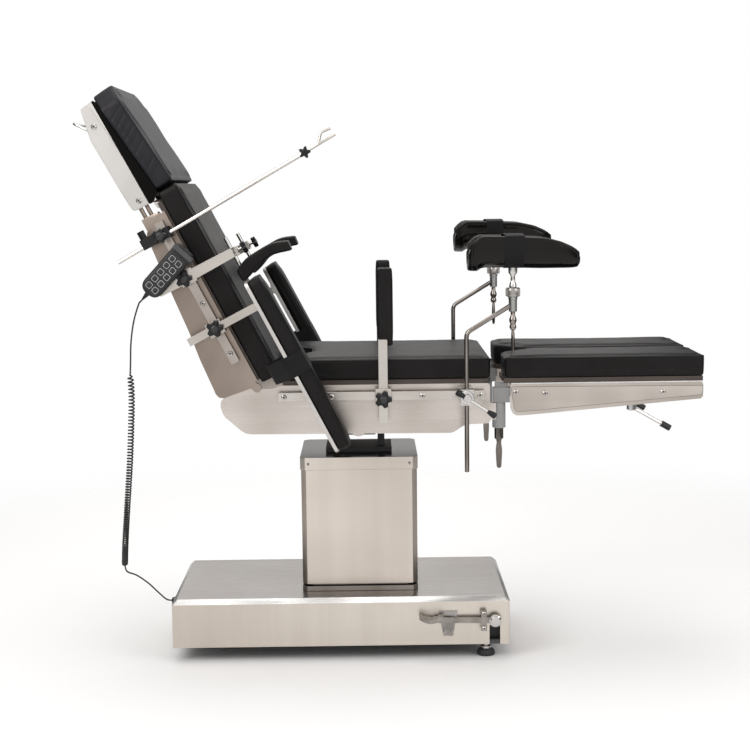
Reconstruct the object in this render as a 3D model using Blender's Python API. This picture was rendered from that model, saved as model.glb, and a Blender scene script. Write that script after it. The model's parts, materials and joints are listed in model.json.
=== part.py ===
"""Electric operating table with leg holders, arm boards and a corded hand control.

Metres, +Z up, floor at Z = 0. +X runs to the patient's feet and -Y is the near side,
where the hand control hangs. Places written as (across, up) are seen from the near side.
"""

from math import ceil, cos, hypot, pi, radians, sin

import bmesh
import bpy
from mathutils import Matrix, Vector

for old in list(bpy.data.objects):
    bpy.data.objects.remove(old, do_unlink=True)

# Driving dimensions of the table
BASE_LEFT = -0.620
BASE_LENGTH = 0.953
BASE_HALF_WIDTH = 0.245
BASE_UNDER = 0.043
BASE_TOP = 0.180
COLUMN_X = -0.088
COVER_LENGTH = 0.330
COVER_WIDTH = 0.320
BOARD_UNDER = 0.787
BOARD = 0.0127
MATTRESS = 0.060
TILT_Z = BOARD_UNDER - 0.147
COLLAR_TOP = TILT_Z - 0.072
FRAME_HALF_WIDTH = 0.254
MATTRESS_HALF_WIDTH = FRAME_HALF_WIDTH + 0.004
PLATE = 0.004
SEAT_LEFT = -0.469
SEAT_PLATE_LENGTH = 0.747
SEAT_PLATE_DEPTH = 0.138
SEAT_CUSHION_LEFT = -0.297
SEAT_CUSHION_LENGTH = 0.579
LEG_LEFT = 0.316
LEG_LENGTH = 0.557
BACK_PIVOT_X = -0.365
BACK_PIVOT_Z = BOARD_UNDER - 0.005
BACK_ANGLE = radians(62.45)
BACK_LENGTH = 0.600
HEAD_ANGLE = radians(57.9)
HEAD_PIVOT_ALONG = 0.602
HEAD_PIVOT_UP = -0.036
HEAD_LENGTH = 0.3105
RAIL_HEIGHT = 0.024
RAIL_THICK = 0.008
RAIL_OFFSET = FRAME_HALF_WIDTH + 0.018
SEAT_RAIL_Z = BOARD_UNDER - 0.029
BACK_RAIL_UP = -0.016

# Fits that every piece shares
GAP = 0.0003
WELD = 0.001
OVERRUN = 0.004
SHEET = 0.002
LAYER_GAP = 0.003
KNUCKLE_GAP = 0.0005

# Facets
ROUND_SIDES = 12
PIN_SIDES = 8
SMALL_SIDES = 8
BOLT_SIDES = 6
CORNER_STEPS = 2
EDGE_ANGLE = radians(32)

SIDES = {"near": -1, "far": 1}


def material(name, colour, roughness, metallic):
    """Plain principled surface."""
    look = bpy.data.materials.new(name)
    look.use_nodes = True
    shader = look.node_tree.nodes["Principled BSDF"]
    shader.inputs["Base Color"].default_value = (*colour, 1.0)
    shader.inputs["Roughness"].default_value = roughness
    shader.inputs["Metallic"].default_value = metallic
    return look


BRUSHED = material("brushed_steel", (0.62, 0.58, 0.55), 0.38, 1.0)
POLISHED = material("polished_steel", (0.74, 0.72, 0.70), 0.18, 1.0)
PAINTED = material("painted_grey", (0.45, 0.45, 0.46), 0.45, 0.2)
CAST = material("cast_iron", (0.10, 0.10, 0.11), 0.55, 0.6)
LEATHER = material("black_leather", (0.022, 0.022, 0.026), 0.42, 0.0)
PLASTIC = material("black_plastic", (0.018, 0.018, 0.020), 0.35, 0.0)
SILICONE = material("keypad_grey", (0.30, 0.31, 0.33), 0.6, 0.0)
CABLE = material("cable_black", (0.015, 0.015, 0.016), 0.5, 0.0)


def at(axis, first, second, along):
    """Point from its two drawn coordinates and its place along the axis."""
    place = [first, second]
    place.insert("XYZ".index(axis), along)
    return Vector(place)


def loft(rings):
    """Closed solid through rings that hold the same number of points."""
    mesh = bmesh.new()
    loops = [[mesh.verts.new(point) for point in ring] for ring in rings]
    count = len(loops[0])
    for lower, upper in zip(loops, loops[1:]):
        for index in range(count):
            after = (index + 1) % count
            mesh.faces.new((lower[index], lower[after], upper[after], upper[index]))
    mesh.faces.new(list(reversed(loops[0])))
    mesh.faces.new(loops[-1])
    bmesh.ops.recalc_face_normals(mesh, faces=mesh.faces)
    data = bpy.data.meshes.new("shape")
    mesh.to_mesh(data)
    mesh.free()
    shape = bpy.data.objects.new("shape", data)
    bpy.context.collection.objects.link(shape)
    return shape


def prism(outline, low, high, axis="Y"):
    """Outline extruded between two places on an axis."""
    return loft([[at(axis, a, b, end) for a, b in outline] for end in (low, high)])


def block(x, y, z):
    """Box from three (low, high) pairs."""
    outline = [(x[0], y[0]), (x[1], y[0]), (x[1], y[1]), (x[0], y[1])]
    return prism(outline, z[0], z[1], "Z")


def circle(centre, radius, sides, turn=0.0):
    """Outline of a regular polygon that stands for a circle."""
    steps = [turn + 2 * pi * index / sides for index in range(sides)]
    return [(centre[0] + radius * cos(t), centre[1] + radius * sin(t)) for t in steps]


def turned(profile, centre, axis, sides=PIN_SIDES):
    """Solid turned on an axis from (radius, place along the axis) pairs."""
    rings = []
    for radius, along in profile:
        rings.append([at(axis, a, b, along) for a, b in circle(centre, radius, sides)])
    return loft(rings)


def pin(centre, radius, low, high, axis, sides=PIN_SIDES):
    """Plain round bar along an axis."""
    return turned([(radius, low), (radius, high)], centre, axis, sides)


def bore(centre, radius, low, high, axis, sides=PIN_SIDES):
    """Cutter for a hole in which a pin of this radius turns with the shared gap."""
    return pin(centre, (radius + GAP) / cos(pi / sides), low, high, axis, sides)


def bent(corners, radius, steps=3):
    """Path whose corners are rounded."""
    path = [Vector(corners[0])]
    for before, corner, after in zip(corners, corners[1:], corners[2:]):
        corner = Vector(corner)
        arrive = (Vector(before) - corner).normalized() * radius
        leave = (Vector(after) - corner).normalized() * radius
        for step in range(steps + 1):
            share = step / steps
            path.append(corner + arrive * (1 - share) ** 2 + leave * share ** 2)
    path.append(Vector(corners[-1]))
    return path


def tube(path, radius, sides=SMALL_SIDES):
    """Round bar along a path."""
    rings = []
    side = (path[1] - path[0]).orthogonal().normalized()
    for index, point in enumerate(path):
        ahead = path[min(index + 1, len(path) - 1)]
        heading = (ahead - path[max(index - 1, 0)]).normalized()
        side = (side - heading * side.dot(heading)).normalized()
        other = heading.cross(side)
        ring = circle((0, 0), radius, sides)
        rings.append([point + side * a + other * b for a, b in ring])
    return loft(rings)


def softened(outline, radius, steps=CORNER_STEPS):
    """Outline with its corners rounded, each limited by its shorter edge."""
    points = []
    for index, corner in enumerate(outline):
        corner = Vector(corner)
        before = Vector(outline[index - 1]) - corner
        after = Vector(outline[(index + 1) % len(outline)]) - corner
        reach = min(radius, 0.45 * before.length, 0.45 * after.length)
        arrive = before.normalized() * reach
        leave = after.normalized() * reach
        for step in range(steps + 1):
            share = step / steps
            points.append(tuple(corner + arrive * (1 - share) ** 2 + leave * share ** 2))
    return points


def inset(outline, amount):
    """Anticlockwise outline moved inward by an amount."""
    points = []
    for index, corner in enumerate(outline):
        corner = Vector(corner)
        arriving = (corner - Vector(outline[index - 1])).normalized()
        leaving = (Vector(outline[(index + 1) % len(outline)]) - corner).normalized()
        first = Vector((-arriving.y, arriving.x))
        second = Vector((-leaving.y, leaving.x))
        points.append(tuple(corner + (first + second) * amount / (1 + first.dot(second))))
    return points


def rectangle(centre, length, width):
    """Anticlockwise rectangle about a centre."""
    x, y = centre
    return [(x - length / 2, y - width / 2), (x + length / 2, y - width / 2),
            (x + length / 2, y + width / 2), (x - length / 2, y + width / 2)]


def shared(shares, origin, size):
    """Outline from shares of a size, laid off from an origin."""
    return [(origin[0] + a * size[0], origin[1] + b * size[1]) for a, b in shares]


def combined(base, others, operation):
    """First solid after the others are added to it or cut from it."""
    for other in others:
        step = base.modifiers.new("step", "BOOLEAN")
        step.operation = operation
        step.object = other
    shown = base.evaluated_get(bpy.context.evaluated_depsgraph_get())
    mesh = bpy.data.meshes.new_from_object(shown)
    base.modifiers.clear()
    base.data = mesh
    for other in others:
        bpy.data.objects.remove(other, do_unlink=True)
    return base


def join(base, *others):
    """One solid from overlapping ones."""
    return combined(base, others, "UNION")


def cut(base, *cutters):
    """Solid with the cutters taken out."""
    return combined(base, cutters, "DIFFERENCE")


def moved(solid, matrix):
    """Solid whose points are carried by a matrix."""
    solid.data.transform(matrix)
    return solid


def leaning(angle):
    """Rotation that lifts a section's head end by an angle above the level."""
    return Matrix.Rotation(angle, 4, "Y")


WORLDS = {}


def pivot(name, world, parent=None):
    """Empty on a joint's axis, kept with its world matrix."""
    empty = bpy.data.objects.new(name, None)
    bpy.context.collection.objects.link(empty)
    WORLDS[name] = world
    if parent:
        empty.parent = parent
        empty.matrix_local = WORLDS[parent.name].inverted() @ world
    else:
        empty.matrix_world = world
    return empty


def node(name, solid, look, carrier, drawn=Matrix()):
    """Finished piece with its name and material, hung on its pivot."""
    solid.data.transform(WORLDS[carrier.name].inverted() @ drawn)
    solid.name = name
    solid.data.name = name
    solid.data.materials.clear()
    solid.data.materials.append(look)
    solid.data.shade_smooth()
    solid.data.set_sharp_from_angle(angle=EDGE_ANGLE)
    solid.parent = carrier
    return solid


def out(side, low, high):
    """Two distances from the table's middle plane as a sorted pair on one side."""
    return sorted((side * low, side * high))


BACK_WORLD = Matrix.Translation((BACK_PIVOT_X, 0, BACK_PIVOT_Z)) @ leaning(BACK_ANGLE)
HEAD_IN_BACK = Matrix.Translation((-HEAD_PIVOT_ALONG, 0, HEAD_PIVOT_UP))
HEAD_WORLD = BACK_WORLD @ HEAD_IN_BACK @ leaning(HEAD_ANGLE - BACK_ANGLE)

root_pivot = pivot("root_pivot", Matrix())
lift_pivot = pivot("lift_pivot", Matrix.Translation((COLUMN_X, 0, BASE_TOP)), root_pivot)
cradle_pivot = pivot("cradle_pivot", Matrix.Translation((COLUMN_X, 0, TILT_Z)), lift_pivot)
seat_pivot = pivot("seat_pivot", Matrix.Translation((COLUMN_X, 0, TILT_Z)), cradle_pivot)
back_pivot = pivot("back_pivot", BACK_WORLD, seat_pivot)
head_pivot = pivot("head_pivot", HEAD_WORLD, back_pivot)


# Clamps, knobs and rails that the accessories share

CLAMP_LIP = 0.006
CLAMP_WALL = 0.010
CLAMP_HOOK = 0.006
KNOB_RADIUS = 0.0225
KNOB_LOBE = 0.0045
KNOB_THICK = 0.016
KNOB_LOBES = 5
KNOB_POINTS = 15
KNOB_EDGE_SHARE = 0.86
KNOB_STEM = 0.005
STEM_REACH = 0.012
RAIL_EDGE = 0.003
BOLT_RADIUS = 0.007
BOLT_HEAD = 0.0035
BOLT_DOME_SHARE = 0.6
SPACER_RADIUS = 0.008


def clamp(side, centre_x, width, rail_up, face):
    """C-shaped clamp that hooks over and under a rail, out to an outer face."""
    half = RAIL_HEIGHT / 2
    top = half + CLAMP_WALL
    hook = half - CLAMP_HOOK
    inner = RAIL_OFFSET - CLAMP_LIP
    behind = RAIL_OFFSET - GAP
    front = RAIL_OFFSET + RAIL_THICK + GAP
    upper = [(face, top), (inner, top), (inner, hook), (behind, hook), (behind, half + GAP)]
    upper.append((front, half + GAP))
    lower = [(y, -z) for y, z in reversed(upper)]
    outline = [(side * y, rail_up + z) for y, z in upper + lower]
    return prism(outline, centre_x - width / 2, centre_x + width / 2, "X")


def star_knob(side, centre, face, reach):
    """Lobed hand knob on a screw that enters the face by a reach."""
    edge = KNOB_RADIUS * (1 - KNOB_EDGE_SHARE)
    start = face + GAP
    rings = []
    for shrink, along in ((edge, 0.0), (0.0, edge), (0.0, KNOB_THICK - edge), (edge, KNOB_THICK)):
        ring = []
        for index in range(KNOB_POINTS):
            turn = pi * (2 * index + 1) / KNOB_POINTS
            radius = KNOB_RADIUS - KNOB_LOBE + KNOB_LOBE * cos(KNOB_LOBES * turn) - shrink
            across = centre[0] + radius * cos(turn)
            up = centre[1] + radius * sin(turn)
            ring.append(at("Y", across, up, side * (start + along)))
        rings.append(ring)
    stem = pin(centre, KNOB_STEM, *out(side, face - reach, start + WELD), "Y", BOLT_SIDES)
    return join(loft(rings), stem)


def screw_head(side, centre, face, radius=BOLT_RADIUS):
    """Domed head standing on a face, welded into it."""
    profile = [(radius, face - WELD), (radius, face + BOLT_HEAD * BOLT_DOME_SHARE),
               (radius * BOLT_DOME_SHARE, face + BOLT_HEAD)]
    return turned([(r, side * y) for r, y in profile], centre, "Y", BOLT_SIDES)


def side_rail(side, low, high, rail_up, bolts, plate_face):
    """Flat accessory rail with its spacers and bolt heads."""
    rim = rectangle(((low + high) / 2, rail_up), high - low, RAIL_HEIGHT)
    bar = prism(softened(rim, RAIL_EDGE, 2), *out(side, RAIL_OFFSET, RAIL_OFFSET + RAIL_THICK))
    pieces = []
    for x in bolts:
        reach = out(side, plate_face + GAP, RAIL_OFFSET + WELD)
        pieces.append(pin((x, rail_up), SPACER_RADIUS, *reach, "Y", BOLT_SIDES))
        pieces.append(screw_head(side, (x, rail_up), RAIL_OFFSET + RAIL_THICK))
    return join(bar, *pieces)


# Cushions: drawn in at the foot, full at the waist, a soft top edge and a crowned top

CUSHION_EDGE = 0.007
CUSHION_CROWN = 0.003
CROWN_INSET = 0.040
CUSHION_SIDE_SHARES = ((0.9, 0.0), (0.1, 0.2), (0.0, 0.75), (1.0, 1.0))


def cushion(outline, low, high, axis="Z", crown_inset=CROWN_INSET, lean=None):
    """Upholstered pad from an anticlockwise outline."""
    shoulder = high - CUSHION_CROWN
    levels = []
    for inset_share, rise_share in CUSHION_SIDE_SHARES:
        height = low + (shoulder - low) * rise_share
        levels.append((inset(outline, CUSHION_EDGE * inset_share), height))
    levels.append((inset(outline, crown_inset), high))
    rings = []
    for ring, height in levels:
        points = [at(axis, a, b, height) for a, b in ring]
        rings.append([lean(point) for point in points] if lean else points)
    return loft(rings)


# Base: a folded stainless cover over a steel chassis with levelling feet and rollers

BASE_CENTRE = BASE_LEFT + BASE_LENGTH / 2
BASE_RIGHT = BASE_LEFT + BASE_LENGTH
BASE_WIDTH = 2 * BASE_HALF_WIDTH
BASE_CHAMFER = 0.013
BASE_CORNER = 0.008
CHASSIS_FLOOR = 0.012
CHASSIS_BEAM = 0.040
CHASSIS_BEAM_Y = BASE_HALF_WIDTH - 0.115
CHASSIS_BEAM_RISE = 0.050
RAM_SIZE = 0.110
GUIDE_WALL = 0.018
GUIDE_TOP = COLLAR_TOP - 0.098
FOOT_X = BASE_RIGHT - 0.065
FOOT_Y = BASE_HALF_WIDTH - 0.045
FOOT_RADIUS = 0.025
FOOT_EDGE = 0.020
FOOT_RISE = 0.012
FOOT_STEM = 0.007
ROLLER_X = BASE_LEFT + 0.080
ROLLER_Y = 0.070
ROLLER_RADIUS = 0.020
ROLLER_WIDTH = 0.022
FORK_WALL = 0.005
FORK_WIDTH = 0.026
PEDAL_X = BASE_RIGHT - 0.043
PEDAL_Z = 0.116
PEDAL_SHAFT = 0.007
PEDAL_BEARING_Y = BASE_HALF_WIDTH - 0.040
PEDAL_BEARING_WALL = 0.012
PEDAL_BEARING_HALF = 0.016
NOTCH_HALF = 0.015
NOTCH_TOP = 0.098
GLAND_Y = -0.135
GLAND_Z = 0.152
GLAND_RADIUS = 0.010
GLAND_LENGTH = 0.012
GLAND_NOSE = 0.007


def base_chassis():
    """Floor plate, beams, the column's guide tube, pedal bearing, feet and rollers."""
    shrink = 2 * (SHEET + GAP)
    floor_rim = rectangle((BASE_CENTRE, 0), BASE_LENGTH - shrink, BASE_WIDTH - shrink)
    floor_top = BASE_UNDER + CHASSIS_FLOOR
    floor = prism(softened(floor_rim, BASE_CORNER, 2), BASE_UNDER, floor_top, "Z")
    pieces = [guide_tube(floor_top), pedal_bearing(floor_top)]
    for side in SIDES.values():
        y = out(side, CHASSIS_BEAM_Y - CHASSIS_BEAM / 2, CHASSIS_BEAM_Y + CHASSIS_BEAM / 2)
        x = (BASE_LEFT + CHASSIS_BEAM, BASE_RIGHT - CHASSIS_BEAM)
        pieces.append(block(x, y, (floor_top - WELD, floor_top + CHASSIS_BEAM_RISE)))
        pieces.append(levelling_foot(side))
        pieces.extend(roller(side))
    chassis = join(floor, *pieces)
    half = RAM_SIZE / 2 + GAP
    ram_way = block((COLUMN_X - half, COLUMN_X + half), (-half, half), (floor_top, GUIDE_TOP + OVERRUN))
    shaft = bore((PEDAL_X, PEDAL_Z), PEDAL_SHAFT, *out(-1, PEDAL_BEARING_Y - OVERRUN, BASE_HALF_WIDTH), "Y")
    return cut(chassis, ram_way, shaft)


def guide_tube(floor_top):
    """Square tube in which the lift ram slides."""
    rim = rectangle((COLUMN_X, 0), RAM_SIZE + 2 * GUIDE_WALL, RAM_SIZE + 2 * GUIDE_WALL)
    return prism(rim, floor_top - WELD, GUIDE_TOP, "Z")


def pedal_bearing(floor_top):
    """Upright plate that carries the brake pedal's shaft."""
    x = (PEDAL_X - PEDAL_BEARING_HALF, PEDAL_X + PEDAL_BEARING_HALF)
    y = out(-1, PEDAL_BEARING_Y, PEDAL_BEARING_Y + PEDAL_BEARING_WALL)
    return block(x, y, (floor_top - WELD, PEDAL_Z + PEDAL_BEARING_HALF))


def levelling_foot(side):
    """Screwed foot with a round pad on the floor."""
    profile = [(FOOT_EDGE, 0), (FOOT_RADIUS, FOOT_RISE / 3), (FOOT_RADIUS, FOOT_RISE),
               (FOOT_STEM * 2, FOOT_RISE * 2), (FOOT_STEM, FOOT_RISE * 2), (FOOT_STEM, BASE_UNDER + WELD)]
    return turned(profile, (FOOT_X, side * FOOT_Y), "Z", ROUND_SIDES)


def roller(side):
    """Small transport roller between two fork plates."""
    centre = side * ROLLER_Y
    wheel_half = ROLLER_WIDTH / 2
    wheel = pin((ROLLER_X, ROLLER_RADIUS), ROLLER_RADIUS, centre - wheel_half, centre + wheel_half, "Y")
    fork_out = wheel_half + FORK_WALL
    x = (ROLLER_X - FORK_WIDTH / 2, ROLLER_X + FORK_WIDTH / 2)
    z = (ROLLER_RADIUS / 2, BASE_UNDER + WELD)
    forks = []
    for end in (-1, 1):
        y = sorted((centre + end * (wheel_half - WELD), centre + end * fork_out))
        forks.append(block(x, y, z))
    return [wheel] + forks


BRACKET_LEFT = PEDAL_X - 0.159
BRACKET_WIDTH = 0.054
BRACKET_UNDER = 0.070
BRACKET_HEIGHT = 0.071
BRACKET_THICK = 0.006
BRACKET_SHARES = ((0.25, 0.0), (0.75, 0.0), (1.0, 1.0), (0.0, 1.0))
BRACKET_SCREW_SHARES = ((0.30, 0.80), (0.70, 0.80))


def base_cover():
    """Folded shell with a chamfered top, open below, and the pedal's bracket."""
    def shell(shrink, low, top):
        rim = rectangle((BASE_CENTRE, 0), BASE_LENGTH - 2 * shrink, BASE_WIDTH - 2 * shrink)
        rings = []
        for pull, z in ((0, low), (0, top - BASE_CHAMFER), (BASE_CHAMFER, top)):
            ring = softened(inset(rim, pull), BASE_CORNER, 2)
            rings.append([at("Z", a, b, z) for a, b in ring])
        return loft(rings)

    outer = shell(0, BASE_UNDER, BASE_TOP)
    inner = shell(SHEET, BASE_UNDER - OVERRUN, BASE_TOP - SHEET)
    half = RAM_SIZE / 2 + GUIDE_WALL + GAP
    guide_way = block((COLUMN_X - half, COLUMN_X + half), (-half, half), (GUIDE_TOP / 3, BASE_TOP + OVERRUN))
    wall = out(-1, BASE_HALF_WIDTH - SHEET - OVERRUN, BASE_HALF_WIDTH + OVERRUN)
    notch = block((PEDAL_X - NOTCH_HALF, PEDAL_X + NOTCH_HALF), wall, (BASE_UNDER - OVERRUN, NOTCH_TOP))
    cover = cut(outer, inner, guide_way, notch)
    plate = shared(BRACKET_SHARES, (BRACKET_LEFT, BRACKET_UNDER), (BRACKET_WIDTH, BRACKET_HEIGHT))
    face = BASE_HALF_WIDTH + BRACKET_THICK
    bracket = prism(plate, *out(-1, BASE_HALF_WIDTH - WELD, face))
    screws = shared(BRACKET_SCREW_SHARES, (BRACKET_LEFT, BRACKET_UNDER), (BRACKET_WIDTH, BRACKET_HEIGHT))
    heads = [screw_head(-1, place, face, BOLT_RADIUS / 2) for place in screws]
    nose = [(GLAND_RADIUS, BASE_LEFT + WELD), (GLAND_RADIUS, BASE_LEFT - GLAND_LENGTH / 2),
            (GLAND_NOSE, BASE_LEFT - GLAND_LENGTH)]
    gland = turned(nose, (GLAND_Y, GLAND_Z), "X", SMALL_SIDES)
    cover = join(cover, bracket, gland, *heads)
    return cut(cover, bore((PEDAL_X, PEDAL_Z), PEDAL_SHAFT, *wall, "Y"))


SKIRT_LENGTH = 0.298
SKIRT_WIDTH = 0.288
SKIRT_TOP = COLLAR_TOP - 0.078
FLANGE_LENGTH = 0.331
FLANGE_WIDTH = 0.321
FLANGE_THICK = 0.014
COLUMN_CORNER = 0.014


def column_ring(length, width, corner, low, high):
    """Upright box about the column with bevelled corners."""
    rim = softened(rectangle((COLUMN_X, 0), length, width), corner, 1)
    return prism(rim, low, high, "Z")


def column_skirt():
    """Fixed inner skirt with its foot flange on the base."""
    foot = BASE_TOP + GAP
    flange = column_ring(FLANGE_LENGTH, FLANGE_WIDTH, COLUMN_CORNER, foot, foot + FLANGE_THICK)
    wall = column_ring(SKIRT_LENGTH, SKIRT_WIDTH, COLUMN_CORNER, foot + FLANGE_THICK / 2, SKIRT_TOP)
    hollow = column_ring(SKIRT_LENGTH - 2 * SHEET, SKIRT_WIDTH - 2 * SHEET, COLUMN_CORNER,
                         BASE_TOP - OVERRUN, SKIRT_TOP + OVERRUN)
    return cut(join(flange, wall), hollow)


GRIP_LEFT = PEDAL_X - 0.214
GRIP_LENGTH = 0.066
GRIP_UNDER = 0.116
GRIP_THICK = 0.010
GRIP_SAG = 0.012
GRIP_RIBS = 5
GRIP_RIB = 0.0025
GRIP_WIDTH = 0.034
LEVER_HALF = 0.008
LEVER_THICK = 0.007
LEVER_LEFT = PEDAL_X - 0.169
LEVER_UP = 0.119
HUB_RADIUS = 0.017
HUB_THICK = 0.009
HUB_BOLT_X = PEDAL_X - 0.032
HUB_BOLT_RISE = 0.021
LEVER_FACE = BASE_HALF_WIDTH + BRACKET_THICK + BOLT_HEAD + 2 * WELD


def pedal_grip():
    """Ribbed foot grip, dished along its length."""
    upper = []
    lower = []
    steps = GRIP_RIBS * 3
    for index in range(steps + 1):
        share = index / steps
        dish = GRIP_SAG * (2 * share - 1) ** 2
        rib = GRIP_RIB * max(0.0, sin(pi * (2 * share * GRIP_RIBS)))
        x = GRIP_LEFT + GRIP_LENGTH * share
        upper.append((x, GRIP_UNDER + GRIP_THICK + dish + rib))
        lower.append((x, GRIP_UNDER + dish))
    face = LEVER_FACE + LEVER_THICK
    return prism(lower + upper[::-1], *out(-1, LEVER_FACE, face + GRIP_WIDTH - LEVER_THICK))


def pedal_lever():
    """Brake pedal: shaft, hub, cross arm, lever bar and grip."""
    face = LEVER_FACE + LEVER_THICK
    bar_rim = [(LEVER_LEFT, LEVER_UP - LEVER_HALF), (PEDAL_X, PEDAL_Z - LEVER_HALF),
               (PEDAL_X, PEDAL_Z + LEVER_HALF), (LEVER_LEFT, LEVER_UP + LEVER_HALF)]
    bar = prism(bar_rim, *out(-1, LEVER_FACE, face))
    hub = turned([(HUB_RADIUS, -LEVER_FACE), (HUB_RADIUS, -face - HUB_THICK / 2),
                  (HUB_RADIUS / 2, -face - HUB_THICK)], (PEDAL_X, PEDAL_Z), "Y", ROUND_SIDES)
    shaft = pin((PEDAL_X, PEDAL_Z), PEDAL_SHAFT, *out(-1, PEDAL_BEARING_Y, LEVER_FACE + WELD), "Y")
    cross = block((HUB_BOLT_X - LEVER_HALF, HUB_BOLT_X + LEVER_HALF), out(-1, LEVER_FACE, face + WELD),
                  (PEDAL_Z - HUB_BOLT_RISE - LEVER_HALF, PEDAL_Z + HUB_BOLT_RISE + LEVER_HALF))
    bolts = [screw_head(-1, (HUB_BOLT_X, PEDAL_Z + end * HUB_BOLT_RISE), face + WELD, LEVER_HALF * 0.7)
             for end in (-1, 1)]
    return join(bar, hub, shaft, cross, pedal_grip(), *bolts)


# Lifting column: outer cover on the ram, with the tilt bearing above it

COVER_UNDER = 0.201
COLLAR_UNDER = COLLAR_TOP - 0.036
COLLAR_EXTRA = 0.005
COLLAR_SCREW_Z = COLLAR_TOP - 0.018
COLLAR_SCREW_X = 0.144
RAM_UNDER = 0.190
RAM_CAP = 0.013
RAM_CAP_HALF_LENGTH = 0.095
RAM_CAP_HALF_WIDTH = 0.075
LUG_OFFSET = 0.065
LUG_THICK = 0.020
LUG_HALF_FOOT = 0.034
LUG_RADIUS = 0.022
TILT_PIN = 0.011
SEAT_LUG_OFFSET = 0.085
SEAT_LUG_THICK = 0.016
PIN_END = 0.003


def column_cover():
    """Telescoping outer cover with a closed collar on top."""
    collar_width = COVER_WIDTH + COLLAR_EXTRA
    rings = []
    for extra, z in ((0, COVER_UNDER), (0, COLLAR_UNDER), (COLLAR_EXTRA, COLLAR_UNDER), (COLLAR_EXTRA, COLLAR_TOP)):
        rim = rectangle((COLUMN_X, 0), COVER_LENGTH + extra, COVER_WIDTH + extra)
        rings.append([at("Z", a, b, z) for a, b in softened(rim, COLUMN_CORNER, 1)])
    body = loft(rings)
    hollow = column_ring(COVER_LENGTH - 2 * SHEET, COVER_WIDTH - 2 * SHEET, COLUMN_CORNER,
                         COVER_UNDER - OVERRUN, COLLAR_TOP - 2 * SHEET)
    half = RAM_SIZE / 2 + GAP
    ram_way = block((COLUMN_X - half, COLUMN_X + half), (-half, half), (COLLAR_UNDER, COLLAR_TOP + OVERRUN))
    heads = []
    for side in SIDES.values():
        for end in (-1, 1):
            place = (COLUMN_X + end * COLLAR_SCREW_X, COLLAR_SCREW_Z)
            heads.append(screw_head(side, place, collar_width / 2, BOLT_RADIUS / 2))
    return join(cut(body, hollow, ram_way), *heads)


def rounded_lug(centre, foot_half, foot_up, radius, steps=6):
    """Upright lug outline: a straight foot under a round head."""
    points = [(centre[0] - foot_half, foot_up), (centre[0] + foot_half, foot_up)]
    for index in range(steps + 1):
        turn = pi * index / steps
        points.append((centre[0] + radius * cos(turn), centre[1] + radius * sin(turn)))
    return points


def lift_ram():
    """Ram, head plate and the two lugs that carry the sideways tilt."""
    half = RAM_SIZE / 2
    ram = block((COLUMN_X - half, COLUMN_X + half), (-half, half), (RAM_UNDER, COLLAR_TOP + RAM_CAP / 2))
    x = (COLUMN_X - RAM_CAP_HALF_LENGTH, COLUMN_X + RAM_CAP_HALF_LENGTH)
    cap = block(x, (-RAM_CAP_HALF_WIDTH, RAM_CAP_HALF_WIDTH), (COLLAR_TOP + GAP, COLLAR_TOP + RAM_CAP))
    lugs = []
    bores = []
    for end in (-1, 1):
        middle = COLUMN_X + end * LUG_OFFSET
        outline = rounded_lug((0, TILT_Z), LUG_HALF_FOOT, COLLAR_TOP + RAM_CAP - WELD, LUG_RADIUS)
        lugs.append(prism(outline, middle - LUG_THICK / 2, middle + LUG_THICK / 2, "X"))
        cutter = bore((0, TILT_Z), TILT_PIN, middle - LUG_THICK, middle + LUG_THICK, "X")
        bores.append(cutter)
    return cut(join(ram, cap, *lugs), *bores)


CRADLE_CHAMFER = 0.006


def tilt_cradle():
    """Cross block whose two pairs of trunnions carry both tilts."""
    half_x = LUG_OFFSET - LUG_THICK / 2 - GAP
    half_y = SEAT_LUG_OFFSET - SEAT_LUG_THICK / 2 - GAP
    core = TILT_PIN * 2
    heart = block((COLUMN_X - half_x + CRADLE_CHAMFER, COLUMN_X + half_x - CRADLE_CHAMFER),
                  (-half_y + CRADLE_CHAMFER, half_y - CRADLE_CHAMFER), (TILT_Z - core, TILT_Z + core))
    boss = TILT_PIN + CRADLE_CHAMFER
    long_boss = pin((0, TILT_Z), boss, COLUMN_X - half_x, COLUMN_X + half_x, "X", ROUND_SIDES)
    cross_boss = pin((COLUMN_X, TILT_Z), boss, -half_y, half_y, "Y", ROUND_SIDES)
    reach_x = LUG_OFFSET + LUG_THICK / 2 + PIN_END
    reach_y = SEAT_LUG_OFFSET + SEAT_LUG_THICK / 2 + PIN_END
    long_pin = pin((0, TILT_Z), TILT_PIN, COLUMN_X - reach_x, COLUMN_X + reach_x, "X")
    cross_pin = pin((COLUMN_X, TILT_Z), TILT_PIN, -reach_y, reach_y, "Y")
    return join(heart, long_boss, cross_boss, long_pin, cross_pin)


# Seat: welded frame, mattress and rails

SEAT_OUTLINE_SHARES = (
    (0.013, 0.399), (0.083, 0.065), (0.106, 0.022), (0.861, 0.0), (0.876, 0.058), (0.909, 0.167),
    (1.0, 0.188), (1.0, 1.0), (0.220, 1.0), (0.202, 0.942), (0.098, 0.949), (0.009, 0.754), (0.0, 0.616))
PLATE_CORNER = 0.006
EAR_RADIUS = 0.013
HINGE_PIN = 0.007
HINGE_REACH = 0.016
BRIDGE_Z = BOARD_UNDER - 0.072
BRIDGE_THICK = 0.012
BRIDGE_HALF = 0.075
SEAT_LUG_HALF = 0.040
SEAT_LUG_RADIUS = 0.024
TIE_RADIUS = 0.012
TIE_PLACES = ((-0.425, BOARD_UNDER - 0.087), (0.225, BOARD_UNDER - 0.082))
NOTCH_MOUTH = 0.090
NOTCH_ROOT = 0.062
NOTCH_DEPTH = 0.075
NOTCH_ROUND = 0.030
UNDERCUT = 0.018
KNUCKLE_X = 0.304
KNUCKLE_Y = FRAME_HALF_WIDTH - 0.024
SOCKET_RADIUS = 0.0185
SOCKET_UNDER = BOARD_UNDER - 0.127
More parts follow.
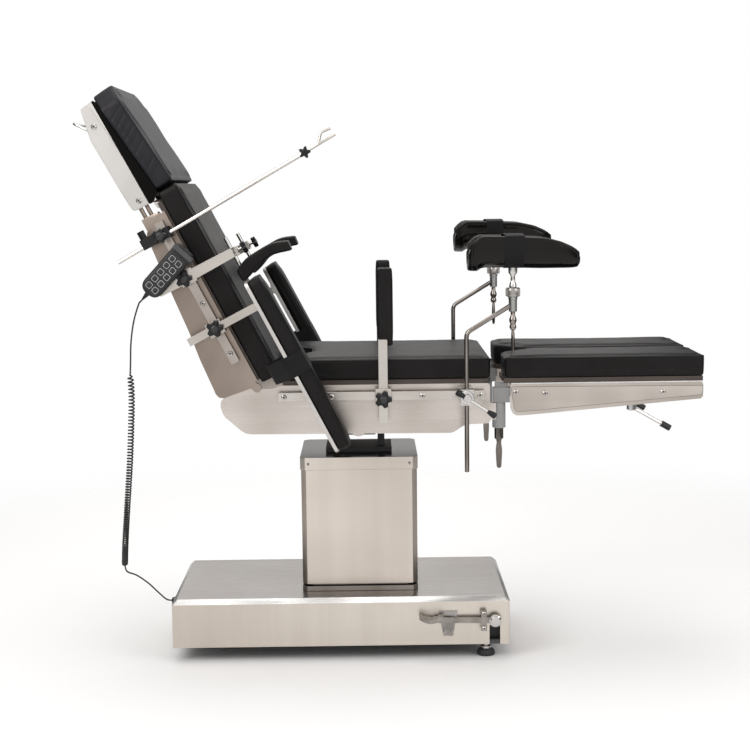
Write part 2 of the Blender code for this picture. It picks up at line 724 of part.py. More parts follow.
SOCKET_TOP = BOARD_UNDER - 0.056
KNUCKLE_PIN = 0.010
SOCKET_ARM_HALF = 0.012


def mattress_rim(left, right, edge_gap=0.0):
    """Plan of the seat board or cushion, with the notch at its foot end."""
    half = MATTRESS_HALF_WIDTH - edge_gap
    root = right - NOTCH_DEPTH
    return [(left, -half), (right, -half), (right, -NOTCH_MOUTH), (root, -NOTCH_ROOT),
            (root, NOTCH_ROOT), (right, NOTCH_MOUTH), (right, half), (left, half)]


BOARD_EDGE = 0.006


def seat_frame():
    """Weldment of side plates, bridge, ties, board, tilt lugs and leg sockets."""
    board_rim = mattress_rim(SEAT_CUSHION_LEFT, SEAT_CUSHION_LEFT + SEAT_CUSHION_LENGTH, BOARD_EDGE)
    board_rim = softened(board_rim, NOTCH_ROUND, 2)
    board = prism(board_rim, BOARD_UNDER - WELD, BOARD_UNDER + BOARD, "Z")
    inner = FRAME_HALF_WIDTH - PLATE
    reach = inner + WELD
    bridge = block((COLUMN_X - BRIDGE_HALF, COLUMN_X + BRIDGE_HALF), (-reach, reach),
                   (BRIDGE_Z, BRIDGE_Z + BRIDGE_THICK))
    pieces = [bridge]
    cutters = []
    for x, z in TIE_PLACES:
        pieces.append(pin((x, z), TIE_RADIUS, -reach, reach, "Y"))
    origin = (SEAT_LEFT, BOARD_UNDER - SEAT_PLATE_DEPTH)
    rim = shared(SEAT_OUTLINE_SHARES, origin, (SEAT_PLATE_LENGTH, SEAT_PLATE_DEPTH))
    for side in SIDES.values():
        pieces.append(prism(softened(rim, PLATE_CORNER, 1), *out(side, inner, FRAME_HALF_WIDTH)))
        ear = pin((BACK_PIVOT_X, BACK_PIVOT_Z), EAR_RADIUS, *out(side, inner, FRAME_HALF_WIDTH), "Y")
        pieces.append(ear)
        hinge = (BACK_PIVOT_X, BACK_PIVOT_Z)
        cutters.append(bore(hinge, HINGE_PIN, *out(side, inner - OVERRUN, FRAME_HALF_WIDTH + OVERRUN), "Y"))
        pieces.append(seat_lug(side))
        low, high = out(side, SEAT_LUG_OFFSET - SEAT_LUG_THICK, SEAT_LUG_OFFSET + SEAT_LUG_THICK)
        cutters.append(bore((COLUMN_X, TILT_Z), TILT_PIN, low, high, "Y"))
        pieces.extend(leg_socket(side))
        socket = (KNUCKLE_X, side * KNUCKLE_Y)
        cutters.append(bore(socket, KNUCKLE_PIN, SOCKET_UNDER - OVERRUN, SOCKET_TOP + OVERRUN, "Z"))
    return cut(join(board, *pieces), *cutters)


def seat_lug(side):
    """Lug under the bridge for the lengthwise tilt, round at its foot."""
    upright = rounded_lug((COLUMN_X, -TILT_Z), SEAT_LUG_HALF, -BRIDGE_Z - WELD, SEAT_LUG_RADIUS)
    outline = [(x, -z) for x, z in upright]
    half = SEAT_LUG_THICK / 2
    return prism(outline, *out(side, SEAT_LUG_OFFSET - half, SEAT_LUG_OFFSET + half))


def leg_socket(side):
    """Upright socket for a leg section's pin, with its arm to the side plate."""
    barrel = pin((KNUCKLE_X, side * KNUCKLE_Y), SOCKET_RADIUS, SOCKET_UNDER, SOCKET_TOP, "Z", ROUND_SIDES)
    inner = FRAME_HALF_WIDTH - PLATE
    plate_end = SEAT_LEFT + SEAT_PLATE_LENGTH
    low, high = SOCKET_UNDER + 2 * SOCKET_ARM_HALF, SOCKET_TOP - WELD
    arm_x = (plate_end - 4 * SOCKET_ARM_HALF, KNUCKLE_X - SOCKET_RADIUS / 2)
    arm = block(arm_x, out(side, inner - SOCKET_ARM_HALF, inner - GAP), (low, high))
    root_y = out(side, inner - SOCKET_ARM_HALF / 2, inner + WELD)
    root = block((arm_x[0] + WELD, plate_end - SOCKET_ARM_HALF / 2), root_y, (low + WELD, high - WELD))
    return [arm, root, barrel]


def seat_cushion():
    """Seat mattress, its head end undercut where the back cushion folds down to it."""
    right = SEAT_CUSHION_LEFT + SEAT_CUSHION_LENGTH
    low = BOARD_UNDER + BOARD + GAP
    rim = softened(mattress_rim(SEAT_CUSHION_LEFT, right), CUSHION_EDGE * 2, 2)

    def undercut(point):
        share = 1 - (point.z - low) / MATTRESS
        reach = max(0.0, 1 - (point.x - SEAT_CUSHION_LEFT) / CROWN_INSET)
        return point + Vector((UNDERCUT * share * reach, 0, 0))

    return cushion(rim, low, low + MATTRESS, lean=undercut)


SEAT_RAIL_LEFT = -0.307
SEAT_RAIL_RIGHT = 0.262
SEAT_RAIL_BOLTS = (-0.290, -0.160, 0.090, 0.248)


# Leg sections: knuckle in the seat's socket, then a folding leg plate

LEG_INNER = 0.020
LEG_CHAMFER_LENGTH = 0.074
LEG_CHAMFER_WIDTH = 0.080
LEG_OUTLINE_SHARES = ((0.0, 0.193), (0.022, 0.0), (0.079, 0.011), (0.998, 0.455), (1.0, 0.966), (0.0, 1.0))
LEG_PLATE_LEFT = 0.334
LEG_PLATE_LENGTH = 0.534
LEG_PLATE_DEPTH = 0.092
LEG_PIN_X = 0.349
LEG_PIN_Z = BOARD_UNDER - 0.026
LEG_PIN = 0.006
TONGUE_Y = FRAME_HALF_WIDTH - 0.020
TONGUE_HALF = 0.0155
TONGUE_RADIUS = 0.012
KNUCKLE_LEFT = 0.287
KNUCKLE_RIGHT = 0.333
KNUCKLE_UNDER = SOCKET_TOP + KNUCKLE_GAP
KNUCKLE_CAP = BOARD_UNDER - 0.001
RING_RADIUS = 0.0125
RING_UNDER = SOCKET_UNDER - 0.037
WING_UNDER = RING_UNDER - 0.078
WING_HALF = 0.013
WING_THICK = 0.007
LEG_LIP = 0.020
LEG_CLEAR = 0.030
LEG_CLEAR_WIDTH = 0.055
LEG_RIB_DEPTH = 0.030
LEG_RIB_X = 0.700
LEG_RIB_THICK = 0.008
LEG_BOLT_SHARES = (0.18, 0.79)
HINGE_CHEEK_LENGTH = 0.080
HINGE_CHEEK_DEPTH = 0.042
LOCK_X = 0.679
LOCK_Y = FRAME_HALF_WIDTH - 0.054
LOCK_BOSS = 0.014
LOCK_BOSS_UNDER = BOARD_UNDER - 0.072
LOCK_STEM = 0.006


def leg_rim(side, edge_gap=0.0):
    """Plan of one leg board or cushion, its inner seat-end corner cut away."""
    inner = LEG_INNER + edge_gap
    outer = MATTRESS_HALF_WIDTH - edge_gap
    right = LEG_LEFT + LEG_LENGTH - edge_gap
    points = [(LEG_LEFT, LEG_INNER + LEG_CHAMFER_WIDTH), (LEG_LEFT + LEG_CHAMFER_LENGTH, inner),
              (right, inner), (right, outer), (LEG_LEFT, outer)]
    points = [(x, side * y) for x, y in points]
    return points if side > 0 else points[::-1]


def leg_knuckle(side):
    """Knuckle block with its fold tongue, socket pin, lock ring and wing handle."""
    y = out(side, TONGUE_Y - TONGUE_HALF, TONGUE_Y + TONGUE_HALF)
    body = block((KNUCKLE_LEFT, KNUCKLE_RIGHT), y, (KNUCKLE_UNDER, LEG_PIN_Z + TONGUE_RADIUS))
    cap_edge = (KNUCKLE_RIGHT - KNUCKLE_LEFT) / 8
    cap = block((KNUCKLE_LEFT + cap_edge, KNUCKLE_RIGHT - cap_edge), (y[0] + cap_edge, y[1] - cap_edge),
                (LEG_PIN_Z, KNUCKLE_CAP))
    tongue = rounded_lug((0, 0), TONGUE_RADIUS, KNUCKLE_RIGHT - LEG_PIN_X - WELD, TONGUE_RADIUS)
    tongue = prism([(LEG_PIN_X + b, LEG_PIN_Z - a) for a, b in tongue], *y)
    centre = (KNUCKLE_X, side * KNUCKLE_Y)
    ring_top = SOCKET_UNDER - KNUCKLE_GAP
    stem = turned([(KNUCKLE_PIN, ring_top - WELD), (KNUCKLE_PIN, KNUCKLE_UNDER + WELD)], centre, "Z")
    ring = turned([(RING_RADIUS, ring_top), (RING_RADIUS, RING_UNDER + RING_RADIUS / 2),
                   (WING_THICK, RING_UNDER), (WING_THICK, RING_UNDER - WING_HALF)], centre, "Z")
    body = join(body, cap, tongue, stem, ring, wing_handle(centre, RING_UNDER, WING_UNDER))
    return cut(body, bore((LEG_PIN_X, LEG_PIN_Z), LEG_PIN, y[0] - OVERRUN, y[1] + OVERRUN, "Y"))


def wing_handle(centre, top, under):
    """Flat tapered blade that turns a clamping screw by hand."""
    outline = [(centre[0] - WING_THICK, top), (centre[0] - WING_HALF, (2 * top + under) / 3),
               (centre[0] - WING_HALF * 0.7, under), (centre[0] + WING_HALF * 0.7, under),
               (centre[0] + WING_HALF, (2 * top + under) / 3), (centre[0] + WING_THICK, top)]
    half = WING_THICK / 2
    return prism(softened(outline, WING_THICK, 2), centre[1] - half, centre[1] + half)


def leg_frame(side):
    """Leg plate: side plates, board with a clearance for the knuckle, hinge cheek and pin."""
    inner = FRAME_HALF_WIDTH - PLATE
    board = prism(leg_rim(side, BOARD_EDGE), BOARD_UNDER - WELD, BOARD_UNDER + BOARD, "Z")
    clear_y = out(side, MATTRESS_HALF_WIDTH - LEG_CLEAR_WIDTH, inner - GAP)
    clear = block((LEG_LEFT - OVERRUN, LEG_LEFT + LEG_CLEAR), clear_y,
                  (BOARD_UNDER - OVERRUN, BOARD_UNDER + BOARD + OVERRUN))
    board = cut(board, clear)
    rim = shared(LEG_OUTLINE_SHARES, (LEG_PLATE_LEFT, BOARD_UNDER - LEG_PLATE_DEPTH),
                 (LEG_PLATE_LENGTH, LEG_PLATE_DEPTH))
    outer_plate = prism(softened(rim, PLATE_CORNER, 1), *out(side, inner, FRAME_HALF_WIDTH))
    right = LEG_PLATE_LEFT + LEG_PLATE_LENGTH
    lip_left = LEG_LEFT + LEG_CHAMFER_LENGTH + LEG_LIP
    lip_edge = LEG_INNER + BOARD_EDGE
    lip = block((lip_left, right), out(side, lip_edge, lip_edge + PLATE),
                (BOARD_UNDER - LEG_RIB_DEPTH, BOARD_UNDER))
    rib = block((LEG_RIB_X, LEG_RIB_X + LEG_RIB_THICK), out(side, lip_edge + WELD, inner + WELD),
                (BOARD_UNDER - LEG_RIB_DEPTH, BOARD_UNDER))
    pieces = [outer_plate, lip, rib]
    cheek_y = TONGUE_Y - TONGUE_HALF - GAP
    cheek = block((LEG_PIN_X - TONGUE_RADIUS, LEG_PIN_X + HINGE_CHEEK_LENGTH), out(side, cheek_y - PLATE, cheek_y),
                  (BOARD_UNDER - HINGE_CHEEK_DEPTH, BOARD_UNDER))
    pieces.append(cheek)
    place = (LEG_PIN_X, LEG_PIN_Z)
    pieces.append(pin(place, LEG_PIN, *out(side, cheek_y - PLATE / 2, FRAME_HALF_WIDTH - WELD), "Y"))
    pieces.append(screw_head(side, place, FRAME_HALF_WIDTH))
    for share in LEG_BOLT_SHARES:
        bolt = (LEG_PLATE_LEFT + LEG_PLATE_LENGTH * share, BOARD_UNDER - LEG_RIB_DEPTH)
        pieces.append(screw_head(side, bolt, FRAME_HALF_WIDTH, BOLT_RADIUS * 0.8))
    lock_top = BOARD_UNDER + WELD
    pieces.append(pin((LOCK_X, side * LOCK_Y), LOCK_BOSS, LOCK_BOSS_UNDER, lock_top, "Z"))
    way = bore((LOCK_X, side * LOCK_Y), LOCK_STEM, LOCK_BOSS_UNDER - OVERRUN, LOCK_BOSS_UNDER + LOCK_BOSS, "Z")
    return cut(join(board, *pieces), way)


def leg_cushion(side):
    """Leg mattress half."""
    low = BOARD_UNDER + BOARD + GAP
    return cushion(softened(leg_rim(side), CUSHION_EDGE * 2, 2), low, low + MATTRESS)


LOCK_TIP_X = 0.787
LOCK_TIP_Z = LOCK_BOSS_UNDER - 0.069
LOCK_GRIP_SHARE = 0.77
LOCK_BAR = 0.005
LOCK_GRIP = 0.009


def leg_lock_handle(side):
    """Cranked lever of the leg lock, with its grip sleeve."""
    y = side * LOCK_Y
    hub = turned([(LOCK_STEM, LOCK_BOSS_UNDER + LOCK_BOSS / 2), (LOCK_STEM, LOCK_BOSS_UNDER - GAP),
                  (LOCK_BOSS, LOCK_BOSS_UNDER - GAP), (LOCK_BOSS, LOCK_BOSS_UNDER - LOCK_BOSS),
                  (LOCK_STEM, LOCK_BOSS_UNDER - LOCK_BOSS - BOLT_HEAD)], (LOCK_X, y), "Z")
    start = Vector((LOCK_X, y, LOCK_BOSS_UNDER - LOCK_BOSS / 2))
    tip = Vector((LOCK_TIP_X, y, LOCK_TIP_Z))
    neck = start.lerp(tip, LOCK_GRIP_SHARE)
    bar = tube([start, neck + (tip - start).normalized() * WELD], LOCK_BAR)
    grip = tube([neck, neck.lerp(tip, 0.15), neck.lerp(tip, 0.85), tip], LOCK_GRIP)
    return join(hub, bar, grip)


# Back section, drawn with X toward the seat, Z out through the cushion

BACK_OUTLINE_SHARES = (
    (0.007, 1.0), (0.035, 0.088), (0.059, 0.0), (0.097, 0.018), (0.266, 0.079), (0.403, 0.167),
    (0.625, 0.254), (0.936, 0.395), (1.0, 0.816), (1.0, 1.0))
BACK_PLATE_LENGTH = 0.546
BACK_PLATE_DEPTH = 0.114
BACK_CUSHION_START = 0.002
BACK_BOARD_START = 0.018
BACK_BOARD_END = 0.572
BACK_TIES = ((0.150, -0.050), (0.330, -0.045), (0.500, -0.035))
HEAD_BLOCK_START = 0.467
HEAD_BLOCK_END = 0.552
HEAD_BLOCK_INNER = FRAME_HALF_WIDTH - 0.042
HEAD_BLOCK_LOW = -0.056
HEAD_BLOCK_HIGH = -0.006
HEAD_ROD = 0.006
HEAD_ROD_SPACING = 0.009
HEAD_LUG_RADIUS = 0.015
HEAD_LUG_INNER = FRAME_HALF_WIDTH - 0.030
HEAD_LUG_OUTER = FRAME_HALF_WIDTH - 0.014
HEAD_PIN = 0.005
BACK_RAIL_START = 0.090
BACK_RAIL_END = 0.525
BACK_RAIL_BOLTS = (0.120, 0.275, 0.430)

BACK_TOP = BOARD_UNDER - BACK_PIVOT_Z
BACK_OUTER = FRAME_HALF_WIDTH + LAYER_GAP + PLATE
BACK_INNER = FRAME_HALF_WIDTH + LAYER_GAP


def back_frame():
    """Back weldment: side plates, board, ties, hinge pins and the head section's rods."""
    start = -BACK_BOARD_START
    board_half = FRAME_HALF_WIDTH - PLATE / 2
    board = block((-BACK_BOARD_END, start), (-board_half, board_half), (BACK_TOP - WELD, BACK_TOP + BOARD))
    rim = shared(BACK_OUTLINE_SHARES, (0, BACK_TOP - BACK_PLATE_DEPTH), (BACK_PLATE_LENGTH, BACK_PLATE_DEPTH))
    rim = [(-s, up) for s, up in softened(rim, PLATE_CORNER, 1)]
    pieces = []
    cutters = []
    reach = BACK_INNER + WELD
    for s, up in BACK_TIES:
        pieces.append(pin((-s, up), TIE_RADIUS, -reach, reach, "Y"))
    for side in SIDES.values():
        pieces.append(prism(rim, *out(side, BACK_INNER, BACK_OUTER)))
        pieces.append(pin((0, 0), EAR_RADIUS, *out(side, BACK_INNER, BACK_OUTER), "Y"))
        hinge = out(side, FRAME_HALF_WIDTH - HINGE_REACH, BACK_OUTER - WELD)
        pieces.append(pin((0, 0), HINGE_PIN, *hinge, "Y"))
        pieces.append(block((-BACK_PLATE_LENGTH, start), out(side, board_half - WELD, BACK_OUTER),
                            (BACK_TOP - WELD, BACK_TOP + BOARD / 2)))
        pieces.append(block((-HEAD_BLOCK_END, -HEAD_BLOCK_START), out(side, HEAD_BLOCK_INNER, BACK_INNER + WELD),
                            (HEAD_BLOCK_LOW, HEAD_BLOCK_HIGH)))
        pieces.extend(head_rods(side))
        pivot_place = (-HEAD_PIVOT_ALONG, HEAD_PIVOT_UP)
        reach_y = out(side, HEAD_LUG_INNER - OVERRUN, HEAD_LUG_OUTER + OVERRUN)
        cutters.append(bore(pivot_place, HEAD_PIN, *reach_y, "Y"))
    return cut(join(board, *pieces), *cutters)


def head_rods(side):
    """Pair of rods and the round lug that carry the head section on one side."""
    middle = (HEAD_LUG_INNER + HEAD_LUG_OUTER) / 2
    parts = []
    for end in (-1, 1):
        up = HEAD_PIVOT_UP + end * HEAD_ROD_SPACING
        start = Vector((-HEAD_BLOCK_END + WELD, side * middle, up))
        stop = Vector((-HEAD_PIVOT_ALONG + HEAD_ROD_SPACING, side * middle, up))
        parts.append(tube([start, stop], HEAD_ROD))
    lug = pin((-HEAD_PIVOT_ALONG, HEAD_PIVOT_UP), HEAD_LUG_RADIUS, *out(side, HEAD_LUG_INNER, HEAD_LUG_OUTER), "Y")
    return parts + [lug]


def back_cushion():
    """Back mattress."""
    low = BACK_TOP + BOARD + GAP
    rim = rectangle((-(BACK_LENGTH + BACK_CUSHION_START) / 2, 0), BACK_LENGTH - BACK_CUSHION_START,
                    2 * MATTRESS_HALF_WIDTH)
    return cushion(softened(rim, CUSHION_EDGE * 2, 2), low, low + MATTRESS)


# Head section, drawn about its own pivot

HEAD_PLATE_START = -0.0234
HEAD_PLATE_LENGTH = 0.314
HEAD_TOP = 0.0292
HEAD_PLATE_DEPTH = 0.059
HEAD_OUTLINE_SHARES = (
    (0.006, 0.80), (0.018, 0.04), (0.047, 0.0), (0.184, 0.007), (0.725, 0.15), (1.0, 0.56), (1.0, 1.0), (0.0, 1.0))
HEAD_CUSHION_START = -0.003
HEAD_CORNER = 0.048
HEAD_CUSHION_TOP = 0.1095
WEDGE_RISE = 0.013
WEDGE_INSET = 0.008
HEAD_TIES = ((0.120, 0.0), (0.270, 0.010))
HANDLE_ALONG = 0.2150
HANDLE_UP = -0.006
HANDLE_SHAFT = 0.005
HANDLE_WIRE = 0.0035
HANDLE_HALF = 0.150
HANDLE_TIP_ALONG = 0.283
HANDLE_TIP_UP = -0.049
HANDLE_CHEEK = 0.006
HANDLE_CHEEK_HALF = 0.012


def head_frame():
    """Head plate with its side plates, pivot pins, ties and handle cheeks."""
    half = FRAME_HALF_WIDTH - PLATE / 2
    end = HEAD_PLATE_START + HEAD_PLATE_LENGTH
    plan = [(-end, -half), (-HEAD_PLATE_START, -half), (-HEAD_PLATE_START, half), (-end, half)]
    board = prism(plan, HEAD_TOP - WELD, HEAD_TOP + BOARD, "Z")
    rim = shared(HEAD_OUTLINE_SHARES, (HEAD_PLATE_START, HEAD_TOP - HEAD_PLATE_DEPTH),
                 (HEAD_PLATE_LENGTH, HEAD_PLATE_DEPTH))
    rim = [(-s, up) for s, up in softened(rim, PLATE_CORNER, 1)]
    inner = FRAME_HALF_WIDTH - PLATE
    pieces = []
    cutters = []
    for s, up in HEAD_TIES:
        pieces.append(pin((-s, up), TIE_RADIUS * 0.8, -inner - WELD, inner + WELD, "Y"))
    for side in SIDES.values():
        pieces.append(prism(rim, *out(side, inner, FRAME_HALF_WIDTH)))
        pieces.append(pin((0, 0), HEAD_PIN, *out(side, HEAD_LUG_INNER - PIN_END, inner + WELD), "Y"))
        pieces.append(pin((0, 0), HEAD_LUG_RADIUS * 0.8, *out(side, HEAD_LUG_OUTER + GAP, inner + WELD), "Y"))
        pieces.append(screw_head(side, (0, 0), FRAME_HALF_WIDTH))
        bolt = (-(end - HEAD_PLATE_LENGTH * 0.19), HEAD_TOP - HEAD_PLATE_DEPTH * 0.36)
        pieces.append(screw_head(side, bolt, FRAME_HALF_WIDTH))
        x = (-HANDLE_ALONG - HANDLE_CHEEK_HALF, -HANDLE_ALONG + HANDLE_CHEEK_HALF)
        y = out(side, HANDLE_HALF + HANDLE_CHEEK, HANDLE_HALF + 2 * HANDLE_CHEEK)
        pieces.append(block(x, y, (HANDLE_UP - HANDLE_CHEEK_HALF, HEAD_TOP)))
        cheek = out(side, HANDLE_HALF, HANDLE_HALF + 3 * HANDLE_CHEEK)
        cutters.append(bore((-HANDLE_ALONG, HANDLE_UP), HANDLE_SHAFT, *cheek, "Y", SMALL_SIDES))
    return cut(join(board, *pieces), *cutters)


def head_cushion():
    """Head mattress on a wedge that is deeper at the neck."""
    low = HEAD_TOP + BOARD + GAP
    end = HEAD_CUSHION_START + HEAD_LENGTH
    half = MATTRESS_HALF_WIDTH
    plan = [(-end, -half + HEAD_CORNER), (-end + HEAD_CORNER, -half), (-HEAD_CUSHION_START, -half),
            (-HEAD_CUSHION_START, half), (-end + HEAD_CORNER, half), (-end, half - HEAD_CORNER)]
    pad = cushion(softened(plan, CUSHION_EDGE * 2, 2), low + WEDGE_RISE / 3, HEAD_CUSHION_TOP)
    wedge_end = end - CUSHION_EDGE * 2
    outline = [(-wedge_end, low), (-HEAD_CUSHION_START - WEDGE_INSET, low),
               (-HEAD_CUSHION_START - WEDGE_INSET, low + WEDGE_RISE), (-wedge_end, low + WEDGE_RISE)]
    wedge = prism(outline, -half + HEAD_CORNER, half - HEAD_CORNER)
    band = rectangle((-(wedge_end - HEAD_CORNER + HEAD_CUSHION_START + WEDGE_INSET) / 2, 0),
                     wedge_end - HEAD_CORNER - HEAD_CUSHION_START - WEDGE_INSET, 2 * (half - WEDGE_INSET))
    return join(pad, wedge, prism(band, low, low + WEDGE_RISE, "Z"))


def head_release_handle():
    """Cross shaft with a bent wire bail."""
    reach = HANDLE_HALF + 2 * HANDLE_CHEEK + PIN_END
    shaft = pin((-HANDLE_ALONG, HANDLE_UP), HANDLE_SHAFT, -reach, reach, "Y", SMALL_SIDES)
    corners = [(-HANDLE_ALONG, -HANDLE_HALF, HANDLE_UP), (-HANDLE_TIP_ALONG, -HANDLE_HALF, HANDLE_TIP_UP),
               (-HANDLE_TIP_ALONG, HANDLE_HALF, HANDLE_TIP_UP), (-HANDLE_ALONG, HANDLE_HALF, HANDLE_UP)]
    return join(shaft, tube(bent(corners, HANDLE_HALF / 8), HANDLE_WIRE))


# Leg holders on the seat rails

HOLDER_X = 0.209
HOLDER_Y = FRAME_HALF_WIDTH + 0.066
HOLDER_FACE = FRAME_HALF_WIDTH + 0.081
HOLDER_WIDTH = 0.036
HOLDER_ROD = 0.0063
HOLDER_BOTTOM = SEAT_RAIL_Z - 0.207
HOLDER_BEND_Z = SEAT_RAIL_Z + 0.175
HOLDER_TOP_X = 0.335
HOLDER_TOP_Z = SEAT_RAIL_Z + 0.252
HOLDER_RAISE = {"near": 0.0, "far": 0.026}
HOLDER_DISC = 0.019
TBAR_LEFT = 0.030
TBAR_RIGHT = 0.076
TBAR_SLOPE = 0.651
TBAR_RADIUS = 0.0042
TBAR_GRIP = 0.006
TBAR_GRIP_LENGTH = 0.016
TBAR_OUT = FRAME_HALF_WIDTH + 0.106
COUPLING_RADIUS = 0.011
NUT_RADIUS = 0.0195
NUT_UNDER = HOLDER_TOP_Z + 0.016
NUT_TOP = HOLDER_TOP_Z + 0.045
BALL_UNDER = HOLDER_TOP_Z - 0.060
BALL_TOP = HOLDER_TOP_Z - 0.020
BALL_RADIUS = 0.010
HOLDER_WING_UNDER = HOLDER_TOP_Z - 0.137
PAD_STEM = 0.0075
PAD_STEM_DEPTH = 0.015


def holder_clamp(side):
    """Rail clamp with an upright bore for the holder's rod and a screwed disc."""
    body = clamp(side, HOLDER_X, HOLDER_WIDTH, SEAT_RAIL_Z, HOLDER_FACE)
    high = SEAT_RAIL_Z + RAIL_HEIGHT
    way = bore((HOLDER_X, side * HOLDER_Y), HOLDER_ROD, SEAT_RAIL_Z - RAIL_HEIGHT, high, "Z", SMALL_SIDES)
    place = (HOLDER_X, SEAT_RAIL_Z)
    screw = bore(place, KNOB_STEM, *out(side, HOLDER_Y + HOLDER_ROD + WELD, HOLDER_FACE + OVERRUN), "Y", BOLT_SIDES)
    return cut(body, way, screw)


def holder_tbar(side):
    """Clamping screw: disc head with a sliding cross bar and end grips."""
    place = (HOLDER_X, SEAT_RAIL_Z)
    start = HOLDER_FACE + GAP
    head = turned([(HOLDER_DISC, side * start), (HOLDER_DISC, side * (start + KNOB_STEM * 2)),
                   (HOLDER_DISC * 0.6, side * (TBAR_OUT - KNOB_STEM)), (HOLDER_DISC * 0.6, side * (TBAR_OUT + KNOB_STEM))],
                  place, "Y", ROUND_SIDES)
    screw = pin(place, KNOB_STEM, *out(side, HOLDER_Y + HOLDER_ROD + 2 * WELD, start + WELD), "Y", BOLT_SIDES)
    ends = []
    for reach in (-TBAR_LEFT, TBAR_RIGHT):
        ends.append(Vector((HOLDER_X + reach, side * TBAR_OUT, SEAT_RAIL_Z - reach * TBAR_SLOPE)))
    run = (ends[1] - ends[0]).normalized() * TBAR_GRIP_LENGTH
    bar = tube([ends[0] + run / 2, ends[1] - run / 2], TBAR_RADIUS)
    grips = [tube([ends[0], ends[0] + run], TBAR_GRIP), tube([ends[1] - run, ends[1]], TBAR_GRIP)]
    return join(head, screw, bar, *grips)


def holder_rod(side, rise):
    """Bent rod with the coupling that clamps the knee pad's stem."""
    y = side * HOLDER_Y
    corners = [(HOLDER_X, y, HOLDER_BOTTOM + rise), (HOLDER_X, y, HOLDER_BEND_Z + rise),
               (HOLDER_TOP_X, y, HOLDER_TOP_Z + rise)]
    rod = tube(bent(corners, HOLDER_ROD * 5, 3), HOLDER_ROD)
    profile = [(BALL_RADIUS * 0.5, BALL_UNDER - 2 * WELD), (BALL_RADIUS, BALL_UNDER + BALL_RADIUS),
               (BALL_RADIUS, BALL_TOP - BALL_RADIUS), (BALL_RADIUS * 0.6, BALL_TOP),
               (COUPLING_RADIUS, BALL_TOP + WELD * 2), (COUPLING_RADIUS, NUT_UNDER - WELD * 4),
               (NUT_RADIUS, NUT_UNDER + WELD * 4), (NUT_RADIUS, NUT_TOP - WELD * 3), (NUT_RADIUS * 0.85, NUT_TOP)]
    stack = turned([(r, z + rise) for r, z in profile], (HOLDER_TOP_X, y), "Z", ROUND_SIDES)
    wing = wing_handle((HOLDER_TOP_X, y), BALL_UNDER + WELD + rise, HOLDER_WING_UNDER + rise)
    body = join(rod, stack, wing)
    low = NUT_TOP - PAD_STEM_DEPTH + rise
    return cut(body, bore((HOLDER_TOP_X, y), PAD_STEM, low, NUT_TOP + OVERRUN + rise, "Z"))


PAD_LEFT = 0.213
PAD_LENGTH = 0.300
PAD_UNDER = HOLDER_TOP_Z + 0.090
PAD_HEIGHT = 0.094
PAD_HALF = 0.070
PAD_WALL = 0.017
PAD_STATION_SHARES = (
    (0.0, 0.02, 0.52, 0.80), (0.035, 0.0, 0.82, 0.92), (0.090, 0.0, 0.96, 0.98), (0.120, 0.14, 1.0, 1.0),
    (0.65, 0.06, 0.94, 0.96), (0.90, 0.06, 0.66, 0.78), (1.0, 0.16, 0.36, 0.38))
PAD_ARC = 7
PAD_NECK = 0.010
PAD_PLATE_THICK = 0.006


def gutter(shares, half_scale, wall):
    """Closed outline of a trough: outer arc, then inner arc back."""
    low, high, half = shares
    points = []
    for inward in (0.0, wall):
        arc = []
        for index in range(PAD_ARC):
            turn = pi * index / (PAD_ARC - 1)
            across = (half * half_scale - inward) * cos(turn)
            up = high - (high - low - inward) * sin(turn) ** 0.7
            arc.append((across, up))
        points.extend(arc if inward == 0.0 else arc[::-1])
    return points


def holder_pad(side, rise):
    """Padded knee trough with its stem and strap."""
    y = side * HOLDER_Y
    rings = []
    for along, low, high, half in PAD_STATION_SHARES:
        x = PAD_LEFT + PAD_LENGTH * along
        levels = (PAD_UNDER + PAD_HEIGHT * low + rise, PAD_UNDER + PAD_HEIGHT * high + rise, half)
        wall = min(PAD_WALL, (levels[1] - levels[0]) * 0.6, half * PAD_HALF * 0.6)
        rings.append([at("X", y + a, b, x) for a, b in gutter(levels, PAD_HALF, wall)])
    trough = loft(rings)
    keel = PAD_UNDER + PAD_HEIGHT * 0.1 + rise
    stem = turned([(PAD_STEM, NUT_TOP - PAD_STEM_DEPTH + GAP + rise), (PAD_STEM, NUT_TOP + GAP + rise),
                   (PAD_NECK, NUT_TOP + GAP + rise), (PAD_STEM * 0.8, (NUT_TOP + keel) / 2),
                   (PAD_NECK * 1.3, keel - PAD_PLATE_THICK), (PAD_NECK * 1.3, keel + PAD_PLATE_THICK)],
                  (HOLDER_TOP_X, y), "Z")
    return join(trough, stem, holder_strap(y, rise))


STRAP_THICK = 0.0025
STRAP_LEFT = 0.307
STRAP_WIDTH = 0.059
STRAP_RISE = 0.006


def holder_strap(y, rise):
    """Strap round the trough, arched over its open top."""
    keel = PAD_UNDER + PAD_HEIGHT * 0.115 + rise
    rim = PAD_UNDER + PAD_HEIGHT + rise

    def loop(pull, low, top):
        points = []
        for index in range(PAD_ARC):
            turn = pi * index / (PAD_ARC - 1)
            up = rim - (rim - low) * sin(turn) ** 0.7
            points.append((y + (PAD_HALF + pull) * cos(turn), up))
        for index in range(1, PAD_ARC - 1):
            turn = pi * index / (PAD_ARC - 1)
            points.append((y - (PAD_HALF + pull) * cos(turn), rim + top * sin(turn)))
        return points

    right = STRAP_LEFT + STRAP_WIDTH
    outer = prism(loop(STRAP_THICK, keel - STRAP_THICK, STRAP_RISE), STRAP_LEFT, right, "X")
    inner = prism(loop(-PAD_WALL / 2, keel + PAD_WALL / 2, STRAP_RISE - STRAP_THICK),
                  STRAP_LEFT - OVERRUN, right + OVERRUN, "X")
    return cut(outer, inner)


# Hip supports on the seat rails

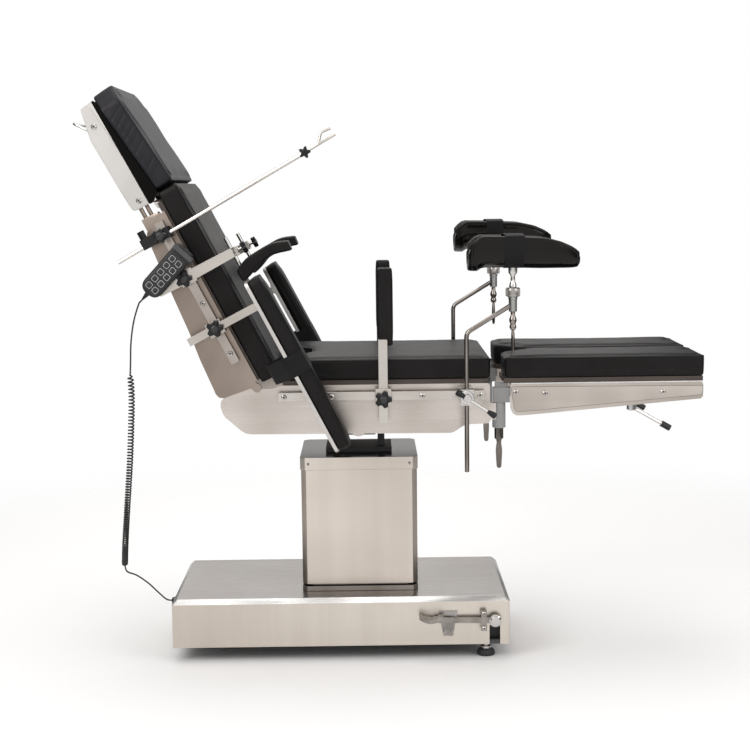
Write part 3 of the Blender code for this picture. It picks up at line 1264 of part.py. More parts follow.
HIP_X = -0.0175
HIP_FACE = FRAME_HALF_WIDTH + 0.046
HIP_WIDTH = 0.044
HIP_BAR_WIDTH = 0.025
HIP_BAR_THICK = 0.005
HIP_BAR_Y = FRAME_HALF_WIDTH + 0.0325
HIP_BAR_BOTTOM = SEAT_RAIL_Z - 0.074
HIP_PAD_X = -0.010
HIP_PAD_WIDTH = 0.041
HIP_PAD_UNDER = SEAT_RAIL_Z + 0.136
HIP_PAD_HEIGHT = 0.213
HIP_PAD_INNER = FRAME_HALF_WIDTH - 0.049
HIP_PAD_THICK = 0.050
HIP_PAD_CROWN_INSET = 0.014
HIP_KNOB_Z = SEAT_RAIL_Z - 0.006


def hip_clamp(side):
    """Rail clamp with a slot for the support's flat bar."""
    body = clamp(side, HIP_X, HIP_WIDTH, SEAT_RAIL_Z, HIP_FACE)
    half = HIP_BAR_WIDTH / 2 + GAP
    slot = block((HIP_X - half, HIP_X + half), out(side, HIP_BAR_Y - GAP, HIP_BAR_Y + HIP_BAR_THICK + GAP),
                 (SEAT_RAIL_Z - RAIL_HEIGHT, SEAT_RAIL_Z + RAIL_HEIGHT))
    hole = bore((HIP_X, HIP_KNOB_Z), KNOB_STEM, *out(side, HIP_BAR_Y + HIP_BAR_THICK, HIP_FACE + OVERRUN), "Y",
                BOLT_SIDES)
    return cut(body, slot, hole)


def hip_support(side):
    """Flat bar and the upright pad that it carries."""
    x = (HIP_X - HIP_BAR_WIDTH / 2, HIP_X + HIP_BAR_WIDTH / 2)
    link_top = HIP_PAD_UNDER + HIP_PAD_WIDTH / 2
    bar = block(x, out(side, HIP_BAR_Y, HIP_BAR_Y + HIP_BAR_THICK), (HIP_BAR_BOTTOM, link_top))
    outer = HIP_PAD_INNER + HIP_PAD_THICK
    link_z = (HIP_PAD_UNDER + 2 * WELD, link_top)
    link = block(x, out(side, outer - HIP_PAD_WIDTH / 4, HIP_BAR_Y + WELD), link_z)
    rim = rectangle((HIP_PAD_X, HIP_PAD_UNDER + HIP_PAD_HEIGHT / 2), HIP_PAD_WIDTH, HIP_PAD_HEIGHT)
    rim = softened(rim, HIP_PAD_CROWN_INSET, 2)
    return join(bar, link, hip_pad(side, rim, outer))


def hip_pad(side, rim, outer):
    """Upright pad, its crowned face toward the patient."""
    rings = []
    depth = outer - HIP_PAD_INNER
    for pull, share in ((1.0, 0.0), (0.0, 0.15), (0.0, 0.85), (1.0, 1.0)):
        y = side * (outer - depth * share)
        rings.append([at("Y", a, b, y) for a, b in inset(rim, CUSHION_EDGE * pull)])
    return loft(rings)


# Arm boards on the back rails

ARM_ALONG = 0.200
ARM_BAR_WIDTH = 0.022
ARM_BAR_THICK = 0.005
ARM_BAR_Y = FRAME_HALF_WIDTH + 0.052
ARM_FACE = FRAME_HALF_WIDTH + 0.053
ARM_CLAMP_WIDTH = 0.040
ARM_BAR_LOW = -0.098
ARM_BOARD_LOW = 0.121
ARM_BOARD_HIGH = 0.169
ARM_BOARD_METAL = 0.010
ARM_SWING_Y = FRAME_HALF_WIDTH + 0.111
ARM_SWING_PIN = 0.008
ARM_TAB_HALF = 0.018
ARM_START = -0.244
ARM_LENGTH = 0.520
ARM_INNER = FRAME_HALF_WIDTH + 0.061
ARM_WIDTH = 0.115
ARM_CORNER = 0.018
ARM_KNOB_UP = -0.016


def arm_bar(side):
    """Rail clamp with the cranked flat bar whose tab carries the swing pin."""
    body = clamp(side, -ARM_ALONG, ARM_CLAMP_WIDTH, BACK_RAIL_UP, ARM_FACE)
    tab_top = ARM_BOARD_LOW - GAP
    tab_low = tab_top - ARM_BAR_THICK
    near_y = ARM_BAR_Y
    far_y = ARM_BAR_Y + ARM_BAR_THICK
    outline = [(near_y, ARM_BAR_LOW), (far_y, ARM_BAR_LOW), (far_y, tab_low), (ARM_SWING_Y, tab_low),
               (ARM_SWING_Y, tab_top), (near_y, tab_top)]
    outline = [(side * y, up) for y, up in outline]
    bar = prism(outline, -ARM_ALONG - ARM_BAR_WIDTH / 2, -ARM_ALONG + ARM_BAR_WIDTH / 2, "X")
    centre = (-ARM_ALONG, side * ARM_SWING_Y)
    eye = pin(centre, ARM_TAB_HALF, tab_low, tab_top, "Z", ROUND_SIDES)
    post = pin(centre, ARM_SWING_PIN, tab_low + WELD, tab_top + ARM_BOARD_METAL - WELD, "Z")
    hole = bore((-ARM_ALONG, ARM_KNOB_UP), KNOB_STEM,
                *out(side, RAIL_OFFSET + RAIL_THICK + OVERRUN, ARM_BAR_Y + ARM_BAR_THICK + OVERRUN), "Y", BOLT_SIDES)
    return cut(join(body, bar, eye, post), hole)


def arm_rim(side, pull=0.0):
    """Plan of the arm board with rounded corners."""
    centre = (-(ARM_START + ARM_LENGTH / 2), side * (ARM_INNER + ARM_WIDTH / 2))
    return softened(inset(rectangle(centre, ARM_LENGTH, ARM_WIDTH), pull), ARM_CORNER)


def arm_board(side):
    """Metal tray of the arm board with the bore for its swing pin."""
    tray = prism(arm_rim(side, BOARD_EDGE / 2), ARM_BOARD_LOW, ARM_BOARD_LOW + ARM_BOARD_METAL, "Z")
    centre = (-ARM_ALONG, side * ARM_SWING_Y)
    return cut(tray, bore(centre, ARM_SWING_PIN, ARM_BOARD_LOW - OVERRUN, ARM_BOARD_LOW + ARM_BOARD_METAL - GAP, "Z"))


ARM_STRAP_ALONG = 0.020
ARM_STRAP_WIDTH = 0.058
ARM_STRAP_DROP = 0.060
ARM_STRAP_SLACK = 0.050


def arm_cushion(side):
    """Arm pad with a wide strap round the board."""
    low = ARM_BOARD_LOW + ARM_BOARD_METAL + GAP
    pad = cushion(arm_rim(side), low, ARM_BOARD_HIGH, crown_inset=CROWN_INSET / 2)
    x = (-ARM_STRAP_ALONG - ARM_STRAP_WIDTH / 2, -ARM_STRAP_ALONG + ARM_STRAP_WIDTH / 2)

    def loop(pull, top):
        inner = ARM_INNER + pull
        outer = ARM_INNER + ARM_WIDTH - pull
        drop = ARM_BOARD_LOW - ARM_STRAP_DROP + pull
        points = [(inner, top), (inner, drop), (inner + ARM_STRAP_SLACK, drop), (outer, ARM_BOARD_LOW), (outer, top)]
        return [(side * y, up) for y, up in points]

    strap = prism(loop(WELD - STRAP_THICK, ARM_BOARD_HIGH + STRAP_THICK), *x, "X")
    hollow_top = ARM_BOARD_HIGH - CUSHION_CROWN - CUSHION_EDGE
    hollow = prism(loop(WELD, hollow_top), x[0] - OVERRUN, x[1] + OVERRUN, "X")
    return join(pad, cut(strap, hollow))


# Shoulder supports on the back rails

SHOULDER_ALONG = 0.358
SHOULDER_BAR_WIDTH = 0.026
SHOULDER_BAR_Y = FRAME_HALF_WIDTH + 0.052
SHOULDER_BAR_LOW = -0.103
SHOULDER_CORNER_UP = 0.126
SHOULDER_TURN_Y = FRAME_HALF_WIDTH - 0.049
SHOULDER_THICK = 0.005
SHOULDER_KNOB_UP = -0.024
SHOULDER_FACE = FRAME_HALF_WIDTH + 0.053
SHOULDER_ROD = 0.0055
SHOULDER_ROD_UP = 0.117
SHOULDER_ROD_START = 0.312
SHOULDER_ROD_END = 0.404
SHOULDER_BLOCK = 0.014
SHOULDER_PAD_START = 0.273
SHOULDER_PAD_LOW = 0.102
SHOULDER_PAD_LENGTH = 0.060
SHOULDER_PAD_HEIGHT = 0.165
SHOULDER_PAD_SHARES = (
    (0.0, 0.02), (0.58, 0.0), (0.80, 0.14), (0.92, 0.27), (1.0, 0.73), (0.70, 1.0), (0.23, 0.98), (0.47, 0.72),
    (0.42, 0.41), (0.13, 0.19))
SHOULDER_PAD_HALF = 0.038
SHOULDER_PAD_EDGE = 0.006


def shoulder_bar(side):
    """Rail clamp, knob and cranked bar that ends in a block for the pad's rod."""
    body = clamp(side, -SHOULDER_ALONG, ARM_CLAMP_WIDTH, BACK_RAIL_UP, SHOULDER_FACE)
    low = SHOULDER_CORNER_UP - SHOULDER_THICK
    outer = SHOULDER_BAR_Y + SHOULDER_THICK
    outline = [(SHOULDER_BAR_Y, SHOULDER_BAR_LOW), (outer, SHOULDER_BAR_LOW), (outer, SHOULDER_CORNER_UP),
               (SHOULDER_TURN_Y, SHOULDER_CORNER_UP), (SHOULDER_TURN_Y, low), (SHOULDER_BAR_Y, low)]
    outline = [(side * y, up) for y, up in outline]
    half = SHOULDER_BAR_WIDTH / 2
    bar = prism(outline, -SHOULDER_ALONG - half, -SHOULDER_ALONG + half, "X")
    grip = SHOULDER_BLOCK
    block_y = out(side, SHOULDER_TURN_Y - grip, SHOULDER_TURN_Y + grip)
    head = block((-SHOULDER_ALONG - half, -SHOULDER_ALONG + half), block_y,
                 (SHOULDER_ROD_UP - grip * 0.8, SHOULDER_ROD_UP + grip))
    knob = star_knob(side, (-SHOULDER_ALONG, SHOULDER_KNOB_UP), SHOULDER_BAR_Y + SHOULDER_THICK - WELD,
                     STEM_REACH)
    body = join(body, bar, head, knob)
    centre = (side * SHOULDER_TURN_Y, SHOULDER_ROD_UP)
    way = (-SHOULDER_ALONG - SHOULDER_BAR_WIDTH, -SHOULDER_ALONG + SHOULDER_BAR_WIDTH)
    return cut(body, bore(centre, SHOULDER_ROD, *way, "X", SMALL_SIDES))


def shoulder_pad(side):
    """Curved shoulder pad with the rod on which it turns."""
    rim = shared(SHOULDER_PAD_SHARES, (SHOULDER_PAD_START, SHOULDER_PAD_LOW),
                 (SHOULDER_PAD_LENGTH, SHOULDER_PAD_HEIGHT))
    rim = [(-s, up) for s, up in softened(rim, SHOULDER_PAD_EDGE * 2, 1)]
    rings = []
    middle = side * SHOULDER_TURN_Y
    for pull, across in ((1.0, -1.0), (0.0, -0.85), (0.0, 0.85), (1.0, 1.0)):
        ring = inset(rim[::-1], SHOULDER_PAD_EDGE * pull * 0.5)
        rings.append([at("Y", a, b, middle + SHOULDER_PAD_HALF * across) for a, b in ring])
    centre = (middle, SHOULDER_ROD_UP)
    rod = pin(centre, SHOULDER_ROD, -SHOULDER_ROD_END, -SHOULDER_ROD_START, "X", SMALL_SIDES)
    return join(loft(rings), rod)


# Screen support on the near back rail

SCREEN_ALONG = 0.488
SCREEN_CLAMP_WIDTH = 0.030
SCREEN_Y = FRAME_HALF_WIDTH + 0.076
SCREEN_FACE = FRAME_HALF_WIDTH + 0.088
SCREEN_ROD = 0.0055
SCREEN_LOW = (-0.479, -0.156)
SCREEN_HIGH = (-0.4995, 0.425)
SCREEN_KNOB_UP = -0.0205
SMALL_KNOB_UP = -0.064
SMALL_KNOB_RADIUS = 0.010
SMALL_KNOB_LENGTH = 0.022
SCREEN_EYE = 0.010
SCREEN_ARM_RISE = 0.094
SCREEN_ARM_ALONG = 0.004
SCREEN_ARM_ROD = 0.0045


def screen_axis():
    """Ends of the screen rod in the back section's frame."""
    low = Vector((SCREEN_LOW[0], -SCREEN_Y, SCREEN_LOW[1]))
    high = Vector((SCREEN_HIGH[0], -SCREEN_Y, SCREEN_HIGH[1]))
    return low, high


def screen_clamp():
    """Rail clamp with a slanting way for the screen rod, and its two knobs."""
    body = clamp(-1, -SCREEN_ALONG, SCREEN_CLAMP_WIDTH, BACK_RAIL_UP, SCREEN_FACE)
    knob = star_knob(-1, (-SCREEN_ALONG, SCREEN_KNOB_UP), SCREEN_FACE - WELD, WELD)
    under = BACK_RAIL_UP - RAIL_HEIGHT / 2 - CLAMP_WALL
    tail_half = SCREEN_CLAMP_WIDTH / 2 - WELD
    tail_x = (-SCREEN_ALONG - tail_half, -SCREEN_ALONG + tail_half)
    tail = block(tail_x, out(-1, SCREEN_Y - 2 * SCREEN_ROD, SCREEN_FACE - WELD),
                 (SMALL_KNOB_UP - 1.3 * SMALL_KNOB_RADIUS, under + WELD))
    small = turned([(SMALL_KNOB_RADIUS, -SCREEN_ALONG - tail_half + WELD),
                    (SMALL_KNOB_RADIUS, -SCREEN_ALONG - tail_half - SMALL_KNOB_LENGTH)],
                   (-SCREEN_Y, SMALL_KNOB_UP), "X", SMALL_SIDES)
    low, high = screen_axis()
    way = tube([low, high], (SCREEN_ROD + GAP) / cos(pi / SMALL_SIDES))
    return cut(join(body, knob, tail, small), way)


def screen_rod():
    """Long rod of the anaesthesia screen with the eye of its joint."""
    low, high = screen_axis()
    eye = pin((high.x, high.z), SCREEN_EYE, -SCREEN_Y - SCREEN_ROD, -SCREEN_Y + SCREEN_ROD, "Y")
    body = join(tube([low, high], SCREEN_ROD), eye)
    reach = out(-1, SCREEN_Y - 2 * SCREEN_ROD, SCREEN_Y + 2 * SCREEN_ROD)
    return cut(body, bore((high.x, high.z), SCREEN_ROD * 0.7, *reach, "Y", SMALL_SIDES))


def screen_arm():
    """Short hooked arm on its knobbed screw beyond the rod's joint."""
    joint = screen_axis()[1]
    y = -SCREEN_Y - SCREEN_ROD - GAP
    arm_y = y - SCREEN_ARM_ROD
    screw = pin((joint.x, joint.z), SCREEN_ROD * 0.7, y - WELD, -SCREEN_Y + SCREEN_ROD + PIN_END, "Y", SMALL_SIDES)
    knob = turned([(SCREEN_EYE, y), (SCREEN_EYE, y - 2 * SCREEN_ARM_ROD - PIN_END), (SCREEN_EYE / 2, y - 3 * SCREEN_ARM_ROD)],
                  (joint.x, joint.z), "Y", SMALL_SIDES)
    end = Vector((joint.x - SCREEN_ARM_ALONG, arm_y, joint.z + SCREEN_ARM_RISE))
    straight = tube([Vector((joint.x, arm_y, joint.z)), end], SCREEN_ARM_ROD * 0.8)
    corners = [(joint.x - SCREEN_ARM_ALONG / 2, arm_y, joint.z + SCREEN_ARM_RISE * 0.45),
               (joint.x - SCREEN_EYE * 2.6, arm_y, joint.z + SCREEN_ARM_RISE * 0.66),
               (joint.x - SCREEN_EYE * 2.4, arm_y, joint.z + SCREEN_ARM_RISE * 0.96)]
    hook = tube(bent(corners, SCREEN_EYE / 2, 3), SCREEN_ARM_ROD * 0.8)
    return join(knob, screw, straight, hook)


# Hand control on the near back rail

HANDSET_X = -0.594
HANDSET_Z = BACK_PIVOT_Z + 0.328
HANDSET_ANGLE = radians(47.5)
HANDSET_LENGTH = 0.160
HANDSET_WIDTH = 0.054
HANDSET_BACK = FRAME_HALF_WIDTH + 0.071
HANDSET_THICK = 0.028
HANDSET_CORNER = 0.010
HANDSET_EDGE = 0.003
BAND_START = 0.060
BAND_LENGTH = 0.014
BAND_PROUD = 0.0015
KEYPAD_RECESS = 0.001
KEYPAD_LEFT = -0.072
KEYPAD_LENGTH = 0.124
KEYPAD_WIDTH = 0.044
KEY_ROWS = 2
KEY_COLUMNS = 5
KEY_SIZE = 0.016
KEY_PITCH_X = 0.024
KEY_PITCH_Z = 0.0205
KEY_PROUD = 0.002
RELIEF_LENGTH = 0.020
RELIEF_RADIUS = 0.0065
CORD_RADIUS = 0.0022
HOOK_ALONG = 0.400
HOOK_HALF = 0.012
HOOK_DROP = 0.030
HOOK_THICK = 0.003

HANDSET_WORLD = Matrix.Translation((HANDSET_X, 0, HANDSET_Z)) @ leaning(-HANDSET_ANGLE)
HANDSET_FACE = HANDSET_BACK + HANDSET_THICK


def handset():
    """Moulded case with a rounded edge, keypad recess, end band, hook and strain relief."""
    rim = softened(rectangle((0, 0), HANDSET_LENGTH, HANDSET_WIDTH), HANDSET_CORNER)
    rings = []
    for pull, depth in ((1, 0), (0, HANDSET_EDGE), (0, HANDSET_THICK - HANDSET_EDGE), (1, HANDSET_THICK)):
        y = -(HANDSET_BACK + depth)
        rings.append([at("Y", a, b, y) for a, b in inset(rim, HANDSET_EDGE * pull)])
    band_rim = rectangle((BAND_START + BAND_LENGTH / 2, 0), BAND_LENGTH, HANDSET_WIDTH + 2 * BAND_PROUD)
    band = prism(band_rim, -HANDSET_FACE - BAND_PROUD, -HANDSET_BACK - HANDSET_EDGE)
    end = -HANDSET_LENGTH / 2
    relief = turned([(RELIEF_RADIUS, end + OVERRUN), (RELIEF_RADIUS, end - RELIEF_LENGTH / 3),
                     (CORD_RADIUS * 1.5, end - RELIEF_LENGTH)], (-(HANDSET_BACK + HANDSET_THICK / 2), 0), "X",
                    SMALL_SIDES)
    case = join(loft(rings), band, relief)
    mat = rectangle((KEYPAD_LEFT + KEYPAD_LENGTH / 2, 0), KEYPAD_LENGTH + 2 * GAP, KEYPAD_WIDTH + 2 * GAP)
    case = cut(case, prism(mat, -HANDSET_FACE - OVERRUN, -HANDSET_FACE + KEYPAD_RECESS))
    return join(moved(case, HANDSET_WORLD), moved(rail_hook(), BACK_WORLD))


def rail_hook():
    """Hook behind the hand control that hangs over the rail."""
    front = RAIL_OFFSET + RAIL_THICK + GAP
    behind = RAIL_OFFSET - GAP
    top = BACK_RAIL_UP + RAIL_HEIGHT / 2
    outline = [(front, top - HOOK_DROP), (front, top + GAP), (behind, top + GAP), (behind, top - HOOK_HALF / 2),
               (behind - HOOK_THICK, top - HOOK_HALF / 2), (behind - HOOK_THICK, top + HOOK_THICK),
               (HANDSET_BACK - HOOK_HALF, top + HOOK_THICK), (HANDSET_BACK + WELD, top - HOOK_HALF),
               (HANDSET_BACK + WELD, top - HOOK_DROP)]
    outline = [(-y, up) for y, up in outline]
    return prism(outline, -HOOK_ALONG - HOOK_HALF, -HOOK_ALONG + HOOK_HALF, "X")


def handset_keypad():
    """Silicone mat with ten raised keys."""
    mat_rim = rectangle((KEYPAD_LEFT + KEYPAD_LENGTH / 2, 0), KEYPAD_LENGTH, KEYPAD_WIDTH)
    mat = prism(mat_rim, -HANDSET_FACE - KEYPAD_RECESS, -HANDSET_FACE + KEYPAD_RECESS - GAP)
    keys = []
    for column in range(KEY_COLUMNS):
        for row in range(KEY_ROWS):
            x = KEYPAD_LEFT + KEYPAD_LENGTH / 2 + (column - (KEY_COLUMNS - 1) / 2) * KEY_PITCH_X
            z = (row - (KEY_ROWS - 1) / 2) * KEY_PITCH_Z
            rim = softened(rectangle((x, z), KEY_SIZE, KEY_SIZE), KEY_SIZE / 4, 1)
            keys.append(prism(rim, -HANDSET_FACE - KEYPAD_RECESS - KEY_PROUD, -HANDSET_FACE - KEYPAD_RECESS / 2))
    return moved(join(mat, *keys), HANDSET_WORLD)


# Hand control cord: a straight lead, a curly stretch and a tail to the base's gland

LEAD_ROUTE = ((-0.673, -0.336, 1.022), (-0.688, -0.334, 0.975), (-0.697, -0.332, 0.920),
              (-0.700, -0.330, 0.870))
COIL_TOP = (-0.702, -0.330, 0.833)
COIL_ROUTE = ((-0.7005, -0.329, 0.763), (-0.7100, -0.316, 0.625), (-0.7197, -0.300, 0.534),
              (-0.7310, -0.279, 0.4405), (-0.7430, -0.248, 0.348))
COIL_BOTTOM = (-0.7530, -0.208, 0.275)
TAIL_ROUTE = ((-0.7500, -0.188, 0.252), (-0.7250, -0.168, 0.235), (-0.6950, -0.152, 0.207),
              (-0.6680, -0.141, 0.176), (-0.6480, -0.1355, 0.1560))
COIL_RADIUS = 0.0070
CURLS = 48
CURL_POINTS = 8
COIL_TIGHTEN_SHARE = 0.25
LEAD_STEP = 3 * CORD_RADIUS * 2


def smooth_route(points, per_span):
    """Points on a smooth curve through the route's own points."""
    places = [Vector(point) for point in points]
    places = [2 * places[0] - places[1]] + places + [2 * places[-1] - places[-2]]
    path = []
    for index in range(1, len(places) - 2):
        a, b, c, d = places[index - 1:index + 3]
        for step in range(per_span):
            t = step / per_span
            bend = (2 * a - 5 * b + 4 * c - d) * t ** 2 + (3 * b - 3 * c + d - a) * t ** 3
            path.append(0.5 * (2 * b + (c - a) * t + bend))
    path.append(places[-2])
    return path


def even_route(path, step):
    """The path's points set at an even step."""
    lengths = [0.0]
    for before, after in zip(path, path[1:]):
        lengths.append(lengths[-1] + (after - before).length)
    count = max(2, ceil(lengths[-1] / step))
    points = []
    index = 0
    for number in range(count + 1):
        target = lengths[-1] * number / count
        while index < len(path) - 2 and lengths[index + 1] < target:
            index += 1
        share = (target - lengths[index]) / (lengths[index + 1] - lengths[index])
        points.append(path[index].lerp(path[index + 1], share))
    return points


def cord_curve(name, points, resolution, carrier):
    """Round cord along its points as one bevelled curve with filled ends."""
    data = bpy.data.curves.new(name, "CURVE")
    data.dimensions = "3D"
    data.bevel_depth = CORD_RADIUS
    data.bevel_resolution = resolution
    data.use_fill_caps = True
    data.materials.append(CABLE)
    spline = data.splines.new("POLY")
    spline.points.add(len(points) - 1)
    back = WORLDS[carrier.name].inverted()
    for place, point in zip(spline.points, points):
        place.co = (*(back @ point), 1.0)
    cord = bpy.data.objects.new(name, data)
    bpy.context.collection.objects.link(cord)
    cord.parent = carrier
    return cord


def relief_tip():
    """End of the hand control's strain relief and the way it points."""
    tip = HANDSET_WORLD @ Vector((-HANDSET_LENGTH / 2 - RELIEF_LENGTH, -(HANDSET_BACK + HANDSET_THICK / 2), 0))
    heading = (HANDSET_WORLD.to_3x3() @ Vector((-1, 0, 0))).normalized()
    return tip, heading


def lead_points():
    """Lead from the strain relief to the top of the curls."""
    tip, heading = relief_tip()
    start = tip + heading * GAP
    straight = start + heading * 2 * CORD_RADIUS
    top = Vector(COIL_TOP)
    run = (top - Vector(LEAD_ROUTE[-1])).normalized()
    inner = even_route(smooth_route([straight, *LEAD_ROUTE, top - run * 2 * CORD_RADIUS], 12), LEAD_STEP)
    return [start] + inner + [top - run * GAP]


def coil_points():
    """Curly stretch: a helix about its route, tighter toward the bottom."""
    axis = even_route(smooth_route([COIL_TOP, *COIL_ROUTE, COIL_BOTTOM], 24), CORD_RADIUS)
    first = (axis[1] - axis[0]).normalized()
    last = (axis[-1] - axis[-2]).normalized()
    points = [axis[0], axis[0] + first * 2 * CORD_RADIUS]
    total = CURLS * CURL_POINTS
    side = first.orthogonal().normalized()
    lead_in = 3 * CORD_RADIUS / ((len(axis) - 1) * CORD_RADIUS)
    for number in range(total + 1):
        share = number / total
        eased = share + COIL_TIGHTEN_SHARE * share * (1 - share)
        along = lead_in + (1 - 2 * lead_in) * eased
        place = along * (len(axis) - 1)
        index = min(int(place), len(axis) - 2)
        centre = axis[index].lerp(axis[index + 1], place - index)
        heading = (axis[index + 1] - axis[index]).normalized()
        side = (side - heading * side.dot(heading)).normalized()
        other = heading.cross(side)
        turn = 2 * pi * number / CURL_POINTS
        ramp = min(1.0, 0.3 + number / CURL_POINTS, 0.3 + (total - number) / CURL_POINTS)
        points.append(centre + (side * cos(turn) + other * sin(turn)) * COIL_RADIUS * ramp)
    return points + [axis[-1] - last * 2 * CORD_RADIUS, axis[-1]]


def tail_points():
    """Tail from the curls to the gland on the base's end wall."""
    bottom = Vector(COIL_BOTTOM)
    run = (bottom - Vector(COIL_ROUTE[-1])).normalized()
    gland = Vector((BASE_LEFT - GLAND_LENGTH - GAP, GLAND_Y, GLAND_Z))
    before_gland = gland - Vector((2 * CORD_RADIUS, 0, 0))
    start = bottom + run * GAP
    inner = even_route(smooth_route([start + run * 2 * CORD_RADIUS, *TAIL_ROUTE, before_gland], 12), LEAD_STEP)
    return [start] + inner + [gland]


def least_self_gap(points):
    """Smallest clear distance between turns of the curly cord, measured on its points."""
    least = None
    for index, point in enumerate(points):
        for other in points[index + CURL_POINTS // 2:index + 2 * CURL_POINTS]:
            clear = (other - point).length - 2 * CORD_RADIUS
            least = clear if least is None else min(least, clear)
    return least


def build_root():
    """Base, skirt and pedal."""
    pedal_pivot = pivot("pedal_pivot", Matrix.Translation((PEDAL_X, -LEVER_FACE, PEDAL_Z)), root_pivot)
    node("base_chassis", base_chassis(), CAST, root_pivot)
    node("base_cover", base_cover(), BRUSHED, root_pivot)
    node("column_skirt", column_skirt(), BRUSHED, root_pivot)
    node("pedal_lever", pedal_lever(), PAINTED, pedal_pivot)


def build_column():
    """Moving column and the tilt cradle."""
    node("column_cover", column_cover(), BRUSHED, lift_pivot)
    node("lift_ram", lift_ram(), CAST, lift_pivot)
    node("tilt_cradle", tilt_cradle(), CAST, cradle_pivot)


def build_seat():
    """Seat section with its rails."""
    node("seat_frame", seat_frame(), BRUSHED, seat_pivot)
    node("seat_cushion", seat_cushion(), LEATHER, seat_pivot)
    for name, side in SIDES.items():
        rail = side_rail(side, SEAT_RAIL_LEFT, SEAT_RAIL_RIGHT, SEAT_RAIL_Z, SEAT_RAIL_BOLTS, FRAME_HALF_WIDTH)
        node(f"seat_rail_{name}", rail, POLISHED, seat_pivot)


def build_leg(name, side):
    """One leg section on its knuckle."""
    place = Matrix.Translation((KNUCKLE_X, side * KNUCKLE_Y, SOCKET_TOP))
    knuckle_pivot = pivot(f"leg_knuckle_pivot_{name}", place, seat_pivot)
    fold = Matrix.Translation((LEG_PIN_X, side * TONGUE_Y, LEG_PIN_Z))
    fold_pivot = pivot(f"leg_fold_pivot_{name}", fold, knuckle_pivot)
    lock = Matrix.Translation((LOCK_X, side * LOCK_Y, LOCK_BOSS_UNDER))
    lock_pivot = pivot(f"leg_lock_pivot_{name}", lock, fold_pivot)
    node(f"leg_knuckle_{name}", leg_knuckle(side), PAINTED, knuckle_pivot)
    node(f"leg_frame_{name}", leg_frame(side), BRUSHED, fold_pivot)
    node(f"leg_cushion_{name}", leg_cushion(side), LEATHER, fold_pivot)
    node(f"leg_lock_handle_{name}", leg_lock_handle(side), POLISHED, lock_pivot)


def build_back():
    """Back section with its rails."""
    node("back_frame", back_frame(), BRUSHED, back_pivot, BACK_WORLD)
    node("back_cushion", back_cushion(), LEATHER, back_pivot, BACK_WORLD)
    for name, side in SIDES.items():
        bolts = [-s for s in BACK_RAIL_BOLTS]
        rail = side_rail(side, -BACK_RAIL_END, -BACK_RAIL_START, BACK_RAIL_UP, bolts, BACK_OUTER)
        node(f"back_rail_{name}", rail, POLISHED, back_pivot, BACK_WORLD)


def build_head():
    """Head section with its release bail."""
    bail = HEAD_WORLD @ Matrix.Translation((-HANDLE_ALONG, 0, HANDLE_UP))
    bail_pivot = pivot("head_handle_pivot", bail, head_pivot)
    node("head_frame", head_frame(), BRUSHED, head_pivot, HEAD_WORLD)
    node("head_cushion", head_cushion(), LEATHER, head_pivot, HEAD_WORLD)
    node("head_release_handle", head_release_handle(), POLISHED, bail_pivot, HEAD_WORLD)


def build_leg_holder(name, side):
    """One knee crutch with its clamp."""
    rise = HOLDER_RAISE[name]
    rod = Matrix.Translation((HOLDER_X, side * HOLDER_Y, SEAT_RAIL_Z))
    rod_pivot = pivot(f"holder_rod_pivot_{name}", rod, seat_pivot)
    pad = Matrix.Translation((HOLDER_TOP_X, side * HOLDER_Y, NUT_TOP + rise))
    pad_pivot = pivot(f"holder_pad_pivot_{name}", pad, rod_pivot)
    screw = Matrix.Translation((HOLDER_X, side * HOLDER_FACE, SEAT_RAIL_Z))
    screw_pivot = pivot(f"holder_tbar_pivot_{name}", screw, seat_pivot)
    node(f"holder_clamp_{name}", holder_clamp(side), POLISHED, seat_pivot)
    node(f"holder_tbar_{name}", holder_tbar(side), POLISHED, screw_pivot)
    node(f"holder_rod_{name}", holder_rod(side, rise), POLISHED, rod_pivot)
    node(f"holder_pad_{name}", holder_pad(side, rise), LEATHER, pad_pivot)


def build_hip_support(name, side):
    """One hip support with its clamp and knob."""
    bar = pivot(f"hip_bar_pivot_{name}", Matrix.Translation((HIP_X, side * HIP_BAR_Y, SEAT_RAIL_Z)), seat_pivot)
    turn = pivot(f"hip_knob_pivot_{name}", Matrix.Translation((HIP_X, side * HIP_FACE, HIP_KNOB_Z)), seat_pivot)
    node(f"hip_clamp_{name}", hip_clamp(side), POLISHED, seat_pivot)
    node(f"hip_support_{name}", hip_support(side), LEATHER, bar)
    knob = star_knob(side, (HIP_X, HIP_KNOB_Z), HIP_FACE, HIP_FACE - HIP_BAR_Y - HIP_BAR_THICK - WELD)
    node(f"hip_knob_{name}", knob, PLASTIC, turn)


def build_arm(name, side):
    """One arm board on its cranked bar."""
    swing = BACK_WORLD @ Matrix.Translation((-ARM_ALONG, side * ARM_SWING_Y, ARM_BOARD_LOW))
    swing_pivot = pivot(f"arm_swing_pivot_{name}", swing, back_pivot)
    turn = BACK_WORLD @ Matrix.Translation((-ARM_ALONG, side * ARM_FACE, ARM_KNOB_UP))
    turn_pivot = pivot(f"arm_knob_pivot_{name}", turn, back_pivot)
    node(f"arm_bar_{name}", arm_bar(side), POLISHED, back_pivot, BACK_WORLD)
    face = ARM_BAR_Y + ARM_BAR_THICK
    knob = star_knob(side, (-ARM_ALONG, ARM_KNOB_UP), face, STEM_REACH)
    node(f"arm_knob_{name}", knob, PLASTIC, turn_pivot, BACK_WORLD)
    node(f"arm_board_{name}", arm_board(side), POLISHED, swing_pivot, BACK_WORLD)
    node(f"arm_cushion_{name}", arm_cushion(side), LEATHER, swing_pivot, BACK_WORLD)


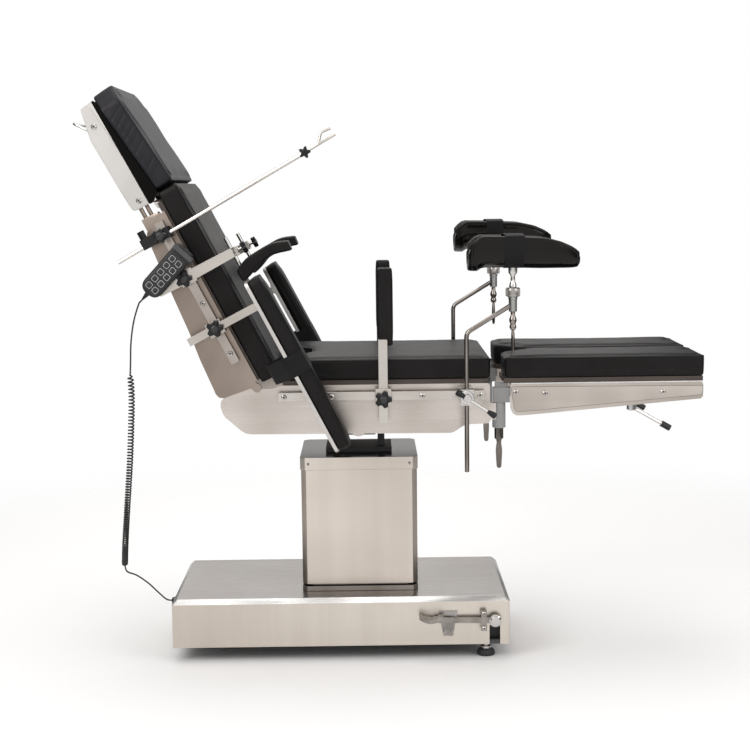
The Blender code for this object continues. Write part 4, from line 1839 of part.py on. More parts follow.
def build_shoulder(name, side):
    """One shoulder support."""
    turn = BACK_WORLD @ Matrix.Translation((-SHOULDER_ALONG, side * SHOULDER_TURN_Y, SHOULDER_ROD_UP))
    turn_pivot = pivot(f"shoulder_pad_pivot_{name}", turn, back_pivot)
    node(f"shoulder_bar_{name}", shoulder_bar(side), POLISHED, back_pivot, BACK_WORLD)
    node(f"shoulder_pad_{name}", shoulder_pad(side), LEATHER, turn_pivot, BACK_WORLD)


def build_screen():
    """Anaesthesia screen support."""
    low, high = screen_axis()
    rod_pivot = pivot("screen_rod_pivot", BACK_WORLD @ Matrix.Translation(low.lerp(high, 0.25)), back_pivot)
    arm_pivot = pivot("screen_arm_pivot", BACK_WORLD @ Matrix.Translation(high), rod_pivot)
    node("screen_clamp", screen_clamp(), PLASTIC, back_pivot, BACK_WORLD)
    node("screen_rod", screen_rod(), POLISHED, rod_pivot, BACK_WORLD)
    node("screen_arm", screen_arm(), POLISHED, arm_pivot, BACK_WORLD)


def build_hand_control():
    """Hand control and its cord."""
    node("handset", handset(), PLASTIC, back_pivot)
    node("handset_keypad", handset_keypad(), SILICONE, back_pivot)
    cord_curve("cord_lead", lead_points(), 2, back_pivot)
    coil = coil_points()
    cord_curve("cord_coil", coil, 1, back_pivot)
    cord_curve("cord_tail", tail_points(), 2, root_pivot)
    print(f"least gap between the curls: {least_self_gap(coil) * 1000:.2f} mm")


build_root()
build_column()
build_seat()
build_back()
build_head()
for side_name, side_sign in SIDES.items():
    build_leg(side_name, side_sign)
    build_leg_holder(side_name, side_sign)
    build_hip_support(side_name, side_sign)
    build_arm(side_name, side_sign)
    build_shoulder(side_name, side_sign)
build_screen()
build_hand_control()
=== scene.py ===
import json
from math import ceil, cos, pi, radians, sin

import bmesh
import bpy
from mathutils import Matrix, Vector
from mathutils.bvhtree import BVHTree

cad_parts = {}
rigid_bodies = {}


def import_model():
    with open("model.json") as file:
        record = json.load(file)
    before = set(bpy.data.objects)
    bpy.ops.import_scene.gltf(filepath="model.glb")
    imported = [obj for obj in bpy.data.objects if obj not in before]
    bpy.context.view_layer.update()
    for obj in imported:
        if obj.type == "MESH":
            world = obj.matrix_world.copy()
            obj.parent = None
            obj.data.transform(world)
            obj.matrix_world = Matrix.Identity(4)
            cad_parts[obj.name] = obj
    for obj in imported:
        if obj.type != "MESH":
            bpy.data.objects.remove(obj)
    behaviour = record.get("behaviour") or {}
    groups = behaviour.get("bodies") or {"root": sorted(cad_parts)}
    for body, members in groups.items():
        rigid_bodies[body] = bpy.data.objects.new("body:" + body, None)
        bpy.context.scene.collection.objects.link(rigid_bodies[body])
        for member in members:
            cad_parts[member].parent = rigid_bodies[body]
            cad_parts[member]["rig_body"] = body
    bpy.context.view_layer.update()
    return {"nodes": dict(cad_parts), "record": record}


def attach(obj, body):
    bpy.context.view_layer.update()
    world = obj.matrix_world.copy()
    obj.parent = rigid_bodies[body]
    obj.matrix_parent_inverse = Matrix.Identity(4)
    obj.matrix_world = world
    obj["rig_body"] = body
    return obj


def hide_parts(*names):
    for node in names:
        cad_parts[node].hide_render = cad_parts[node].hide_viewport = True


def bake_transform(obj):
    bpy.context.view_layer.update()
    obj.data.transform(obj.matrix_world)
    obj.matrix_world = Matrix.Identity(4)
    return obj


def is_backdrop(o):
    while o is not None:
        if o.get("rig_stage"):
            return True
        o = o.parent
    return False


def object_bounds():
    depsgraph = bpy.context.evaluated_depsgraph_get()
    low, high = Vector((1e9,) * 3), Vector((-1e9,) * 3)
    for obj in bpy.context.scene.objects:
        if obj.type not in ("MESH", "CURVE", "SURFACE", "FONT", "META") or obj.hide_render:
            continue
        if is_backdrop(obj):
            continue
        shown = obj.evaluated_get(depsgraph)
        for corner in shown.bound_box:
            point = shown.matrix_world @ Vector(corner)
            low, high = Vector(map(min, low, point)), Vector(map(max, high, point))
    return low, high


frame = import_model()
scene = bpy.context.scene


# Studio: a long lens looks slightly down on the near side, as the photograph does.
# A white floor fades into a white surround, and large soft lamps light the table
# from the left, the right, above and behind.

def feed(tree, node, inputs):
    """Values and links for a node's inputs."""
    for key, value in inputs.items():
        if isinstance(value, bpy.types.NodeSocket):
            tree.links.new(value, node.inputs[key])
        else:
            node.inputs[key].default_value = value
    return node


def put(tree, kind, inputs=None, **settings):
    """New shader or geometry node with its settings, values and links."""
    node = tree.nodes.new(kind)
    for key, value in settings.items():
        setattr(node, key, value)
    return feed(tree, node, inputs or {})


def maths(tree, operation, *values, **settings):
    """Result of a math node on values and sockets."""
    return put(tree, "ShaderNodeMath", dict(enumerate(values)), operation=operation, **settings).outputs[0]


def faded(tree, value, start, end, low, high):
    """Value that runs softly from low at its start to high at its end."""
    return put(tree, "ShaderNodeMapRange", {"Value": value, "From Min": start, "From Max": end, "To Min": low,
                                            "To Max": high}, interpolation_type="SMOOTHSTEP").outputs["Result"]


CAMERA_PLACE = (-0.0587, -4.49, 1.326)
CAMERA_DOWN = radians(6.9)
CAMERA_YAW = radians(-0.26)
CAMERA_ROLL = radians(-0.7)
CAMERA_LENS = 74.26
FLOOR_RADIUS = 3.4
FLOOR_FADE = 1.5
FLOOR_WHITE = (0.94, 0.94, 0.94, 1.0)
SURROUND_LIGHT = 0.55
SURROUND_TINT = (1.0, 0.98, 0.965, 1.0)
SIDE_FLAG, SIDE_FLAG_SPAN = 0.22, (0.42, 0.86)
FAR_FLAG, FAR_FLAG_SPAN = 0.20, (0.15, 0.95)
LAMPS = (
    ("lamp_left", (-2.6, -2.8, 2.9), 2.2, 70.0, (1.0, 0.985, 0.965)),
    ("lamp_right", (2.9, -2.2, 2.3), 2.4, 40.0, (1.0, 0.99, 0.98)),
    ("lamp_above", (-0.2, 0.4, 3.6), 2.8, 52.0, (1.0, 1.0, 1.0)),
    ("lamp_behind", (-0.15, 3.2, 2.5), 3.3, 26.0, (1.0, 0.98, 0.96)))
LAMP_AIM = Vector((0.0, 0.0, 0.75))

camera = bpy.data.objects.new("camera", bpy.data.cameras.new("camera"))
camera.data.lens = CAMERA_LENS
camera.data.sensor_width = 36.0
camera.matrix_world = (Matrix.Translation(CAMERA_PLACE) @ Matrix.Rotation(CAMERA_YAW, 4, "Z")
                       @ Matrix.Rotation(pi / 2 - CAMERA_DOWN, 4, "X") @ Matrix.Rotation(CAMERA_ROLL, 4, "Z"))
scene.collection.objects.link(camera)
scene.camera = camera
scene.view_settings.view_transform = "Standard"

for label, place, size, power, colour in LAMPS:
    lamp = bpy.data.objects.new(label, bpy.data.lights.new(label, "AREA"))
    lamp.data.size = size
    lamp.data.energy = power
    lamp.data.color = colour
    lamp.matrix_world = (Matrix.Translation(place)
                         @ (LAMP_AIM - Vector(place)).to_track_quat("-Z", "Y").to_matrix().to_4x4())
    scene.collection.objects.link(lamp)

surround = bpy.data.worlds.new("surround")
surround.use_nodes = True
sky = surround.node_tree
sky.nodes.clear()
rays = put(sky, "ShaderNodeLightPath")
glossy = rays.outputs["Is Glossy Ray"]
seen = maths(sky, "ADD", rays.outputs["Is Camera Ray"], glossy)
seen = maths(sky, "ADD", seen, rays.outputs["Is Transmission Ray"], use_clamp=True)
heading = put(sky, "ShaderNodeTexCoord")
parts = put(sky, "ShaderNodeSeparateXYZ", {0: heading.outputs["Generated"]})
side_flag = faded(sky, maths(sky, "ABSOLUTE", parts.outputs["X"]), *SIDE_FLAG_SPAN, 1.0, SIDE_FLAG)
far_flag = faded(sky, parts.outputs["Y"], *FAR_FLAG_SPAN, 1.0, FAR_FLAG)
shine = maths(sky, "MULTIPLY", glossy, maths(sky, "MULTIPLY", side_flag, far_flag))
level = maths(sky, "ADD", shine, maths(sky, "SUBTRACT", 1.0, glossy))
soft = put(sky, "ShaderNodeBackground", {"Color": SURROUND_TINT, "Strength": SURROUND_LIGHT})
white = put(sky, "ShaderNodeBackground", {"Color": (1, 1, 1, 1), "Strength": level})
both = put(sky, "ShaderNodeMixShader", {0: seen, 1: soft.outputs[0], 2: white.outputs[0]})
put(sky, "ShaderNodeOutputWorld", {"Surface": both.outputs[0]})
scene.world = surround

form = bmesh.new()
bmesh.ops.create_circle(form, cap_ends=True, radius=FLOOR_RADIUS, segments=96)
data = bpy.data.meshes.new("floor")
form.to_mesh(data)
form.free()
floor = bpy.data.objects.new("floor", data)
scene.collection.objects.link(floor)
paint = bpy.data.materials.new("pale_floor")
paint.use_nodes = True
tree = paint.node_tree
spot = put(tree, "ShaderNodeTexCoord")
far = put(tree, "ShaderNodeVectorMath", {0: spot.outputs["Object"]}, operation="LENGTH")
feed(tree, tree.nodes["Principled BSDF"], {
    "Base Color": FLOOR_WHITE, "Roughness": 0.9, "Specular IOR Level": 0.0,
    "Alpha": faded(tree, far.outputs["Value"], FLOOR_FADE, FLOOR_RADIUS * 0.95, 1.0, 0.0)})
data.materials.append(paint)
floor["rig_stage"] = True


# Hand control cord: round black cable, extruded over copper cores. It leaves the hand
# control as a straight lead, runs into a curly stretch wound on a rod and heated, and
# ends as a tail in the base's cable gland. The curls are made as four lengths, cut at the
# table's joints.

def mixed(tree, factor, first, second):
    """Colour between two colours."""
    return put(tree, "ShaderNodeMix", {0: factor, 6: first, 7: second}, data_type="RGBA").outputs[2]


def ranged(tree, value, low, high):
    """A mask's 0 to 1 set to run from low to high."""
    return put(tree, "ShaderNodeMapRange", {"Value": value, "To Min": low, "To Max": high}).outputs["Result"]


def effect_group(name, inputs, outputs):
    """Shader node group with named inputs and outputs, and its two end nodes."""
    tree = bpy.data.node_groups.new(name, "ShaderNodeTree")
    for label, kind, value in inputs:
        socket = tree.interface.new_socket(name=label, in_out="INPUT", socket_type=kind)
        socket.default_value = value
    for label, kind in outputs:
        tree.interface.new_socket(name=label, in_out="OUTPUT", socket_type=kind)
    return tree, put(tree, "NodeGroupInput"), put(tree, "NodeGroupOutput")


def grained(name, group, sizes):
    """New material with its tree, its shader and a grain group set to its sizes."""
    look = bpy.data.materials.new(name)
    look.use_nodes = True
    tree = look.node_tree
    return look, tree, tree.nodes["Principled BSDF"], put(tree, "ShaderNodeGroup", sizes, node_tree=group)


def surfaced(tree, shader, colour, wear, height, relief, strength, **shine):
    """Colour, roughness and relief of a finish, and the plain values of its shine."""
    bump = put(tree, "ShaderNodeBump", {"Strength": strength, "Distance": relief, "Height": height})
    feed(tree, shader, {"Base Color": colour, "Roughness": wear, "Normal": bump.outputs["Normal"],
                        **{key.replace("_", " "): value for key, value in shine.items()}})


FLOAT, VECTOR = "NodeSocketFloat", "NodeSocketVector"
speckle, speckle_in, speckle_out = effect_group(
    "fine_moulding", [("Size", FLOAT, 900.0), ("Patch Size", FLOAT, 9.0)], [("Tone", FLOAT), ("Height", FLOAT)])
spot = put(speckle, "ShaderNodeTexCoord")
fine = put(speckle, "ShaderNodeTexNoise", {"Vector": spot.outputs["Object"], "Scale": speckle_in.outputs["Size"],
                                           "Detail": 3.0})
patch = put(speckle, "ShaderNodeTexNoise", {"Vector": spot.outputs["Object"],
                                            "Scale": speckle_in.outputs["Patch Size"], "Detail": 4.0})
feed(speckle, speckle_out, {"Tone": patch.outputs["Fac"], "Height": fine.outputs["Fac"]})


def moulded(name, dark, light, roughness, size=900.0, relief=0.00008, metallic=0.0, gloss=0.5):
    """Moulded or painted finish: faint patches over a fine even texture."""
    look, tree, shader, grain = grained(name, speckle, {"Size": size})
    tone = grain.outputs["Tone"]
    surfaced(tree, shader, mixed(tree, ranged(tree, tone, -0.3, 1.3), (*dark, 1.0), (*light, 1.0)),
             ranged(tree, tone, *roughness), grain.outputs["Height"], relief, 0.5, Metallic=metallic,
             Specular_IOR_Level=gloss)
    return look


def skin(form, loops, closed=False):
    """Skin through loops of as many points each, capped at both ends or closed on itself."""
    rows = [[form.verts.new(point) for point in loop] for loop in loops]
    pairs = list(zip(rows, rows[1:]))
    if closed:
        pairs.append((rows[-1], rows[0]))
    count = len(rows[0])
    for lower, upper in pairs:
        for index in range(count):
            after = (index + 1) % count
            form.faces.new((lower[index], lower[after], upper[after], upper[index]))
    if not closed:
        form.faces.new(list(reversed(rows[0])))
        form.faces.new(rows[-1])


def circle(count):
    """Even turns round a full circle."""
    return [2 * pi * step / count for step in range(count)]


def bar(form, path, radius, sides=20, ends=None):
    """Round bar along a path; ends gives radius shares at its points."""
    path = [Vector(point) for point in path]
    side = (path[1] - path[0]).orthogonal().normalized()
    loops = []
    for index, point in enumerate(path):
        ahead = path[min(index + 1, len(path) - 1)]
        heading = (ahead - path[max(index - 1, 0)]).normalized()
        side = (side - heading * side.dot(heading)).normalized()
        other = heading.cross(side)
        size = radius * (ends[index] if ends else 1.0)
        loops.append([point + (side * cos(turn) + other * sin(turn)) * size for turn in circle(sides)])
    skin(form, loops)


SHARP_ANGLE = radians(38)


def made(name, form, look):
    """Object of a finished mesh at the origin, with its faces pointing outward."""
    bmesh.ops.recalc_face_normals(form, faces=form.faces)
    data = bpy.data.meshes.new(name)
    form.to_mesh(data)
    form.free()
    data.materials.append(look)
    data.polygons.foreach_set("use_smooth", [True] * len(data.polygons))
    data.set_sharp_from_angle(angle=SHARP_ANGLE)
    piece = bpy.data.objects.new(name, data)
    scene.collection.objects.link(piece)
    return piece


def fitted(piece, body, slot, *nodes):
    """The piece rides on its body and stands for its CAD nodes, which are hidden; its slot is not used."""
    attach(piece, body)
    if nodes:
        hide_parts(*nodes)
    return piece


CORD_RADIUS = 0.0022
HANDSET_CENTRE = (-0.594, 0.0, 1.110)
HANDSET_ANGLE = radians(47.5)
HANDSET_LENGTH = 0.160
HANDSET_BACK = 0.325
HANDSET_THICK = 0.028
RELIEF_LENGTH = 0.020
LEAD_ROUTE = ((-0.673, -0.336, 1.022), (-0.688, -0.334, 0.975), (-0.697, -0.332, 0.920),
              (-0.700, -0.330, 0.870))
COIL_TOP = (-0.702, -0.330, 0.833)
COIL_ROUTE = ((-0.7005, -0.329, 0.763), (-0.7100, -0.316, 0.625), (-0.7197, -0.300, 0.534),
              (-0.7310, -0.279, 0.4405), (-0.7430, -0.248, 0.348))
COIL_BOTTOM = (-0.7530, -0.208, 0.275)
TAIL_ROUTE = ((-0.7500, -0.188, 0.252), (-0.7250, -0.168, 0.235), (-0.6950, -0.152, 0.207),
              (-0.6680, -0.141, 0.176), (-0.6480, -0.1355, 0.1560))
GLAND = (-0.6323, -0.135, 0.152)
COIL_RADIUS = 0.0070
CURLS = 72
CURL_POINTS = 14
COIL_TIGHTEN = 0.25
CABLE_SIDES = 10
COIL_CUTS = (("back", "seat", 0.0, 0.27), ("seat", "cradle", 0.27, 0.53),
             ("cradle", "lift", 0.53, 0.79), ("lift", "root", 0.79, 1.0))

HANDSET = Matrix.Translation(HANDSET_CENTRE) @ Matrix.Rotation(-HANDSET_ANGLE, 4, "Y")


def smooth_route(points, per_span):
    """Points on a smooth curve through the route's own points."""
    places = [Vector(point) for point in points]
    places = [2 * places[0] - places[1]] + places + [2 * places[-1] - places[-2]]
    path = []
    for index in range(1, len(places) - 2):
        a, b, c, d = places[index - 1:index + 3]
        for step in range(per_span):
            t = step / per_span
            bend = (2 * a - 5 * b + 4 * c - d) * t ** 2 + (3 * b - 3 * c + d - a) * t ** 3
            path.append(0.5 * (2 * b + (c - a) * t + bend))
    path.append(places[-2])
    return path


def run_length(path):
    """Length of a path in metres."""
    return sum((after - before).length for before, after in zip(path, path[1:]))


def even_route(path, step):
    """The path's points set at an even step."""
    lengths = [0.0]
    for before, after in zip(path, path[1:]):
        lengths.append(lengths[-1] + (after - before).length)
    count = max(2, ceil(lengths[-1] / step))
    points, index = [], 0
    for number in range(count + 1):
        target = lengths[-1] * number / count
        while index < len(path) - 2 and lengths[index + 1] < target:
            index += 1
        share = (target - lengths[index]) / (lengths[index + 1] - lengths[index])
        points.append(path[index].lerp(path[index + 1], share))
    return points


def curls(axis, turns, per_turn):
    """Helix about the axis, tighter toward its bottom, that starts and ends on the axis."""
    axis = even_route(axis, run_length(axis) / (turns * per_turn))
    side = (axis[1] - axis[0]).orthogonal().normalized()
    points = []
    last = len(axis) - 1
    for index in range(len(axis)):
        share = index / last
        eased = share + COIL_TIGHTEN * share * (1 - share)
        place = eased * last
        low = min(int(place), last - 1)
        point = axis[low].lerp(axis[low + 1], place - low)
        heading = (axis[low + 1] - axis[max(low - 1, 0)]).normalized()
        side = (side - heading * side.dot(heading)).normalized()
        other = heading.cross(side)
        turn = 2 * pi * turns * share
        reach = COIL_RADIUS * min(1.0, turns * share, turns * (1 - share))
        points.append(point + (side * cos(turn) + other * sin(turn)) * reach)
    return points


CABLE = moulded("cable_sheath", (0.010, 0.010, 0.011), (0.020, 0.020, 0.022), (0.34, 0.5), size=600.0)


def cable(name, path):
    """Length of round cable along a path."""
    form = bmesh.new()
    bar(form, path, CORD_RADIUS, CABLE_SIDES)
    return made(name, form, CABLE)


tip = HANDSET @ Vector((-HANDSET_LENGTH / 2 - RELIEF_LENGTH, -(HANDSET_BACK + HANDSET_THICK / 2), 0))
heading = (HANDSET.to_3x3() @ Vector((-1, 0, 0))).normalized()
lead_path = [tip] + smooth_route([tip + heading * 0.006, *LEAD_ROUTE, COIL_TOP], 10)
coil_path = curls(smooth_route([COIL_TOP, *COIL_ROUTE, COIL_BOTTOM], 12), CURLS, CURL_POINTS)
tail_path = smooth_route([COIL_BOTTOM, *TAIL_ROUTE, GLAND], 10)

lead = fitted(cable("cord_lead_cable", lead_path), "back", "cable_black", "cord_lead")

last_point = len(coil_path) - 1
for upper, lower, start, end in COIL_CUTS:
    stretch = coil_path[round(start * last_point):round(end * last_point) + 1]
    piece = cable(f"cord_curls_{upper}_{lower}", stretch)
    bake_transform(piece)
    if upper == "back":
        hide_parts("cord_coil")

tail = fitted(cable("cord_tail_cable", tail_path), "root", "cable_black", "cord_tail")


# Base: a cover folded from satin stainless sheet over a cast and welded chassis. The
# cover's long edges are folded twice into a bevel round its top. The bevel faces are
# coloured near-white as a painted highlight, and the top face is a darker copy of the
# stainless as painted shade. The chassis stands on two screwed feet at the foot end and
# two small rollers at the head end.

brush, brush_in, brush_out = effect_group(
    "brushed_grain", [("Stretch", VECTOR, (6.0, 6.0, 700.0)), ("Turn", FLOAT, 0.0), ("Band Size", FLOAT, 3.0)],
    [("Streak", FLOAT), ("Band", FLOAT), ("Height", FLOAT)])
spot = put(brush, "ShaderNodeTexCoord")
turned_spot = put(brush, "ShaderNodeVectorRotate", {"Vector": spot.outputs["Object"],
                                                    "Angle": brush_in.outputs["Turn"]}, rotation_type="Y_AXIS")
streaks = put(brush, "ShaderNodeVectorMath", {0: turned_spot.outputs[0], 1: brush_in.outputs["Stretch"]},
              operation="MULTIPLY")
fine = put(brush, "ShaderNodeTexNoise", {"Vector": streaks.outputs[0], "Scale": 1.0, "Detail": 3.0,
                                         "Roughness": 0.6})
wide_spot = put(brush, "ShaderNodeVectorMath", {0: streaks.outputs[0], "Scale": 0.02}, operation="SCALE")
wide = put(brush, "ShaderNodeTexNoise", {"Vector": wide_spot.outputs[0], "Scale": 1.0, "Detail": 2.0})
cloud = put(brush, "ShaderNodeTexNoise", {"Vector": turned_spot.outputs[0], "Scale": brush_in.outputs["Band Size"],
                                          "Detail": 2.0}).outputs["Fac"]
feed(brush, brush_out, {"Streak": fine.outputs["Fac"], "Height": fine.outputs["Fac"],
                        "Band": maths(brush, "MULTIPLY_ADD", wide.outputs["Fac"], cloud, cloud)})


def stainless(name, dark, light, stretch, turn=0.0, roughness=(0.26, 0.40), band_size=2.2, relief=0.00004):
    """Brushed stainless sheet or bar: fine streaks over broad soft bands of tone."""
    look, tree, shader, grain = grained(name, brush, {"Stretch": stretch, "Turn": turn, "Band Size": band_size})
    base = mixed(tree, ranged(tree, grain.outputs["Band"], -0.55, 1.15), (*dark, 1.0), (*light, 1.0))
    streak = grain.outputs["Streak"]
    surfaced(tree, shader,
             mixed(tree, ranged(tree, streak, 0.0, 0.22), base, (*[share * 0.72 for share in dark], 1.0)),
             ranged(tree, streak, *roughness), grain.outputs["Height"], relief, 0.35, Metallic=1.0)
    return look


SLOT_OF = {part["node"]: part["material_slot"] for part in frame["record"]["subparts"]}
MERGE = 2e-6
FLAT_ANGLE = radians(0.6)


def dressed(node, look, edge, name):
    """The form of a CAD node with its triangles joined, its edges eased and its own finish."""
    source = frame["nodes"][node]
    form = bmesh.new()
    form.from_mesh(source.data)
    bmesh.ops.remove_doubles(form, verts=form.verts, dist=MERGE)
    bmesh.ops.dissolve_limit(form, angle_limit=FLAT_ANGLE, verts=form.verts, edges=form.edges)
    piece = made(name, form, look)
    if edge:
        ease(piece, edge)
    return fitted(piece, source["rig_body"], SLOT_OF[node], node)


def split_look(piece, look, chosen):
    """One more finish, on the faces that the test picks by their centre and normal."""
    piece.data.materials.append(look)
    number = len(piece.data.materials) - 1
    for face in piece.data.polygons:
        if chosen(face.center, face.normal):
            face.material_index = number


def ease(piece, edge, segments=2):
    """Rounded edges with flat faces kept flat."""
    bevel = piece.modifiers.new("eased_edges", "BEVEL")
    bevel.width = edge
    bevel.segments = segments
    bevel.limit_method = "ANGLE"
    bevel.angle_limit = SHARP_ANGLE
    bevel.harden_normals = True


def on_axis(pair, along, axis):
    """Point of two drawn coordinates at a place along an axis."""
    point = list(pair)
    point.insert("XYZ".index(axis), along)
    return Vector(point)


def turned(form, profile, centre, axis, sides=32):
    """Turned solid from (radius, place along the axis) pairs."""
    skin(form, [[on_axis((centre[0] + radius * cos(turn), centre[1] + radius * sin(turn)), along, axis)
                 for turn in circle(sides)] for radius, along in profile])


def slab(form, outline, axis, low, high):
    """Outline of two drawn coordinates extruded between two places on an axis."""
    skin(form, [[on_axis(pair, along, axis) for pair in outline] for along in (low, high)])


def bend(start, corner, end, t):
    """Point at a share of the even bend round a corner."""
    return start * (1 - t) ** 2 + corner * (2 * t * (1 - t)) + end * t ** 2


def rounded(outline, radii, steps=5):
    """Outline with each corner replaced by an even bend."""
    points = []
    for index, corner in enumerate(outline):
        corner = Vector(corner)
        before = Vector(outline[index - 1]) - corner
        after = Vector(outline[(index + 1) % len(outline)]) - corner
        radius = radii[index] if isinstance(radii, (list, tuple)) else radii
        reach = min(radius, before.length * 0.48, after.length * 0.48)
        start = corner + before.normalized() * reach
        end = corner + after.normalized() * reach
        points.extend(tuple(bend(start, corner, end, step / steps)) for step in range(steps + 1))
    return points


def outward_of(outline):
    """Unit vectors that point out of an outline at its points."""
    count = len(outline)
    area = sum(outline[i][0] * outline[(i + 1) % count][1] - outline[(i + 1) % count][0] * outline[i][1]
               for i in range(count))
    turn = 1.0 if area > 0 else -1.0
    ways = []
    for index in range(count):
        run = Vector(outline[(index + 1) % count]) - Vector(outline[index - 1])
        ways.append(Vector((run.y, -run.x)).normalized() * turn)
    return ways


def inward(outline, amount):
    """Outline drawn in by an amount."""
    return [tuple(Vector(point) - way * amount) for point, way in zip(outline, outward_of(outline))]


def placed(piece, world):
    """The mesh set at its place while its object stays at the origin."""
    piece.data.transform(world)
    return piece


def shaped(name, look, shapes):
    """Mesh of (drawing function, its values) entries."""
    form = bmesh.new()
    for draw, *values in shapes:
        draw(form, *values)
    return made(name, form, look)


def part(name, look, body, slot, shapes, nodes=(), world=None, edge=0.0, segments=2):
    """Drawn piece: its edges eased, set in place and fitted to its body."""
    piece = shaped(name, look, shapes)
    if edge:
        ease(piece, edge, segments)
    if world is not None:
        placed(piece, world)
    return fitted(piece, body, slot, *nodes)


STEEL_BASE = stainless("base_stainless", (0.54, 0.485, 0.43), (0.70, 0.645, 0.58), (900.0, 900.0, 7.0), band_size=1.3)
STEEL_COLUMN = stainless("column_stainless", (0.56, 0.50, 0.445), (0.74, 0.68, 0.62), (900.0, 900.0, 6.0),
                         band_size=2.4, roughness=(0.24, 0.36))
CAST_DARK = moulded("cast_primer", (0.030, 0.030, 0.032), (0.060, 0.060, 0.062), (0.5, 0.7), size=260.0,
                    relief=0.0004)
RUBBER = moulded("foot_rubber", (0.012, 0.012, 0.012), (0.028, 0.028, 0.028), (0.55, 0.7), size=500.0)
CHROME = moulded("bright_chrome", (0.50, 0.48, 0.46), (0.66, 0.64, 0.62), (0.06, 0.12), size=60.0,
                 relief=0.00001, metallic=1.0)
SCREW_STEEL = moulded("screw_steel", (0.40, 0.375, 0.35), (0.58, 0.55, 0.52), (0.16, 0.28), size=500.0,
                      relief=0.00002, metallic=1.0)

# Painted shade: a darker copy of the stainless for the cover's top face.
STEEL_TOP_SHADED = stainless("base_top_shaded_stainless", (0.47, 0.44, 0.42), (0.64, 0.605, 0.58), (7.0, 500.0, 900.0),
                      roughness=(0.2, 0.32), band_size=2.0)
BRACKET_STEEL = stainless("bracket_plated", (0.24, 0.225, 0.21), (0.38, 0.36, 0.34), (60.0, 60.0, 60.0),
                          roughness=(0.3, 0.42), band_size=30.0)
# Painted highlight: the bevel faces round the cover's top are coloured near-white.
BASE_BEVEL_HIGHLIGHT = moulded("base_bevel_painted_highlight", (0.80, 0.785, 0.77), (0.88, 0.865, 0.85), (0.2, 0.3), size=200.0, relief=0.00001,
                    metallic=1.0)
base_form = dressed("base_cover", STEEL_BASE, 0.0010, "base_cover_sheet")
split_look(base_form, STEEL_TOP_SHADED, lambda centre, normal: centre.z > 0.1795 and normal.z > 0.9)
split_look(base_form, BASE_BEVEL_HIGHLIGHT, lambda centre, normal: centre.z > 0.150 and 0.2 < normal.z < 0.9)
split_look(base_form, BRACKET_STEEL, lambda centre, normal: centre.y < -0.2452)
dressed("base_chassis", CAST_DARK, 0.0010, "base_chassis_casting")

FOOT_PLACES = ((0.268, -0.200), (0.268, 0.200))
FOOT_PAD = ((0.0203, 0.0002), (0.0242, 0.0012), (0.0256, 0.0040), (0.0256, 0.0088), (0.0246, 0.0112),
            (0.0225, 0.0124))
FOOT_CONE = ((0.0205, 0.0122), (0.0198, 0.0150), (0.0168, 0.0195), (0.0150, 0.0236), (0.0148, 0.0262),
             (0.0082, 0.0268))
FOOT_STEM = ((0.0074, 0.0262), (0.0074, 0.0436))
FOOT_NUT = ((0.0115, 0.0330), (0.0128, 0.0340), (0.0128, 0.0405), (0.0115, 0.0415))
ROLLER_PLACES = ((-0.540, -0.070), (-0.540, 0.070))
ROLLER_RADIUS = 0.0204
TYRE = ((0.0175, -0.0108), (ROLLER_RADIUS - 0.001, -0.0102), (ROLLER_RADIUS, -0.0088), (ROLLER_RADIUS, 0.0088),
        (ROLLER_RADIUS - 0.001, 0.0102), (0.0175, 0.0108))
GLAND_END = -0.620
GLAND_SHAPE = ((0.0112, 0.001), (0.0112, -0.0030), (0.0100, -0.0042), (0.0094, -0.0086), (0.0070, -0.0118),
               (0.0034, -0.0122))


def moved(profile, along):
    """Turned profile set further along its axis."""
    return [(radius, along + place) for radius, place in profile]


part("foot_pads", RUBBER, "root", "cast_iron", [(turned, FOOT_PAD, place, "Z", 48) for place in FOOT_PLACES])
part("foot_screws", SCREW_STEEL, "root", "cast_iron",
     [(turned, shape, place, "Z", sides) for place in FOOT_PLACES
      for shape, sides in ((FOOT_CONE, 48), (FOOT_STEM, 32), (FOOT_NUT, 6))])
part("roller_tyres", RUBBER, "root", "cast_iron",
     [(turned, moved(TYRE, y), (x, ROLLER_RADIUS), "Y", 48) for x, y in ROLLER_PLACES])
part("cable_gland", CABLE, "root", "cable_black", [(turned, moved(GLAND_SHAPE, GLAND_END), (-0.135, 0.152), "X", 24)])


# Screws and bolts: domed stainless heads with a hexagon socket, one mesh on each body.
# Geometry nodes set one turned head on every point of a small mesh that holds the places.

HEAD_SIDES = 24
CROWN_SHARE, KEY_SHARE, KEY_RISE = 0.62, 0.42, 1.03
GEOMETRY, MATERIAL = "NodeSocketGeometry", "NodeSocketMaterial"


def settle(piece):
    """The piece's mesh as its modifiers make it, with no modifier left."""
    result = bpy.data.meshes.new_from_object(piece.evaluated_get(bpy.context.evaluated_depsgraph_get()))
    piece.modifiers.clear()
    piece.data = result


def grow_tree(name, inputs, result):
    """Geometry node tree, its group input and the identifiers of its inputs."""
    tree = bpy.data.node_groups.new(name, "GeometryNodeTree")
    sockets = {label: tree.interface.new_socket(name=label, in_out="INPUT", socket_type=kind).identifier
               for label, kind in inputs}
    tree.interface.new_socket(name=result, in_out="OUTPUT", socket_type=GEOMETRY)
    return tree, put(tree, "NodeGroupInput"), sockets


def lifted(tree, shape, rise):
    """Mesh moved up by a rise."""
    place = put(tree, "ShaderNodeCombineXYZ", {"Z": rise})
    return put(tree, "GeometryNodeTransform", {"Geometry": shape.outputs["Mesh"],
                                               "Translation": place.outputs[0]}).outputs[0]


def joined(tree, *shapes):
    """Geometries joined in their order."""
    node = put(tree, "GeometryNodeJoinGeometry")
    for shape in shapes:
        tree.links.new(shape, node.inputs[0])
    return node.outputs[0]


def painted(tree, shape, look):
    """Geometry with its finish."""
    return put(tree, "GeometryNodeSetMaterial", {"Geometry": shape, "Material": look}).outputs[0]


